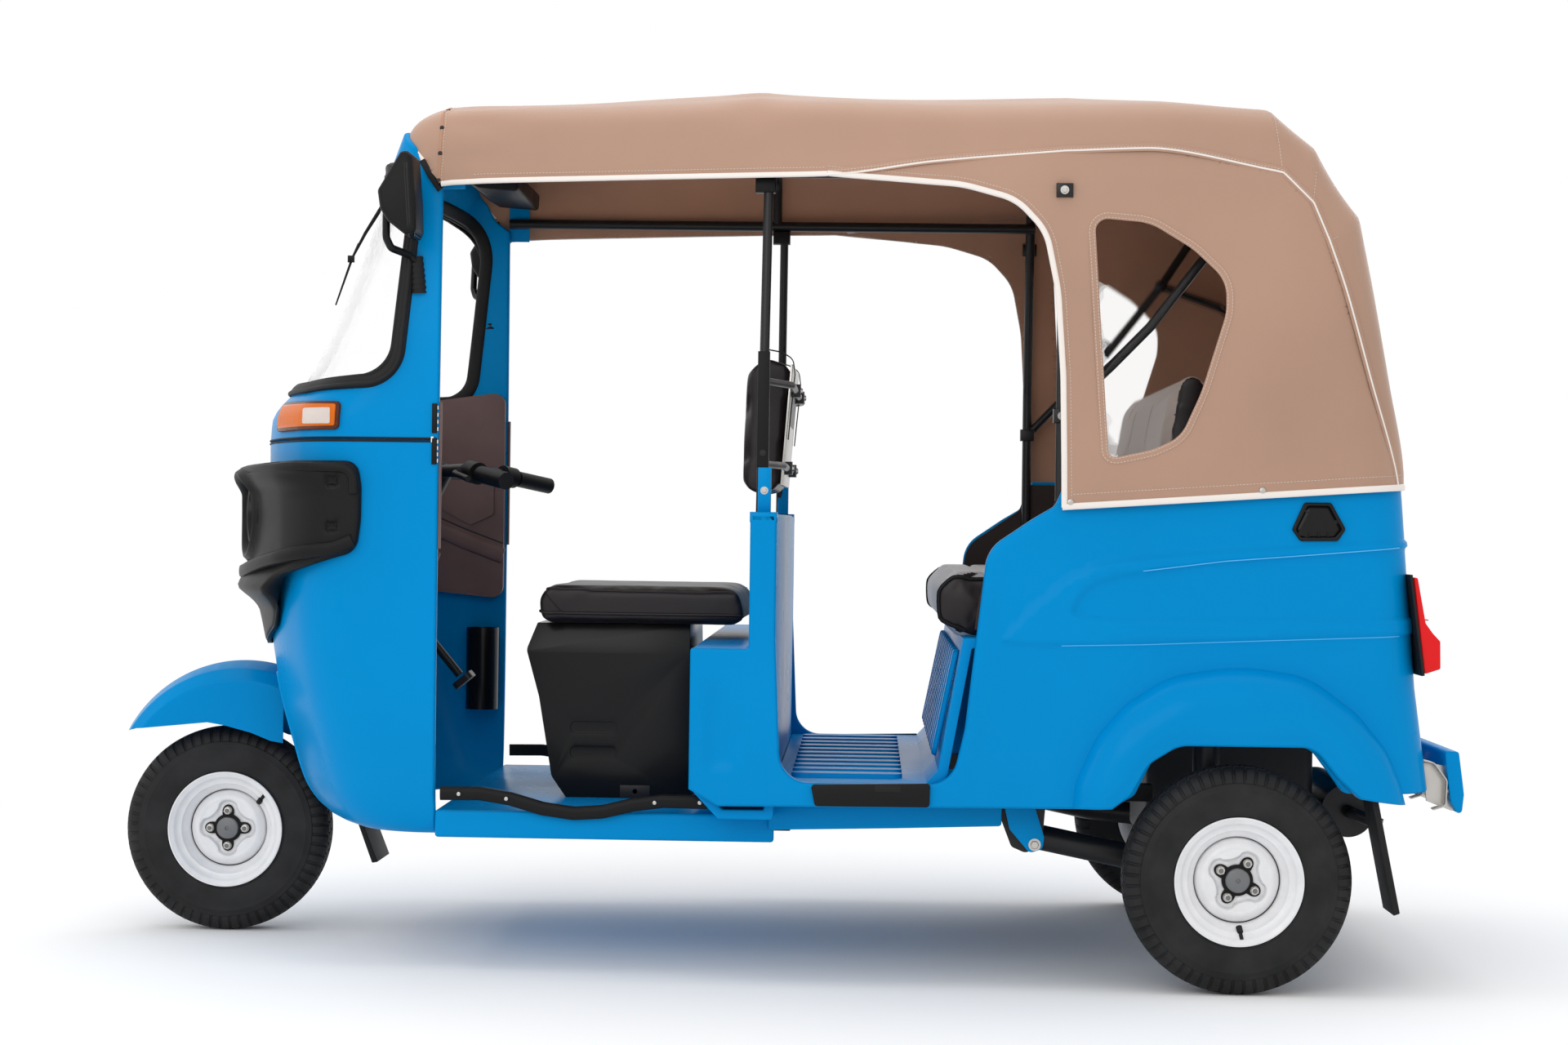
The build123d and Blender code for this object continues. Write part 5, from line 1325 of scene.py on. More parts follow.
def hoodSidePlace(flat, height):
    return hoodSideBase(flat) + surfaceNormals(hoodSideBase, flat) * np.asarray(height)[:, None]

def sideWaves(flat):
    x, z = flat[:, 0], flat[:, 1]
    wave = 0.0022 * np.sin(x * 13 + z * 5) * np.sin(z * 8.5 + 0.6)
    wave += 0.0035 * np.exp(-((x - 0.95 - (z - 1.2) * 0.15) / 0.06) ** 2) * np.sin(np.clip((z - 0.93) / 0.55, 0, 1)
            * np.pi)
    return wave

seamFlat = [(a, -hoodValues["width"]) for a in np.linspace(hoodRun[6], hoodRun[-1], 150)]

def stitches(name, points, normals, pitch=0.0062, dash=0.0042, wide=0.0011, high=0.0007, closed=False):
    # short raised dashes along a line
    pts = spaced(points, 0.002, closed=closed)
    idx = np.linspace(0, len(points) - 1, len(pts))
    nor = np.stack([np.interp(idx, np.arange(len(points)), np.array(normals)[:, k]) for k in range(3)], 1)
    steps = np.concatenate([[0], np.cumsum(np.linalg.norm(np.diff(pts, axis=0), axis=1))])
    starts = np.arange(0, steps[-1] - dash, pitch)
    verts, faces = [], []
    at = lambda s, arr: np.stack([np.interp(s, steps, arr[:, k]) for k in range(3)], 1)
    p0, p1, n = at(starts, pts), at(starts + dash, pts), at(starts + dash / 2, nor)
    t = p1 - p0
    t /= np.linalg.norm(t, axis=1)[:, None]
    side = np.cross(t, n)
    mid = (p0 + p1) / 2
    for k in range(len(starts)):
        b = len(verts)
        for p, w in ((p0[k], 0.5), (mid[k], 1.0), (p1[k], 0.5)):
            verts += [p - side[k] * wide * w / 2, p + n[k] * high * w, p + side[k] * wide * w / 2]
        faces += [(b, b + 1, b + 4, b + 3), (b + 1, b + 2, b + 5, b + 4), (b + 3, b + 4, b + 7, b + 6),
                  (b + 4, b + 5, b + 8, b + 7),
                  (b, b + 2, b + 1), (b + 6, b + 7, b + 8)]
    return meshPiece(name, verts, faces, "thread")

def onRoof(flat, height=0.0):
    flat = np.array(flat, float)
    return roofPlace(flat, np.full(len(flat), height) + roofWaves(flat)), surfaceNormals(roofBase, flat)

def onSide(flat, height=0.0):
    flat = np.array(flat, float)
    return hoodSidePlace(flat, np.full(len(flat), height) + sideWaves(flat)), surfaceNormals(hoodSideBase, flat)

def makeHood():
    v = hoodValues
    w = v["width"]
    end = float(hoodRun[-1])
    halfBack, zLow, zHigh = v["backWindow"]
    zs = hoodRows[:, 1]
    rear = range(len(hoodRun) - 5, len(hoodRun))
    runAt = lambda z: float(np.interp(-z, [-zs[i] for i in rear], [hoodRun[i] for i in rear]))
    def across(y, a):
        return bisect(lambda b: float(roofBase(np.array([[a, b]]))[0][1]) - y, 0, w)
    a0, a1 = runAt(zHigh), runAt(zLow)
    b0 = across(halfBack, a0)
    hole = roundLine([(a0, -b0), (a1, -b0), (a1, b0), (a0, b0)], 0.055, step=0.006)
    outline = [(0, -w), (end, -w), (end, w), (0, w)]
    roof = panelSheet("hoodRoof", outline, roofPlace, v["cloth"], "hoodVinyl", holes=[hole], relief=roofWaves,
                      edge=0.0008, grid=0.017, step=0.012, follow=True)
    line = [(p[0], p[2]) for p in roofBase(np.array(seamFlat))]
    hem = spaced(v["hem"], 0.02, closed=False)[::-1]
    front = rounded(v["opening"], 0.01)[::-1]
    outline = line + [tuple(p) for p in hem[1:-1]] + front[:-1]
    window = rounded(v["window"], 0.006, closed=True)
    side = panelSheet("hoodSideLeft", outline, hoodSidePlace, v["cloth"], "hoodVinyl", holes=[window],
                      relief=sideWaves, edge=0.0008, grid=0.016, step=0.01, follow=True)
    film = panelSheet("filmLeft", spaced(window, 0.02), hoodSidePlace, 0.0008, "clearSheet",
                      relief=lambda f: sideWaves(f) - 0.0016, edge=0.0, grid=0.02, step=0.015)
    back = panelSheet("filmBack", spaced(hole, 0.02), roofPlace, 0.0008, "clearSheet",
                      relief=lambda f: roofWaves(f) - 0.0016, edge=0.0, grid=0.03, step=0.02)
    trims, threads = [], []
    def bind(name, flat, on, width=0.01, thick=0.0042, material="creamPiping", closed=False, lift=0.0002):
        p, n = on(flat, lift)
        trims.append(ribbon(name, p, n, width, thick, material, closed=closed))
    def sew(name, flat, on, lift=0.0002, closed=False):
        p, n = on(flat, lift)
        threads.append(stitches(name, p, n, closed=closed))
    # edge bindings: front hem, roof edge over the doorways, doorway edge, hem
    edgeA = [(a, -w + 0.004) for a in np.linspace(0, float(hoodRun[6]), 120)]
    bind("roofBinding", edgeA, onRoof)
    frontFlat = [(0.004, b) for b in np.linspace(-w * 0.86, 0, 80)]
    bind("frontBinding", frontFlat, onRoof, width=0.008)
    doorway = spaced(front[::-1], 0.008, closed=False)
    bind("doorwayBinding", insetLine(doorway, 0.004), onSide, width=0.011)
    hemShift = [(p[0], p[1] + 0.005) for p in spaced(v["hem"], 0.01, closed=False)]
    bind("hemBinding", hemShift, onSide, width=0.012)
    backHem = [(end - 0.005, b) for b in np.linspace(-w, 0, 60)]
    bind("backHemBinding", backHem, onRoof, width=0.012)
    # seam of roof and side: felled strip, thin piping and two stitch rows
    seamUp = [(a, -w + 0.007) for a, b in seamFlat]
    p, n = onRoof(seamUp, 0.0008)
    trims.append(ribbon("seamStrip", p, n, 0.015, 0.0022, "hoodVinyl"))
    p, n = onRoof([(a, -w + 0.0004) for a, b in seamFlat], 0.0014)
    trims.append(tube("seamPiping", p, 0.0019, "creamPiping", sides=8))
    for row in (0.004, 0.011):
        sew("seamStitch", [(a, -w + row) for a, b in seamFlat], onRoof, lift=0.002)
    sew("roofStitch", [(a, -w + 0.021) for a in np.linspace(0.1, float(hoodRun[6]), 120)], onRoof)
    frontSeam = []
    for b in np.linspace(-w * 0.985, 0, 90):
        frontSeam.append((bisect(lambda a: float(roofBase(np.array([[a, b]]))[0][0]) - v["browSeam"], 0, 0.25), b))
    p, n = onRoof(frontSeam, 0.0002)
    trims.append(ribbon("frontSeamStrip", p, n, 0.0045, 0.0026, "hoodLiningPaintedGlow"))
    for height in v["browStuds"]:
        k = int(np.argmin(np.abs(p[:, 2] - height)))
        trims.append(studPiece("browStud", p[k], n[k], 0.0042, 0.0026, "blackSteel"))
    sew("frontStitch", [(a + 0.008, b) for a, b in frontSeam], onRoof, lift=0.0003)
    sew("doorwayStitch", insetLine(doorway, 0.017), onSide)
    sew("hemStitch", [(p[0], p[1] + 0.027) for p in spaced(v["hem"], 0.01, closed=False)][2:], onSide)
    sew("backHemStitch", [(end - 0.027, b) for b in np.linspace(-w, 0, 60)], onRoof)
    ringOut = insetLine(window, -0.007, closed=True)
    bind("windowFrame", ringOut, onSide, width=0.014, thick=0.0024, material="hoodVinyl", closed=True)
    for d in (-0.003, -0.011):
        sew("windowStitch", insetLine(window, d, closed=True), onSide, lift=0.0014, closed=True)
    # darts where the cloth turns down over the rear bows
    for i, reach in v["darts"]:
        a = float(hoodRun[i])
        dart = [(a + 0.004 * math.sin(t * 2), -w + 0.012 + t * reach * w * 1.3) for t in np.linspace(0, 1, 24)]
        sew("dartStitch", dart, onRoof, lift=0.0003)
    studs = []
    for x, up in ((0.575, 0.013), (0.925, 0.014)):
        z = float(np.interp(x, [q[0] for q in v["hem"]], [q[1] for q in v["hem"]])) + up
        p, n = onSide([(x, z)], 0.0)
        studs.append(studPiece("snapStud", p[0], n[0], 0.0062, 0.0028, "zincSteel"))
    left = joined("hoodTrimLeft", trims)
    backFrame = []
    p, n = onRoof(insetLine(hole, -0.007, closed=True), 0.0002)
    backFrame.append(ribbon("backWindowFrame", p, n, 0.014, 0.0024, "hoodVinyl", closed=True))
    for d in (-0.003, -0.011):
        p, n = onRoof(insetLine(hole, d, closed=True), 0.0014)
        backFrame.append(stitches("backStitch", p, n, closed=True))
    threadLeft = joined("hoodStitchingLeft", threads + studs)
    return {
        "roof": roof,
        "sides": joined("hoodSides", [side, mirrored("hoodSideRight", side)]),
        "films": joined("hoodWindows", [film, mirrored("filmRight", film), back]),
        "trims": joined("hoodTrims", [left, mirrored("hoodTrimRight", left)] + backFrame[:1]),
        "threads": joined("hoodStitching", [threadLeft, mirrored("hoodStitchingRight", threadLeft)]
                          + backFrame[1:]),
    }

def studPiece(name, place, normal, radius, high, material):
    profile = [(0.0, high), (radius * 0.55, high), (radius * 0.85, high * 0.8), (radius, high * 0.35),
               (radius, -0.001)]
    return standOn(lathe(name, profile, material, axis="z", sides=24), place, normal)

def glowLiningInside(piece, middle):
    # the cloth's inner face is a lining, painted lighter to stand for light coming through the translucent cloth
    piece.data.materials.append(materials["hoodLiningPaintedGlow"])
    for poly in piece.data.polygons:
        if poly.normal.dot(Vector(middle) - poly.center) > 0.02:
            poly.material_index = len(piece.data.materials) - 1

hood = makeHood()
glowLiningInside(hood["roof"], (0.3, 0.0, 1.25))
glowLiningInside(hood["sides"], (0.8, 0.0, 1.2))
settle(hood["roof"], "root", "hood_vinyl", "canopy")
settle(hood["sides"], "root", "hood_vinyl")
settle(hood["films"], "root", "clear_sheet", "canopy_windows")
settle(hood["trims"], "root", "hood_vinyl")
settle(hood["threads"], "root", "hood_vinyl")
print("stage: hood")
# wheels
wheelValues = {
    "lugs": 60,
    "lugDepth": 0.0035,
    "lugFrom": (0.181, 0.027),    # radius, and distance from the tyre's middle
    "lugDraw": 0.035,
    "ribFrom": 0.2085,
    "ribDepth": 0.0025,
    "lobe": (0.0475, 0.0085, 0.6),    # the disc's four-lobed pad: radius, wave and its sharpness
    "studRing": 0.036,
    "wheels": (  # name, centre, side that the disc faces, turn in degrees, body, nodes, where the valve stands
        ("front", (-1.11, 0.0, 0.21), -1, 0, "front_wheel", "front_tyre", "front_rim", 40),
        ("rearLeft", (0.89, -0.575, 0.21), -1, 60, "rear_left_wheel", "rear_left_tyre", "rear_left_rim", 272),
        ("rearRight", (0.89, 0.575, 0.21), 1, 28, "rear_right_wheel", "rear_right_tyre", "rear_right_rim", 120),
    ),
}

def tyrePiece(name, centre):
    half = [(0.1025, 0.04), (0.106, 0.0445), (0.112, 0.0475), (0.1195, 0.05), (0.1215, 0.0512), (0.1235, 0.05),
            (0.131, 0.0514), (0.144, 0.052),
            (0.158, 0.0519), (0.1655, 0.0516), (0.1675, 0.052), (0.1695, 0.0512), (0.176, 0.0506),
            (0.1795, 0.0497), (0.18, 0.048),
            (0.184, 0.0482), (0.19, 0.0468), (0.196, 0.044), (0.201, 0.0405), (0.205, 0.036), (0.2075, 0.031),
            (0.2085, 0.0265),
            (0.203, 0.0258), (0.203, 0.0222), (0.2093, 0.0215), (0.2097, 0.014), (0.2098, 0.013),
            (0.2038, 0.0122), (0.2038, 0.0088),
            (0.2098, 0.008), (0.21, 0.0)]
    profile = half + [(r, -t) for r, t in half[-2::-1]]
    profile += [(0.1, -0.036), (0.13, -0.04), (0.165, -0.04), (0.19, -0.03), (0.194, 0), (0.19, 0.03),
                (0.165, 0.04), (0.13, 0.04), (0.1, 0.036)]
    lugs, per = wheelValues["lugs"], 8
    lugRadius, lugSide = wheelValues["lugFrom"]
    sides = lugs * per
    verts = []
    for k in range(sides):
        a = 2 * math.pi * k / sides
        phase = k % per
        for i, (r, t) in enumerate(profile):
            rr, tt = r, t
            if lugRadius < r and abs(t) > lugSide and i < len(half) * 2:
                shift = (phase + (0 if t > 0 else per // 2) + int((0.047 - abs(t)) * 90)) % per
                if shift in (0, 1):
                    rr = r - wheelValues["lugDepth"]
                    tt = t * (1 - wheelValues["lugDraw"])
            elif r > wheelValues["ribFrom"] and i < len(half) * 2 and (phase + int(abs(t) * 220)) % per == 0:
                rr = r - wheelValues["ribDepth"]
            verts.append((centre[0] + rr * math.cos(a), centre[1] + tt, centre[2] + rr * math.sin(a)))
    return meshPiece(name, verts, gridFaces(sides, len(profile), True), "tyreRubber", sharp=32)

def rimPiece(name, centre, out, turn, valveAt):
    cx, cy, cz = centre
    ring = [(0.118, 0.0535), (0.1185, 0.0515), (0.1175, 0.049), (0.11, 0.0462), (0.1045, 0.044),
            (0.102, 0.0405), (0.101, 0.034), (0.099, 0.031),
            (0.093, 0.0285), (0.0905, 0.024), (0.089, 0.019), (0.0885, 0.0), (0.0885, -0.03), (0.1, -0.036),
            (0.104, -0.044),
            (0.1175, -0.05), (0.1175, -0.0535), (0.102, -0.0495), (0.096, -0.042), (0.084, -0.033),
            (0.079, -0.01), (0.0795, 0.012),
            (0.08, 0.02), (0.083, 0.0255), (0.088, 0.03), (0.0915, 0.0345), (0.0935, 0.0385),
            (0.0985, 0.04), (0.104, 0.0445), (0.1062, 0.048),
            (0.108, 0.05), (0.113, 0.0515), (0.1155, 0.0538)]
    parts = [lathe("ring", [(r, out * t) for r, t in ring], "rimEnamel", centre, sides=128, closed=True, sharp=40)]
    # the pressed disc: a dished ring, then a four-lobed pad
    around = 160
    pad, swing, sharpness = wheelValues["lobe"]
    radii = np.concatenate([np.linspace(0.0785, 0.058, 14), np.linspace(0.057, 0.04, 24),
                            np.linspace(0.0385, 0.0, 6)])
    verts = []
    for r in radii:
        for k in range(around):
            a = 2 * math.pi * k / around
            local = a - math.radians(turn)
            wave = math.cos(4 * local)
            lobe = pad + swing * np.sign(wave) * abs(wave) ** sharpness
            edge = float(smoothStep((r - lobe + 0.0035) / 0.007))
            if r > 0.0765:
                t = 0.01 + (0.0785 - r) * 3.5
            else:
                t = 0.018 + 0.0105 * math.sin(min(1.0, (0.0765 - r) / 0.0195) * math.pi * 0.62)
            t = t * edge + (1 - edge) * 0.0205 if r < 0.062 else t
            verts.append((cx + r * math.cos(a), cy + out * t, cz + r * math.sin(a)))
    parts.append(meshPiece("disc", verts, gridFaces(len(radii), around), "rimEnamel", weld=1e-6))
    drum = [(0.0735, 0.0095), (0.074, 0.006), (0.074, -0.048), (0.07, -0.0525), (0.0165, -0.0525),
            (0.0165, 0.0095)]
    parts.append(lathe("drum", [(r, out * t) for r, t in drum], "blackSteel", centre, sides=96, closed=True,
                       sharp=35))
    gap = [(0.08, 0.012), (0.0735, 0.008), (0.0735, 0.004), (0.08, 0.004)]
    parts.append(lathe("gapRing", [(r, out * t) for r, t in gap], "blackSteel", centre, sides=96, closed=True))
    lobes = []
    for k in range(120):
        a = 2 * math.pi * k / 120
        c = max(0.0, math.cos(4 * (a - math.radians(turn))))
        lobes.append(((0.029 + 0.019 * c ** 0.6) * math.cos(a), (0.029 + 0.019 * c ** 0.6) * math.sin(a)))
    plate = softBlock("hubPlate", [(cx + p[0], cz + p[1]) for p in lobes], 0.005, "blackPlastic", edge=0.0015,
                      centre=(0, cy + out * 0.0232, 0))
    parts.append(plate)
    for k in range(4):
        a = math.radians(turn + 90 * k)
        nx, nz = cx + wheelValues["studRing"] * math.cos(a), cz + wheelValues["studRing"] * math.sin(a)
        cone = [(0.009, 0.024), (0.0088, 0.0255), (0.0084, 0.0275), (0.0078, 0.0285), (0.0, 0.0285)]
        parts.append(lathe("seat", [(r, out * t) for r, t in cone], "zincSteel", (nx, cy, nz), sides=32))
        hexa = [(nx + 0.0078 * math.cos(b), nz + 0.0078 * math.sin(b))
                for b in [math.radians(60 * i + 12 * k) for i in range(6)]]
        parts.append(softBlock("nut", hexa, 0.008, "zincSteel", edge=0.0008, centre=(0, cy + out * 0.0315, 0),
                               parts=2))
        end = [(0.0045, 0.03), (0.0045, 0.0365), (0.0036, 0.0378), (0.0, 0.0378)]
        parts.append(lathe("stud", [(r, out * t) for r, t in end], "hubGrey", (nx, cy, nz), sides=20))
    cap = [(0.0225, 0.0235), (0.0225, 0.03), (0.021, 0.0325), (0.012, 0.035), (0.004, 0.0355),
           (0.0032, 0.0335), (0.0, 0.0335)]
    parts.append(lathe("cap", [(r, out * t) for r, t in cap], "hubGrey", centre, sides=64))
    a = math.radians(valveAt)
    inner = Vector((cx + 0.084 * math.cos(a), cy + out * 0.03, cz + 0.084 * math.sin(a)))
    outer = Vector((cx + 0.106 * math.cos(a + 0.03), cy + out * 0.046, cz + 0.106 * math.sin(a + 0.03)))
    parts.append(tube("valve", [inner, inner.lerp(outer, 0.5), inner.lerp(outer, 0.52), outer], 0.0042, "rubber",
                      sides=12, taper=lambda t: 1.35 if t < 0.4 else 0.85))
    return joined(name, parts)

for name, centre, out, turn, body, tyreNode, rimNode, valveAt in wheelValues["wheels"]:
    settle(tyrePiece(name + "Tyre", centre), body, "tyre", tyreNode)
    settle(rimPiece(name + "Rim", centre, out, turn, valveAt), body, "rim_paint", rimNode)
print("stage: wheels")
# windscreen rubber and glass
def screenLoop(inset, height):
    flat = spaced(screenRim(inset), 0.012, closed=False)
    left = onForm(screenForm, flat, height)
    normal = surfaceNormals(lambda f: screenForm["place"](f, np.zeros(len(f))), flat)
    outward = left - np.array([-0.75, 0, 1.35])
    normal *= np.sign((normal * outward).sum(1))[:, None]
    flip = np.array([1, -1, 1])
    return np.vstack([left, (left * flip)[::-1][1:-1]]), np.vstack([normal, (normal * flip)[::-1][1:-1]])

def makeSeal():
    p, n = screenLoop(0.013, -0.001)
    bead = ribbon("sealBead", p, n, 0.027, 0.02, "rubber", closed=True)
    lip = tube("sealLip", screenLoop(0.0085, 0.0075)[0], 0.0048, "rubber", sides=10, closed=True)
    inner = tube("sealInner", screenLoop(0.0225, 0.0045)[0], 0.0042, "rubber", sides=10, closed=True)
    p, n = screenLoop(0.013, -0.016)
    back = ribbon("sealBack", p, -n, 0.03, 0.012, "rubber", closed=True)
    return joined("windscreenRubber", [bead, lip, inner, back])

def makeGlass():
    rim = screenRim(0.021)
    w1, w0 = rim[-1][1], rim[0][1]
    outline = rim + columnLine(screenForm, w1, w0, 40)[1:-1]
    place = lambda flat, height: screenForm["place"](flat, np.asarray(height) - 0.007)
    half = panelSheet("glassHalf", outline, place, 0.005, "screenGlass", edge=0.0008, backEdge=0.0008, grid=0.022,
                      step=0.012, openRim=centreSkip(screenForm))
    return bothSides("windscreenGlass", half)

settle(makeSeal(), "root", "rubber", "windscreen_seal")
settle(makeGlass(), "root", "windscreen", "windscreen_glass")

# lamp mask, lamps and indicators
maskValues = {
    "outline": (  # side view, from the nose at the foot round to the nose at the top, with corner radii
        (-1.2, 0.592, 0), (-1.03, 0.598, 0.01), (-0.972, 0.64, 0.03), (-0.934, 0.742, 0.045),
        (-0.76, 0.79, 0.036), (-0.752, 0.85, 0.3),
        (-0.752, 0.915, 0.05), (-0.76, 0.962, 0.028), (-0.88, 0.962, 0.2), (-1.2, 0.949, 0)),
    "heights": (0.586, 0.9649),
    "skin": 0.024,
    "lamp": (0.262, 0.858, 0.074),   # y, z and radius of the opening
    "screws": ((-0.806, 0.925), (-0.806, 0.838)),
    "browHeight": 0.936,
    "chinHeight": 0.775,
    "rises": (0.007, 0.012, 0.01, 0.022, 0.014, 0.0065),   # brow, lip; face, chin; lamp ring; screws' recesses
    "topLip": ((-0.764, 0.9), (-0.766, 0.948), (-0.88, 0.95), (-1.04, 0.944)),
    "lowLip": ((-0.765, 0.812), (-0.8, 0.797), (-0.88, 0.786), (-0.96, 0.768), (-1.03, 0.748)),
    "lipFall": -0.05,
}

def maskRim():
    return shellRim(maskForm, rounded(maskValues["outline"], 0.006), *maskValues["heights"])

def makeMask():
    v = maskValues
    form = maskForm
    rim = maskRim()
    w1, w0 = rim[-1][1], rim[0][1]
    outline = rim + columnLine(form, w1, w0, 40)[1:-1]
    ly, lz, lr = v["lamp"]
    hole = []
    for k in range(64):
        a = 2 * math.pi * k / 64
        w = wAtZ(form, lz + lr * math.sin(a))
        hole.append((form["sAtY"](ly + lr * math.cos(a), w), w))
    wBrow, wLow, wLamp = wAtZ(form, v["browHeight"]), wAtZ(form, v["chinHeight"]), wAtZ(form, lz)
    screws = [sideToFlat(form, [p])[0] for p in v["screws"]]
    browRise, lipRise, faceSink, chinSink, ringRise, screwSink = v["rises"]
    def relief(flat):
        s, w = flat[:, 0], flat[:, 1]
        total = form["length"](w)
        toNose = smoothStep((s - 0.16) / 0.16)
        h = browRise * np.exp(-((w - wBrow) / 0.016) ** 2) * toNose
        lower = wLow - 0.06 * smoothStep((s - 0.06) / 0.25)
        h += lipRise * np.exp(-((w - lower) / 0.017) ** 2) * smoothStep((s - 0.19) / 0.12)
        h -= faceSink * toNose * smoothStep((w - lower - 0.02) / 0.03) * smoothStep((wBrow - w - 0.012) / 0.03)
        h -= chinSink * smoothStep((lower - w) / 0.05) * smoothStep((s - 0.16) / 0.1)
        d = np.hypot(s - (total - ly * 1.02), w - wLamp)
        h += ringRise * np.exp(-((d - lr - 0.008) / 0.01) ** 2)
        for q in screws:
            box = np.maximum(np.abs(s - q[0]) / 0.011, np.abs(w - q[1]) / 0.0085)
            h -= screwSink * smoothStep((1.0 - box) / 0.25 + 0.5)
        return h
    guides = []
    for q in screws:
        for r in (0.0105, 0.0085):
            guides.append([(q[0] + r * 1.25 * math.cos(a), q[1] + r * math.sin(a)) for a in np.linspace(0,
                    2 * math.pi, 28)])
    half = panelSheet("maskHalf", outline, form["place"], v["skin"], "blackPlastic", holes=[hole], relief=relief,
                      edge=0.01, grid=0.0085, step=0.006, guides=guides, openRim=centreSkip(form))
    parts = [bothSides("lampMask", half)]
    for turn in (1, -1):
        for q in screws:
            p = onForm(form, [q], -0.004)[0]
            n = surfaceNormals(lambda f: form["place"](f, np.zeros(len(f))), np.array([q]))[0]
            n = n if n[1] < 0 else -n
            parts.append(studPiece("maskScrew", (p[0] + 0.004, -p[1], p[2]), (n[0], turn * n[1], n[2]), 0.0048,
                                   0.003,
                                   "zincSteel"))
    parts += maskLips(form)
    return joined("lampMask", parts)

def maskLips(form):
    # the rolled lips over and under the mask's face, from the side round to the nose
    parts = []
    for points, width, thick, fall in ((maskValues["topLip"], 0.018, 0.014, 0.0),
                                       (maskValues["lowLip"], 0.026, 0.016, maskValues["lipFall"])):
        flat = sideToFlat(form, spaced(roundLine(points, 0.03, closed=False, step=0.006), 0.01, closed=False))
        s, w = flat[-1]
        flat += [(t, w + (t - s) * fall) for t in np.arange(s + 0.01, lengthAt(form, w), 0.01)]
        p = onForm(form, flat, 0.0005)
        n = p - onForm(form, flat, -0.01)
        for sign in (1, -1):
            flip = np.array([1, sign, 1])
            parts.append(ribbon("maskLip", p * flip, n * flip, width, thick, "blackPlastic"))
    return parts

def makeLamps():
    faceX, bowlRadius, lensRib = -1.0, 0.066, 0.0006
    bowls, lenses = [], []
    for sign in (-1, 1):
        at = (faceX, sign * maskValues["lamp"][0], maskValues["lamp"][1])
        bezel = [(0.074, -0.004), (0.0735, 0.006), (0.07, 0.01), (0.066, 0.006), (0.066, -0.02), (0.074, -0.02)]
        bowls.append(lathe("bezel", [(r, -t) for r, t in bezel], "satinPlastic", at, axis="x", sides=72,
                           closed=True))
        bowl = [(bowlRadius, 0.0)] + [(bowlRadius * math.cos(a), 0.052 * math.sin(a)) for a in np.linspace(0.15,
                1.35, 10)]
        bowls.append(lathe("reflector", bowl, "reflector", at, axis="x", sides=72))
        bowls.append(lathe("lampBack", [(0.086, 0.014), (0.086, 0.02), (0.0, 0.02)], "blackPlastic", at, axis="x",
                           sides=48))
        bulb = [(0.0, -0.012), (0.006, -0.01), (0.008, 0.0), (0.008, 0.04)]
        bowls.append(lathe("bulb", bulb, "lampLens", (faceX + 0.01, *at[1:]), axis="x", sides=24))
        dome = [(0.0665 * math.sin(a), -0.01 * math.cos(a)) for a in np.linspace(math.pi / 2, 0.0, 12)]
        ribbed = [(r, t - (lensRib if i % 2 else 0)) for i, (r, t) in enumerate(dome)]
        back = [(r, t + 0.003) for r, t in ribbed[::-1]]
        lenses.append(lathe("lens", ribbed + back, "lampLens", at, axis="x", sides=72, sharp=25))
    return joined("lampBowls", bowls), joined("lampLenses", lenses)

indicatorValues = {
    "box": ((-0.948, 1.019), (-0.797, 1.021), (-0.794, 1.075), (-0.94, 1.079)),
    "window": ((-0.868, 1.032), (-0.811, 1.032), (-0.811, 1.063), (-0.868, 1.063)),
}

def makeIndicators():
    form = screenForm
    v = indicatorValues
    def flatLine(points, r):
        return sideToFlat(form, spaced(roundLine(points, r, step=0.004), 0.004))
    base = flatLine(v["box"], 0.01)
    rear = panelSheet("indicatorBase", base, form["place"], 0.01, "amberDark", relief=level(0.0078), edge=0.002,
                      grid=0.01, step=0.004)
    inner = insetLine(np.array(base), 0.0062, closed=True)
    w0, w1 = inner[:, 1].min(), inner[:, 1].max()
    def relief(f):
        ribs = 0.0007 * (np.sin(f[:, 0] * 2 * math.pi / 0.0075) > 0.2)
        return 0.0088 + ribs * (np.abs(f[:, 1] - (w0 + w1) / 2) < (w1 - w0) * 0.42)
    lens = panelSheet("indicatorLens", inner, form["place"], 0.006, "amberLens", relief=relief, edge=0.0028,
                      grid=0.0026, step=0.003)
    window = flatLine(v["window"], 0.004)
    def gridRelief(f):
        a = np.maximum(np.sin(f[:, 0] * 2 * math.pi / 0.0038), np.sin(f[:, 1] * 2 * math.pi / 0.0038))
        return 0.01 + 0.0006 * a
    clear = panelSheet("indicatorWindow", window, form["place"], 0.001, "clearGrid", relief=gridRelief, edge=0.0008,
                       grid=0.0012, step=0.002)
    left = joined("indicatorLeft", [rear, lens, clear])
    return joined("indicatorLamps", [left, mirrored("indicatorRight", left)])

settle(makeMask(), "root", "black_plastic", "lamp_mask")
bowls, lenses = makeLamps()
settle(bowls, "root", "lamp_lens", "headlamps")
settle(lenses, "root", "lamp_lens")
settle(makeIndicators(), "root", "amber", "indicators")
print("stage: front lamps")
# cushions: cloth blown up over the filling, then seams
cushionValues = {
    "mesh": 0.0075,
    "pressure": 4.0,
    "frames": 20,
    "quality": 4,
    "mass": 0.3,
    "tension": 12,
    "shear": 6,
    "bending": 0.6,
    "endFace": 0.62,    # a cushion's end is where its faces turn this far to the side
    "shrink": 0.006,
}

def meshPoints(mesh, key="co"):
    out = np.empty(len(mesh.vertices) * 3)
    mesh.vertices.foreach_get(key, out)
    return out.reshape(-1, 3)

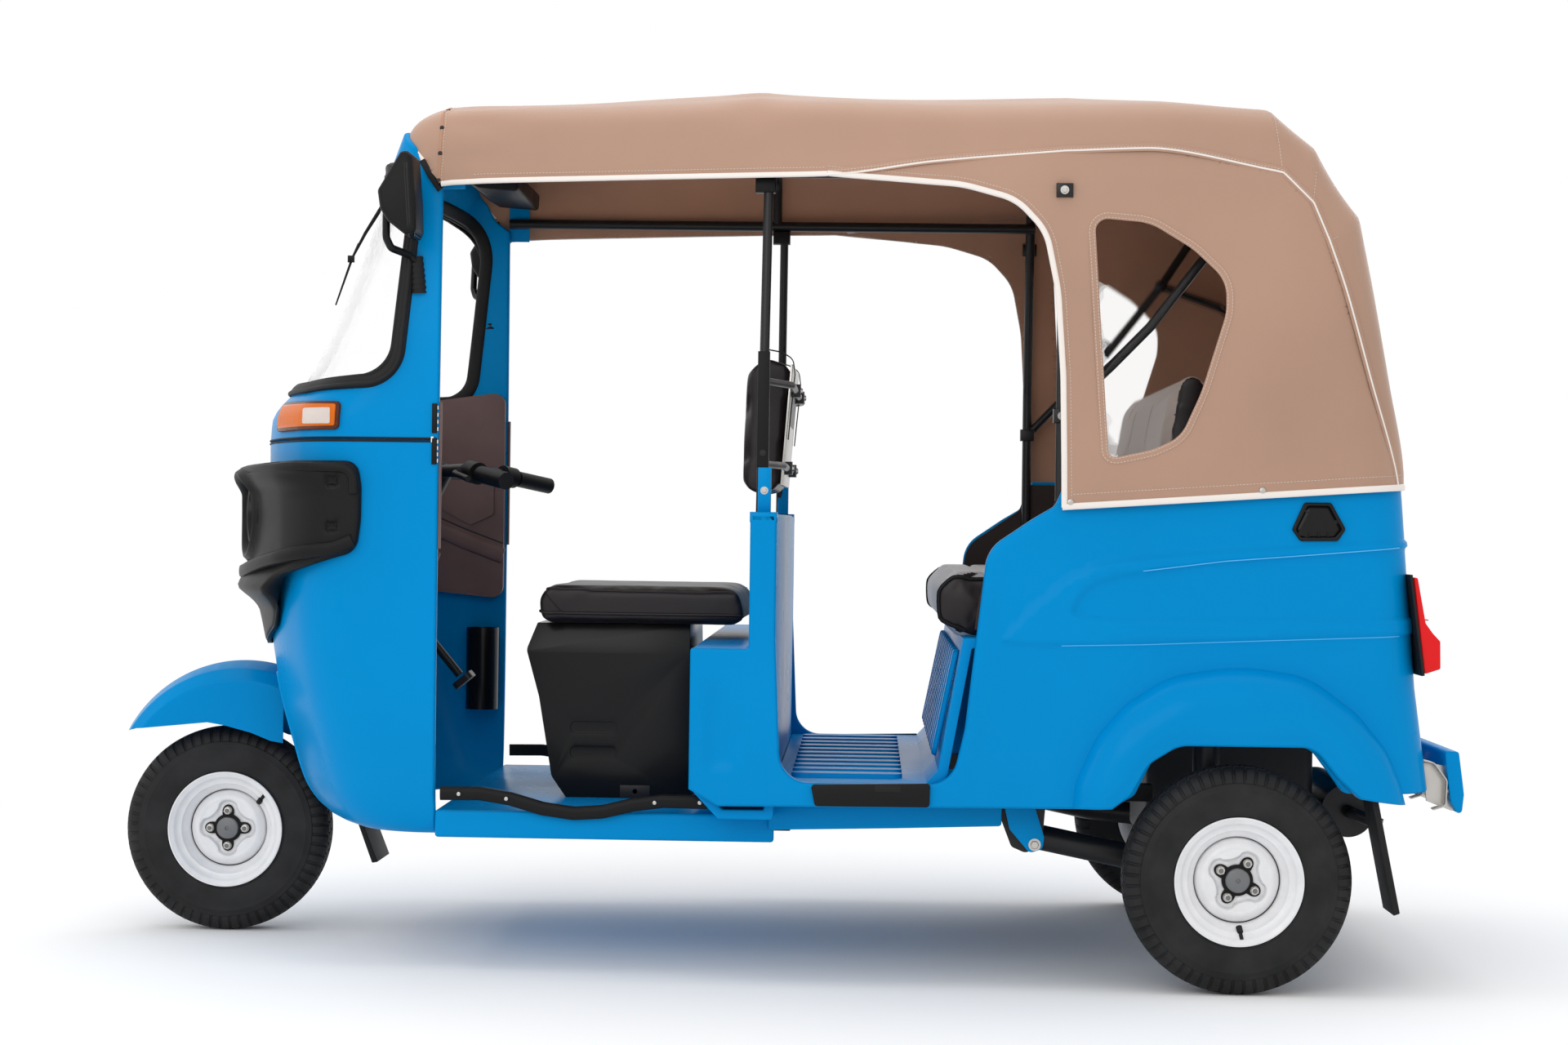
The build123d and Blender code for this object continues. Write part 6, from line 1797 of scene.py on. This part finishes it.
def pillow(name, node, cap, material, endMaterial=None):
    v = cushionValues
    piece = nodeCopy(name, node, material)
    co = meshPoints(piece.data)
    low, high = co.min(0), co.max(0)
    centre, size = (low + high) / 2, high - low
    co = centre + (co - centre) * (1 - 2 * v["shrink"] / size)
    piece.data.vertices.foreach_set("co", co.ravel())
    mod = piece.modifiers.new("mesh", "REMESH")
    mod.mode = "VOXEL"
    mod.voxel_size = v["mesh"]
    mod.use_smooth_shade = True
    mod = piece.modifiers.new("round", "SMOOTH")
    mod.factor = 0.5
    mod.iterations = 8
    bakeMods(piece)
    start = meshPoints(piece.data)
    mod = piece.modifiers.new("cover", "CLOTH")
    mod.settings.quality = v["quality"]
    mod.settings.mass = v["mass"]
    mod.settings.tension_stiffness = mod.settings.compression_stiffness = v["tension"]
    mod.settings.shear_stiffness = v["shear"]
    mod.settings.bending_stiffness = v["bending"]
    mod.settings.use_pressure = True
    mod.settings.uniform_pressure_force = v["pressure"]
    mod.settings.effector_weights.gravity = 0
    mod.collision_settings.use_collision = False
    mod.point_cache.frame_start = 1
    mod.point_cache.frame_end = v["frames"]
    for frameNumber in range(1, v["frames"] + 1):
        scene.frame_set(frameNumber)
    depsgraph = bpy.context.evaluated_depsgraph_get()
    moved = meshPoints(piece.evaluated_get(depsgraph).to_mesh())
    piece.evaluated_get(depsgraph).to_mesh_clear()
    piece.modifiers.clear()
    scene.frame_set(1)
    step = moved - start
    far = np.linalg.norm(step, axis=1)
    step *= np.minimum(1.0, cap / np.maximum(far, 1e-9))[:, None]
    moved = np.clip(start + step, low, high)
    piece.data.vertices.foreach_set("co", moved.ravel())
    piece.data.update()
    mod = piece.modifiers.new("finer", "SUBSURF")
    mod.levels = mod.render_levels = 1
    bakeMods(piece)
    piece.data.shade_smooth()
    if endMaterial:
        piece.data.materials.append(materials[endMaterial])
        for poly in piece.data.polygons:
            poly.material_index = 1 if abs(poly.normal.y) > v["endFace"] else 0
    return piece

def onPiece(piece, points, lift=0.0):
    # points moved to the surface of a piece
    bm = bmesh.new()
    bm.from_mesh(piece.data)
    tree = BVHTree.FromBMesh(bm)
    out, normals = [], []
    for p in points:
        q, n, _, _ = tree.find_nearest(Vector(p))
        out.append(q + n * lift)
        normals.append(n)
    bm.free()
    return out, normals

def grooved(piece, lines, width, depth):
    # sewn channels: the cover is drawn in along these lines of points
    co, nor = meshPoints(piece.data), meshPoints(piece.data, "normal")
    n = len(co)
    pull = np.zeros(n)
    for line in lines:
        pts = np.array([tuple(p) for p in line])
        best = np.full(n, 9.0)
        for a, b in zip(pts[:-1], pts[1:]):
            d = b - a
            t = np.clip(((co - a) @ d) / max(d @ d, 1e-12), 0, 1)
            best = np.minimum(best, np.linalg.norm(co - (a + t[:, None] * d), axis=1))
        pull = np.maximum(pull, np.exp(-(best / width) ** 2))
    co = co - nor * (pull * depth)[:, None]
    piece.data.vertices.foreach_set("co", co.ravel())
    piece.data.update()

seatValues = {
    "cushion": ((0.386, 0.65, 0.012), (0.326, 0.674, 0.022), (0.321, 0.738, 0.03), (0.352, 0.766, 0.03),
                (0.715, 0.756, 0.012)),
    "endY": 0.5,
    "channels": (0.43, 0.54, 0.65),
    "backChannels": (0.86, 0.98),
    "driverHalf": 0.248,
}

def makeRearSeat():
    v = seatValues
    seat = pillow("rearSeatCushion", "rear_seat_cushion", 0.016, "greyVinyl", "darkVinyl")
    line = rounded(v["cushion"], 0.006)
    line = spaced(line, 0.012, closed=False)
    parts = [seat]
    channels = [[(x, y, 0.775) for y in np.linspace(-0.47, 0.47, 60)] for x in v["channels"]]
    channels = [onPiece(seat, c)[0] for c in channels]
    grooved(seat, channels, 0.006, 0.0055)
    for sign in (-1, 1):
        edge, _ = onPiece(seat, [(x, sign * v["endY"], z) for x, z in line], 0.001)
        parts.append(tube("piping", edge, 0.0042, "blackPlastic", sides=8))
    for c in channels:
        pts, normals = onPiece(seat, [(p[0] + 0.004, p[1], p[2]) for p in c], 0.0004)
        parts.append(stitches("seatStitch", np.array([tuple(p) for p in pts]),
                              np.array([tuple(m) for m in normals]), 0.008))
    cushion = joined("rearSeatCushion", parts)
    settle(cushion, "root", "grey_vinyl", "rear_seat_cushion")
    back = pillow("rearSeatBack", "rear_seat_back", 0.014, "beigeVinyl", "darkVinyl")
    rows = []
    for z in v["backChannels"]:
        rows.append(onPiece(back, [(0.6 + (z - 0.79) * 0.18, y, z) for y in np.linspace(-0.48, 0.48, 60)])[0])
    for y in (-0.17, 0.17):
        rows.append(onPiece(back, [(0.6 + (z - 0.79) * 0.18, y, z) for z in np.linspace(0.8, 1.13, 30)])[0])
    grooved(back, rows, 0.007, 0.007)
    settle(back, "root", "dark_vinyl", "rear_seat_back")

def makeDriverSeat():
    v = seatValues
    seat = pillow("driverSeatCushion", "driver_seat_cushion", 0.01, "darkVinyl")
    half = v["driverHalf"]
    parts = [seat]
    for sign in (-1, 1):
        mitre, _ = onPiece(seat, [(-0.446 + t * 0.05, sign * (half - 0.004 + t * 0.012), 0.724 - 0.055 * t)
                                  for t in np.linspace(0, 1, 12)], 0.0003)
        parts.append(tube("mitreSeam", mitre, 0.0014, "darkVinyl", sides=6))
    low = [(-0.03, -half - 0.004, 0.668)] + [(x, -half - 0.004, 0.67) for x in np.linspace(-0.05, -0.44, 40)]
    low += [(-0.456, y, 0.672) for y in np.linspace(-half, half, 40)]
    low += [(x, half + 0.004, 0.67) for x in np.linspace(-0.44, -0.03, 40)]
    rim, _ = onPiece(seat, low, 0.0006)
    parts.append(tube("lowPiping", rim, 0.0032, "darkVinyl", sides=8))
    top = [(x, -half + 0.006, 0.724) for x in np.linspace(-0.05, -0.43, 40)] + [(-0.436, y, 0.726)
            for y in np.linspace(-half + 0.012, half - 0.012, 40)]
    top += [(x, half - 0.006, 0.724) for x in np.linspace(-0.43, -0.05, 40)]
    rim, _ = onPiece(seat, top, 0.0004)
    parts.append(tube("topPiping", rim, 0.0022, "darkVinyl", sides=8))
    seat = joined("driverSeatCushion", parts)
    settle(seat, "root", "dark_vinyl", "driver_seat_cushion")
    back = pillow("driverBackrest", "driver_backrest", 0.01, "darkVinyl")
    settle(back, "root", "dark_vinyl", "driver_backrest")

makeRearSeat()
makeDriverSeat()

# tub linings and the ribs on the seat's front wall
liningValues = {
    "line": ((0.566, 0.948, 0), (0.545, 0.889, 0.02), (0.508, 0.864, 0.04), (0.43, 0.809, 0.06),
             (0.408, 0.7, 0.05), (0.404, 0.662, 0),
             (1.06, 0.662, 0), (1.06, 0.948, 0)),
    "ribs": 11,
    "pitch": 0.092,
    "wallLine": ((0.331, 0.4), (0.378, 0.634)),
}

def makeLinings():
    v = liningValues
    line = spaced(rounded(v["line"], 0.008, closed=True), 0.02)
    left = panelSheet("liningLeft", line, sidePlace(0.5705), 0.003, "brownLining", edge=0.0015, grid=0.05,
                      step=0.016)
    return joined("sideLinings", [left, mirrored("liningRight", left)])

def makeWallRibs():
    parts = []
    (x0, z0), (x1, z1) = liningValues["wallLine"]
    lean = np.array([x1 - x0, z1 - z0]) / math.hypot(x1 - x0, z1 - z0)
    def place(flat, height):
        up, out = flat[:, 1], height + 0.001
        return np.stack([x0 + lean[0] * up - lean[1] * out, flat[:, 0], z0 + lean[1] * up + lean[0] * out], 1)
    for k in range(liningValues["ribs"]):
        y = (k - liningValues["ribs"] // 2) * liningValues["pitch"]
        outline = roundLine([(y - 0.02, 0.02), (y + 0.02, 0.02), (y + 0.02, 0.225), (y - 0.02, 0.225)], 0.016,
                            step=0.004)
        parts.append(panelSheet("wallRib", spaced(outline, 0.006), place, 0.004, "bodyPaint", relief=level(0.006),
                                edge=0.006, grid=0.02, step=0.006))
    return joined("seatWallRibs", parts)

settle(makeLinings(), "root", "dark_vinyl")
settle(makeWallRibs(), "root", "body_paint")
print("stage: seats")
# small fittings
def slab(name, outline, y0, y1, material, edge=0.002, radius=0.0, parts=2):
    # a plate between two side planes; outline in side view
    line = roundLine(outline, radius, step=0.004) if radius else list(outline)
    return softBlock(name, line, abs(y1 - y0), material, edge=edge, centre=(0, (y0 + y1) / 2, 0), parts=parts)

def bar(name, low, high, material, edge=0.002):
    # a block with softened edges between two corners
    outline = ((low[0], low[2]), (high[0], low[2]), (high[0], high[2]), (low[0], high[2]))
    return slab(name, outline, low[1], high[1], material, edge)

def bothHands(name, pieces):
    left = joined(name, pieces)
    return joined(name, [left, mirrored(name + "Right", left)])

def bolt(place, normal, radius=0.006, high=0.004, material="zincSteel"):
    head = [(radius * math.cos(math.radians(60 * i)), radius * math.sin(math.radians(60 * i))) for i in range(6)]
    piece = softBlock("boltHead", head, high, material, edge=radius * 0.12, centre=(0, 0, high / 2), plane="xy",
                      parts=1)
    washer = lathe("washer", [(0, high * 0.2), (radius * 1.45, high * 0.2), (radius * 1.5, -0.001)], material,
                   axis="z", sides=24)
    return standOn(joined("bolt", [piece, washer]), place, normal)

mirrorValues = {
    "shell": ((-0.707, 1.459), (-0.665, 1.531), (-0.653, 1.533), (-0.643, 1.524), (-0.636, 1.44), (-0.634, 1.38),
              (-0.656, 1.378),
              (-0.687, 1.402), (-0.702, 1.425)),
    "sides": (-0.534, -0.636),
    "rim": ((-0.6475, 1.526), (-0.6375, 1.374)),
    "arm": ((-0.654, -0.502, 1.34), (-0.664, -0.515, 1.35), (-0.694, -0.552, 1.36), (-0.701, -0.565, 1.378),
            (-0.7, -0.572, 1.43)),
    "boot": ((-0.65, -0.493, 1.281), (-0.653, -0.501, 1.35)),
}

def makeMirrors():
    v = mirrorValues
    y0, y1 = v["sides"]
    parts = [slab("mirrorShell", v["shell"], y0, y1, "blackPlastic", 0.012, radius=0.01, parts=4)]
    (x0, z0), (x1, z1) = v["rim"]
    lean = lambda f, h: np.stack([x0 + (x1 - x0) * (z0 - f[:, 1]) / (z0 - z1) + h, f[:, 0], f[:, 1]], 1)
    frame = roundLine([(y1 - 0.001, z1), (y0 + 0.001, z1), (y0 + 0.001, z0), (y1 - 0.001, z0)], 0.022, step=0.004)
    glass = insetLine(spaced(frame, 0.006), 0.0075, closed=True)
    parts.append(panelSheet("mirrorRim", frame, lean, 0.012, "satinPlastic", holes=[glass], edge=0.004, grid=0.02,
                            step=0.006))
    parts.append(panelSheet("mirrorGlass", glass, lean, 0.004, "mirrorGlass", relief=level(-0.004), edge=0.001,
                            grid=0.02, step=0.006))
    parts.append(tube("mirrorArm", v["arm"], 0.0072, "satinPlastic", bend=0.014, sides=14))
    ribs = lambda t: (1.35 - 0.45 * t) * (1 + 0.07 * math.cos(t * 40))
    low, high = Vector(v["boot"][0]), Vector(v["boot"][1])
    parts.append(tube("mirrorBoot", [low.lerp(high, t) for t in np.linspace(0, 1, 30)], 0.0115, "rubber", sides=18,
                      taper=ribs))
    return bothHands("mirrorPair", parts)

ventValues = {
    "frame": ((0.981, 0.855), (1.003, 0.905), (1.052, 0.905), (1.079, 0.857), (1.065, 0.835), (0.996, 0.834)),
    "mouth": ((0.988, 0.855), (1.009, 0.899), (1.048, 0.899), (1.072, 0.856), (1.059, 0.842), (0.998, 0.841)),
}

def makeVents():
    v = ventValues
    frame = spaced(roundLine(v["frame"], 0.006, step=0.003), 0.004)
    mouth = spaced(roundLine(v["mouth"], 0.005, step=0.003), 0.004)
    parts = [panelSheet("ventRim", frame, sidePlace(0.6), 0.004, "satinPlastic", holes=[mouth],
                        relief=level(0.0055), edge=0.002, grid=0.01, step=0.004),
             panelSheet("ventFloor", mouth, sidePlace(0.6), 0.002, "satinPlastic", relief=level(0.0022), edge=0.0,
                        grid=0.01, step=0.004)]
    for x in (1.012, 1.029, 1.046):
        parts.append(bar("ventDivider", (x - 0.0012, -0.6055, 0.8415), (x + 0.0012, -0.6, 0.8505), "satinPlastic",
                         0.0006))
    return bothHands("sideVents", parts)

tailValues = {
    "strip": ((1.2, 0.775), (1.205, 0.775), (1.2295, 0.59), (1.2245, 0.589)),
    "lens": ((1.207, 0.771), (1.2155, 0.769), (1.231, 0.686), (1.244, 0.668), (1.258, 0.653), (1.259, 0.602),
             (1.229, 0.592)),
    "sides": (-0.43, -0.584),
}

def makeTailLamps():
    v = tailValues
    y0, y1 = v["sides"]
    parts = [slab("lampGasket", v["strip"], y0 + 0.006, y1 - 0.004, "rubber", 0.0012),
             slab("lampLens", v["lens"], y0, y1, "redLens", 0.0035, radius=0.004, parts=3)]
    x = 1.2588
    for z in (0.64, 0.625, 0.61):
        parts.append(bar("lensRib", (x, y1 + 0.012, z - 0.0012), (x + 0.0012, y0 - 0.012, z + 0.0012), "redLens",
                         0.0005))
    parts.append(bar("amberPart", (1.2385, -0.56, 0.69), (1.2405, -0.455, 0.692), "amberLens", 0.0004))
    return bothHands("tailLampPair", parts)

postValues = {
    "sleeve": (-0.004, 0.018, 0.958, 1.174, 0.557),
    "socket": (-0.001, 0.023, 0.874, 0.958, 0.56),
    "collar": (-0.014, 0.036, 0.856, 0.875, 0.6),
}

def makePosts():
    v = postValues
    parts = []
    for key, material, half, edge in (("sleeve", "blackPlastic", 0.011, 0.002),
                                      ("socket", "bodyPaint", 0.0135, 0.003),
                                      ("collar", "bodyPaint", 0.024, 0.004)):
        x0, x1, z0, z1, y = v[key]
        middle = y - half if key == "collar" else 0.552
        parts.append(bar(key, (x0, -middle - half, z0), (x1, -middle + half, z1), material, edge))
    parts.append(bolt((0.011, -0.5655, 0.915), (0, -1, 0), 0.005, 0.003))
    parts.append(bolt((0.007, -0.563, 0.985), (0, -1, 0), 0.004, 0.003, "blackSteel"))
    return bothHands("postSleeves", parts)

def makeHoodFrameFittings():
    parts = []
    parts.append(bar("railBracket", (-0.61, -0.4915, 1.479), (-0.565, -0.4865, 1.558), "bodyPaint", 0.0015))
    parts.append(bolt((-0.589, -0.4915, 1.522), (0, -1, 0), 0.006, 0.0045))
    parts.append(bar("bowBlock", (-0.016, -0.494, 1.478), (0.022, -0.462, 1.506), "blackPlastic", 0.004))
    for x, z in ((0.56, 1.478), (0.56, 1.06)):
        parts.append(bar("bowClamp", (x - 0.015, -0.571, z - 0.013), (x + 0.016, -0.541, z + 0.013), "blackSteel",
                         0.003))
        parts.append(bolt((x, -0.571, z), (0, -1, 0), 0.0055, 0.004))
    return bothHands("frameFittings", parts)

backrestValues = {
    "plate": ((0.047, 1.17), (0.052, 1.17), (0.034, 0.93), (0.029, 0.93)),
}

def makeBackrestFittings():
    v = backrestValues
    parts = [slab("backPlate", v["plate"], -0.215, 0.215, "zincSteel", 0.001)]
    for z, x in ((0.965, 0.04), (1.12, 0.055)):
        for y in (-0.15, 0.15):
            parts.append(bar("backClamp", (x - 0.016, y - 0.022, z - 0.013), (x + 0.011, y + 0.022, z + 0.013),
                             "blackSteel", 0.003))
            parts.append(bolt((x + 0.011, y, z), (1, 0, 0), 0.0055, 0.004))
    for y in (-0.226, 0.226):
        strap = [(-0.002, y, 1.199), (0.03, y, 1.1935), (0.052, y, 1.18), (0.056, y, 1.15), (0.044, y, 1.02)]
        strap = spaced(roundLine(strap, 0.02, closed=False, step=0.005), 0.006, closed=False)
        parts.append(ribbon("backStrap", strap, np.tile([0.45, 0.0, 0.9], (len(strap), 1)), 0.016, 0.0022,
                            "rubber"))
    return joined("backrestPlate", parts)

boxValues = {"lock": (-0.16, 0.404), "bolt": (-0.252, 0.318), "clip": (-0.3, 0.3)}

def makeSeatBoxFittings():
    x, z = boxValues["lock"]
    parts = [lathe("lockRing", [(0.0, 0.0012), (0.005, 0.0012), (0.0075, 0.0022), (0.008, 0.0), (0.008, -0.002)],
                   "zincSteel", axis="z", sides=28)]
    parts.append(bar("lockSlot", (-0.0008, -0.0035, 0.0005), (0.0008, 0.0035, 0.0016), "blackSteel", 0.0002))
    lock = joined("seatLock", parts)
    lock.data.transform(Matrix.Translation((x, -0.2125, z)) @ Matrix.Rotation(math.radians(90), 4, "X"))
    whole = [lock]
    for sign in (-1, 1):
        bx, bz = boxValues["bolt"]
        whole.append(bolt((bx, sign * 0.215, bz), (0, sign, 0), 0.006, 0.004))
        whole.append(bar("footTab", (bx - 0.03, sign * 0.215, 0.304), (bx + 0.03, sign * 0.219, 0.33),
                         "blackSteel", 0.001))
    return joined("seatBoxFittings", whole)

cabTrimValues = {
    "beadEnd": 0.012,
    "strip": (-0.6075, 0.798, 1.075),
    "hinges": ((0.957, 1.007), (1.016, 1.072)),
}

def makeCabTrim():
    v = cabTrimValues
    form = apronForm
    parts = []
    flat = [(s, form["top"]) for s in np.linspace(v["beadEnd"], lengthAt(form, form["top"]), 150)]
    for off in (0.003, -0.003):
        line = onForm(form, flat, 0.0002)
        line[:, 2] += off
        parts.append(ribbon("seamBead", line, line - onForm(form, flat, -0.01), 0.0032, 0.003, "rubber"))
    parts.append(bar("beadClip", (-0.6215, -0.509, 0.9985), (-0.6165, -0.504, 1.0095), "creamPiping", 0.0008))
    x, z0, z1 = v["strip"]
    parts.append(bar("doorEdge", (x, -0.5, z0), (x + 0.0045, -0.4885, z1), "dashPlastic", 0.001))
    for low, high in v["hinges"]:
        parts.append(bar("hingeStrip", (-0.62, -0.509, low), (-0.6105, -0.5035, high), "blackPlastic", 0.0008))
        for k in range(4):
            z = low + (high - low) * (0.14 + 0.24 * k)
            parts.append(bar("hingeSlot", (-0.61, -0.507, z - 0.0035), (-0.608, -0.503, z + 0.0035),
                             "creamPiping", 0.0004))
    for z in (1.027, 1.058):
        parts.append(studPiece("rivet", (-0.634, -0.5035, z), (0, -1, 0), 0.0032, 0.0016, "bodyPaint"))
    return bothHands("cabTrim", parts)

dashValues = {
    "face": 0.4605,
    "dots": (-0.684, 0.902, 0.0072),
    "speaker": ((-0.748, 0.942), (-0.642, 0.942), (-0.642, 0.874), (-0.686, 0.852), (-0.748, 0.884)),
    "centre": (0.026, 0.04),
    "split": ((-0.758, 0.858), (-0.7, 0.833), (-0.613, 0.801)),
}

def makeDashDetails():
    v = dashValues
    cx, cz, pitch = v["dots"]
    verts, faces = [], []
    for row in range(-7, 8):
        for col in range(-10, 11):
            x, z = cx + (col + 0.5 * (row % 2)) * pitch, cz + row * pitch * 0.86
            if not insideLine(np.array([[x, z]]), v["speaker"])[0]:
                continue
            near = math.hypot((x - cx) / v["centre"][0], (z - cz) / v["centre"][1]) < 1
            if not near and (row % 2 or col % 2):
                continue
            radius = 0.0022 if near else 0.0017
            base = len(verts)
            verts += [(x + radius * math.cos(a), -v["face"], z + radius * math.sin(a)) for a in np.linspace(0,
                    2 * math.pi, 9)[:-1]]
            faces.append(tuple(range(base, base + 8)))
    parts = [meshPiece("speakerHoles", verts, faces, "blackSteel")]
    line = spaced(v["split"], 0.006, closed=False)
    groove = np.stack([line[:, 0], np.full(len(line), -0.465), line[:, 1]], 1)
    parts.append(ribbon("dashSplit", groove, np.tile([0, 1.0, 0], (len(line), 1)), 0.0032, 0.0008, "blackSteel"))
    beam = np.stack([line[:, 0], np.full(len(line), -0.464), line[:, 1] - 0.028], 1)
    parts.append(ribbon("dashBeam", beam, np.tile([0, 1.0, 0], (len(line), 1)), 0.034, 0.008, "dashPlastic"))
    return bothHands("dashDetails", parts)

bumperValues = {
    "blade": ((1.282, 0.447), (1.308, 0.446), (1.3165, 0.383), (1.3185, 0.366), (1.315, 0.333), (1.306, 0.331),
              (1.294, 0.353), (1.286, 0.412)),
    "arm": ((1.246, 0.424), (1.289, 0.418), (1.296, 0.4), (1.308, 0.34), (1.3, 0.334), (1.252, 0.352)),
    "strap": ((1.243, 0.428), (1.262, 0.424), (1.286, 0.392), (1.284, 0.345), (1.262, 0.338)),
}

def makeRearFittings():
    v = bumperValues
    parts = []
    for y in (-0.5, -0.29):
        parts.append(slab("bumperArm", v["arm"], y - 0.002, y + 0.002, "zincSteel", 0.0008))
    for y in (-0.508, -0.298):
        line = spaced(roundLine([(x, y, z) for x, z in v["strap"]], 0.01, closed=False, step=0.004), 0.005,
                      closed=False)
        t = np.gradient(line, axis=0)
        normal = np.stack([t[:, 2], 0 * t[:, 0], -t[:, 0]], 1)
        parts.append(ribbon("bumperStrap", line, normal, 0.024, 0.0035, "zincSteel"))
    parts.append(bolt((1.2885, -0.505, 0.372), (1, 0, 0), 0.006, 0.004))
    return bothHands("bumperStraps", parts)

sillValues = {
    "line": ((-0.596, 0.336), (-0.521, 0.337), (-0.465, 0.328), (-0.402, 0.31), (-0.343, 0.302), (-0.288, 0.306),
             (-0.232, 0.32), (-0.174, 0.328), (-0.092, 0.327)),
    "wide": 0.025,
    "step": ((0.105, 0.374), (0.325, 0.379), (0.324, 0.335), (0.113, 0.334)),
    "rail": ((0.024, 0.322), (0.462, 0.33), (0.462, 0.291), (0.267, 0.284), (0.024, 0.277)),
}

def makeSills():
    v = sillValues
    line = spaced(roundLine(v["line"], 0.06, closed=False, step=0.008), 0.01, closed=False)
    line = np.stack([line[:, 0], np.full(len(line), -0.5), line[:, 1]], 1)
    parts = [ribbon("driverSill", line, np.tile([0, -1.0, 0], (len(line), 1)), v["wide"], 0.016, "blackPlastic")]
    parts.append(slab("stepPlate", v["step"], -0.6075, -0.598, "blackPlastic", 0.002, radius=0.006))
    parts.append(bar("stepNotch", (0.222, -0.6085, 0.362), (0.272, -0.606, 0.375), "rubber", 0.001))
    return bothHands("sillTrims", parts)

def makeRails():
    return bothHands("sideRails", [slab("sideRail", sillValues["rail"], -0.5, -0.47, "bodyPaint", 0.003,
                                        radius=0.006)])

def makeFloorFittings():
    parts = []
    for x in (-0.56, -0.47, -0.19, -0.105):
        z = float(np.interp(x, [q[0] for q in sillValues["line"]], [q[1] for q in sillValues["line"]]))
        parts.append(studPiece("trimScrew", (x, -0.5105, z), (0, -1, 0), 0.004, 0.002, "zincSteel"))
    return bothHands("sillScrews", parts)

wiperValues = {
    "arm": ((-0.8, -0.04, 1.502), (-0.838, -0.04, 1.44), (-0.866, -0.04, 1.386)),
    "blade": ((-0.852, -0.036, 1.42), (-0.866, -0.036, 1.386), (-0.88, -0.036, 1.345), (-0.898, -0.036, 1.292)),
}

def makeWiper():
    v = wiperValues
    parts = [tube("wiperArm", v["arm"], 0.0034, "blackPlastic", taper=lambda t: 1.3 - 0.6 * t)]
    parts.append(tube("wiperBlade", v["blade"], 0.0028, "rubber", taper=lambda t: 1.0 - 0.7 * abs(t - 0.4)))
    parts.append(bar("wiperKnuckle", (-0.873, -0.046, 1.38), (-0.86, -0.034, 1.394), "blackPlastic", 0.002))
    return joined("wiperArm", parts)

edgeValues = {
    "upper": (0.706, 1.19),      # where the painted fold highlight starts and stops along x
    "lower": (0.56, 1.19),
    "radius": 0.0011,
}

def makePaintedFoldHighlights():
    # painted highlight: thin tubes of a lighter blue paint stand for the light that the sharp folds of the side
    # pressing catch along thin lines
    v = edgeValues
    parts = []
    for key, span in (("upperCrease", v["upper"]), ("lowerCrease", v["lower"])):
        line = np.array([p for p in spaced(roundLine(tubValues[key], 0.05, closed=False, step=0.01), 0.012,
                                           closed=False) if span[0] <= p[0] <= span[1]])
        points = tubPlace(line, tubRelief(line) + 0.0002)
        parts.append(tube("foldHighlightLine", points, v["radius"], "paintedFoldHighlight", sides=8))
    return bothHands("paintedFoldHighlights", parts)

oddValues = {
    "visor": ((-0.673, 1.58), (-0.539, 1.585), (-0.541, 1.546), (-0.628, 1.553)),
    "strip": ((-0.647, -0.496, 1.532), (-0.63, -0.4985, 1.503), (-0.611, -0.5, 1.476)),
    "link": ((0.466, 0.332), (0.523, 0.332), (0.542, 0.272), (0.539, 0.25), (0.515, 0.242), (0.477, 0.286)),
}

def makeCabOddments():
    v = oddValues
    far = []
    for x, z, r in ((-0.633, 1.278, 0.0085), (-0.592, 1.522, 0.0085)):
        far.append(bolt((x, 0.488, z), (0, -1, 0), r, 0.005, "bodyPaint"))
    far.append(studPiece("pillarHole", (-0.626, 0.488, 1.448), (0, -1, 0), 0.0055, 0.001, "rubber"))
    visor = slab("visor", v["visor"], 0.1, 0.46, "blackPlastic", 0.006, radius=0.008)
    line = spaced(v["strip"], 0.006, closed=False)
    parts = [ribbon("weatherStrip", line, np.tile([0.0, -1.0, 0.0], (len(line), 1)), 0.012, 0.006, "rubber")]
    parts.append(slab("linkPlate", v["link"], -0.5035, -0.4985, "bodyPaint", 0.0012, radius=0.01))
    parts.append(bolt((0.524, -0.5035, 0.258), (0, -1, 0), 0.008, 0.006))
    return joined("cabOddments", [bothHands("oddPair", parts), visor] + far)

def makeBumper():
    return slab("bumperBlade", bumperValues["blade"], -0.52, 0.52, "bodyPaint", 0.004, radius=0.006, parts=3)

for make, slot, *hides in (
        (makeMirrors, "black_plastic", "mirrors"),
        (makeVents, "black_plastic", "side_vents"),
        (makeTailLamps, "red_lens", "tail_lamps"),
        (makePosts, "black_steel"),
        (makeHoodFrameFittings, "black_steel"),
        (makeBackrestFittings, "black_steel"),
        (makeSeatBoxFittings, "black_steel"),
        (makeCabTrim, "rubber"),
        (makeDashDetails, "dash_plastic"),
        (makeRearFittings, "black_steel"),
        (makeBumper, "body_paint", "rear_bumper"),
        (makeCabOddments, "black_plastic"),
        (makeSills, "black_plastic", "sill_trims"),
        (makeRails, "body_paint"),
        (makeWiper, "black_plastic", "wiper"),
        (makePaintedFoldHighlights, "body_paint"),
        (makeFloorFittings, "black_plastic")):
    settle(make(), "root", slot, *hides)
for name, node, material, width, slot in (
        ("visibleSeatBox", "driver_seat_box", "satinPlastic", 0.0015, "black_plastic"),
        ("bottleCup", "bottle_holder", "satinPlastic", 0.0012, "black_plastic"),
        ("mudFlaps", "mud_flaps", "rubber", 0.002, "rubber")):
    settle(softened(name, node, material, width), "root", slot, node)
print("stage: fittings")
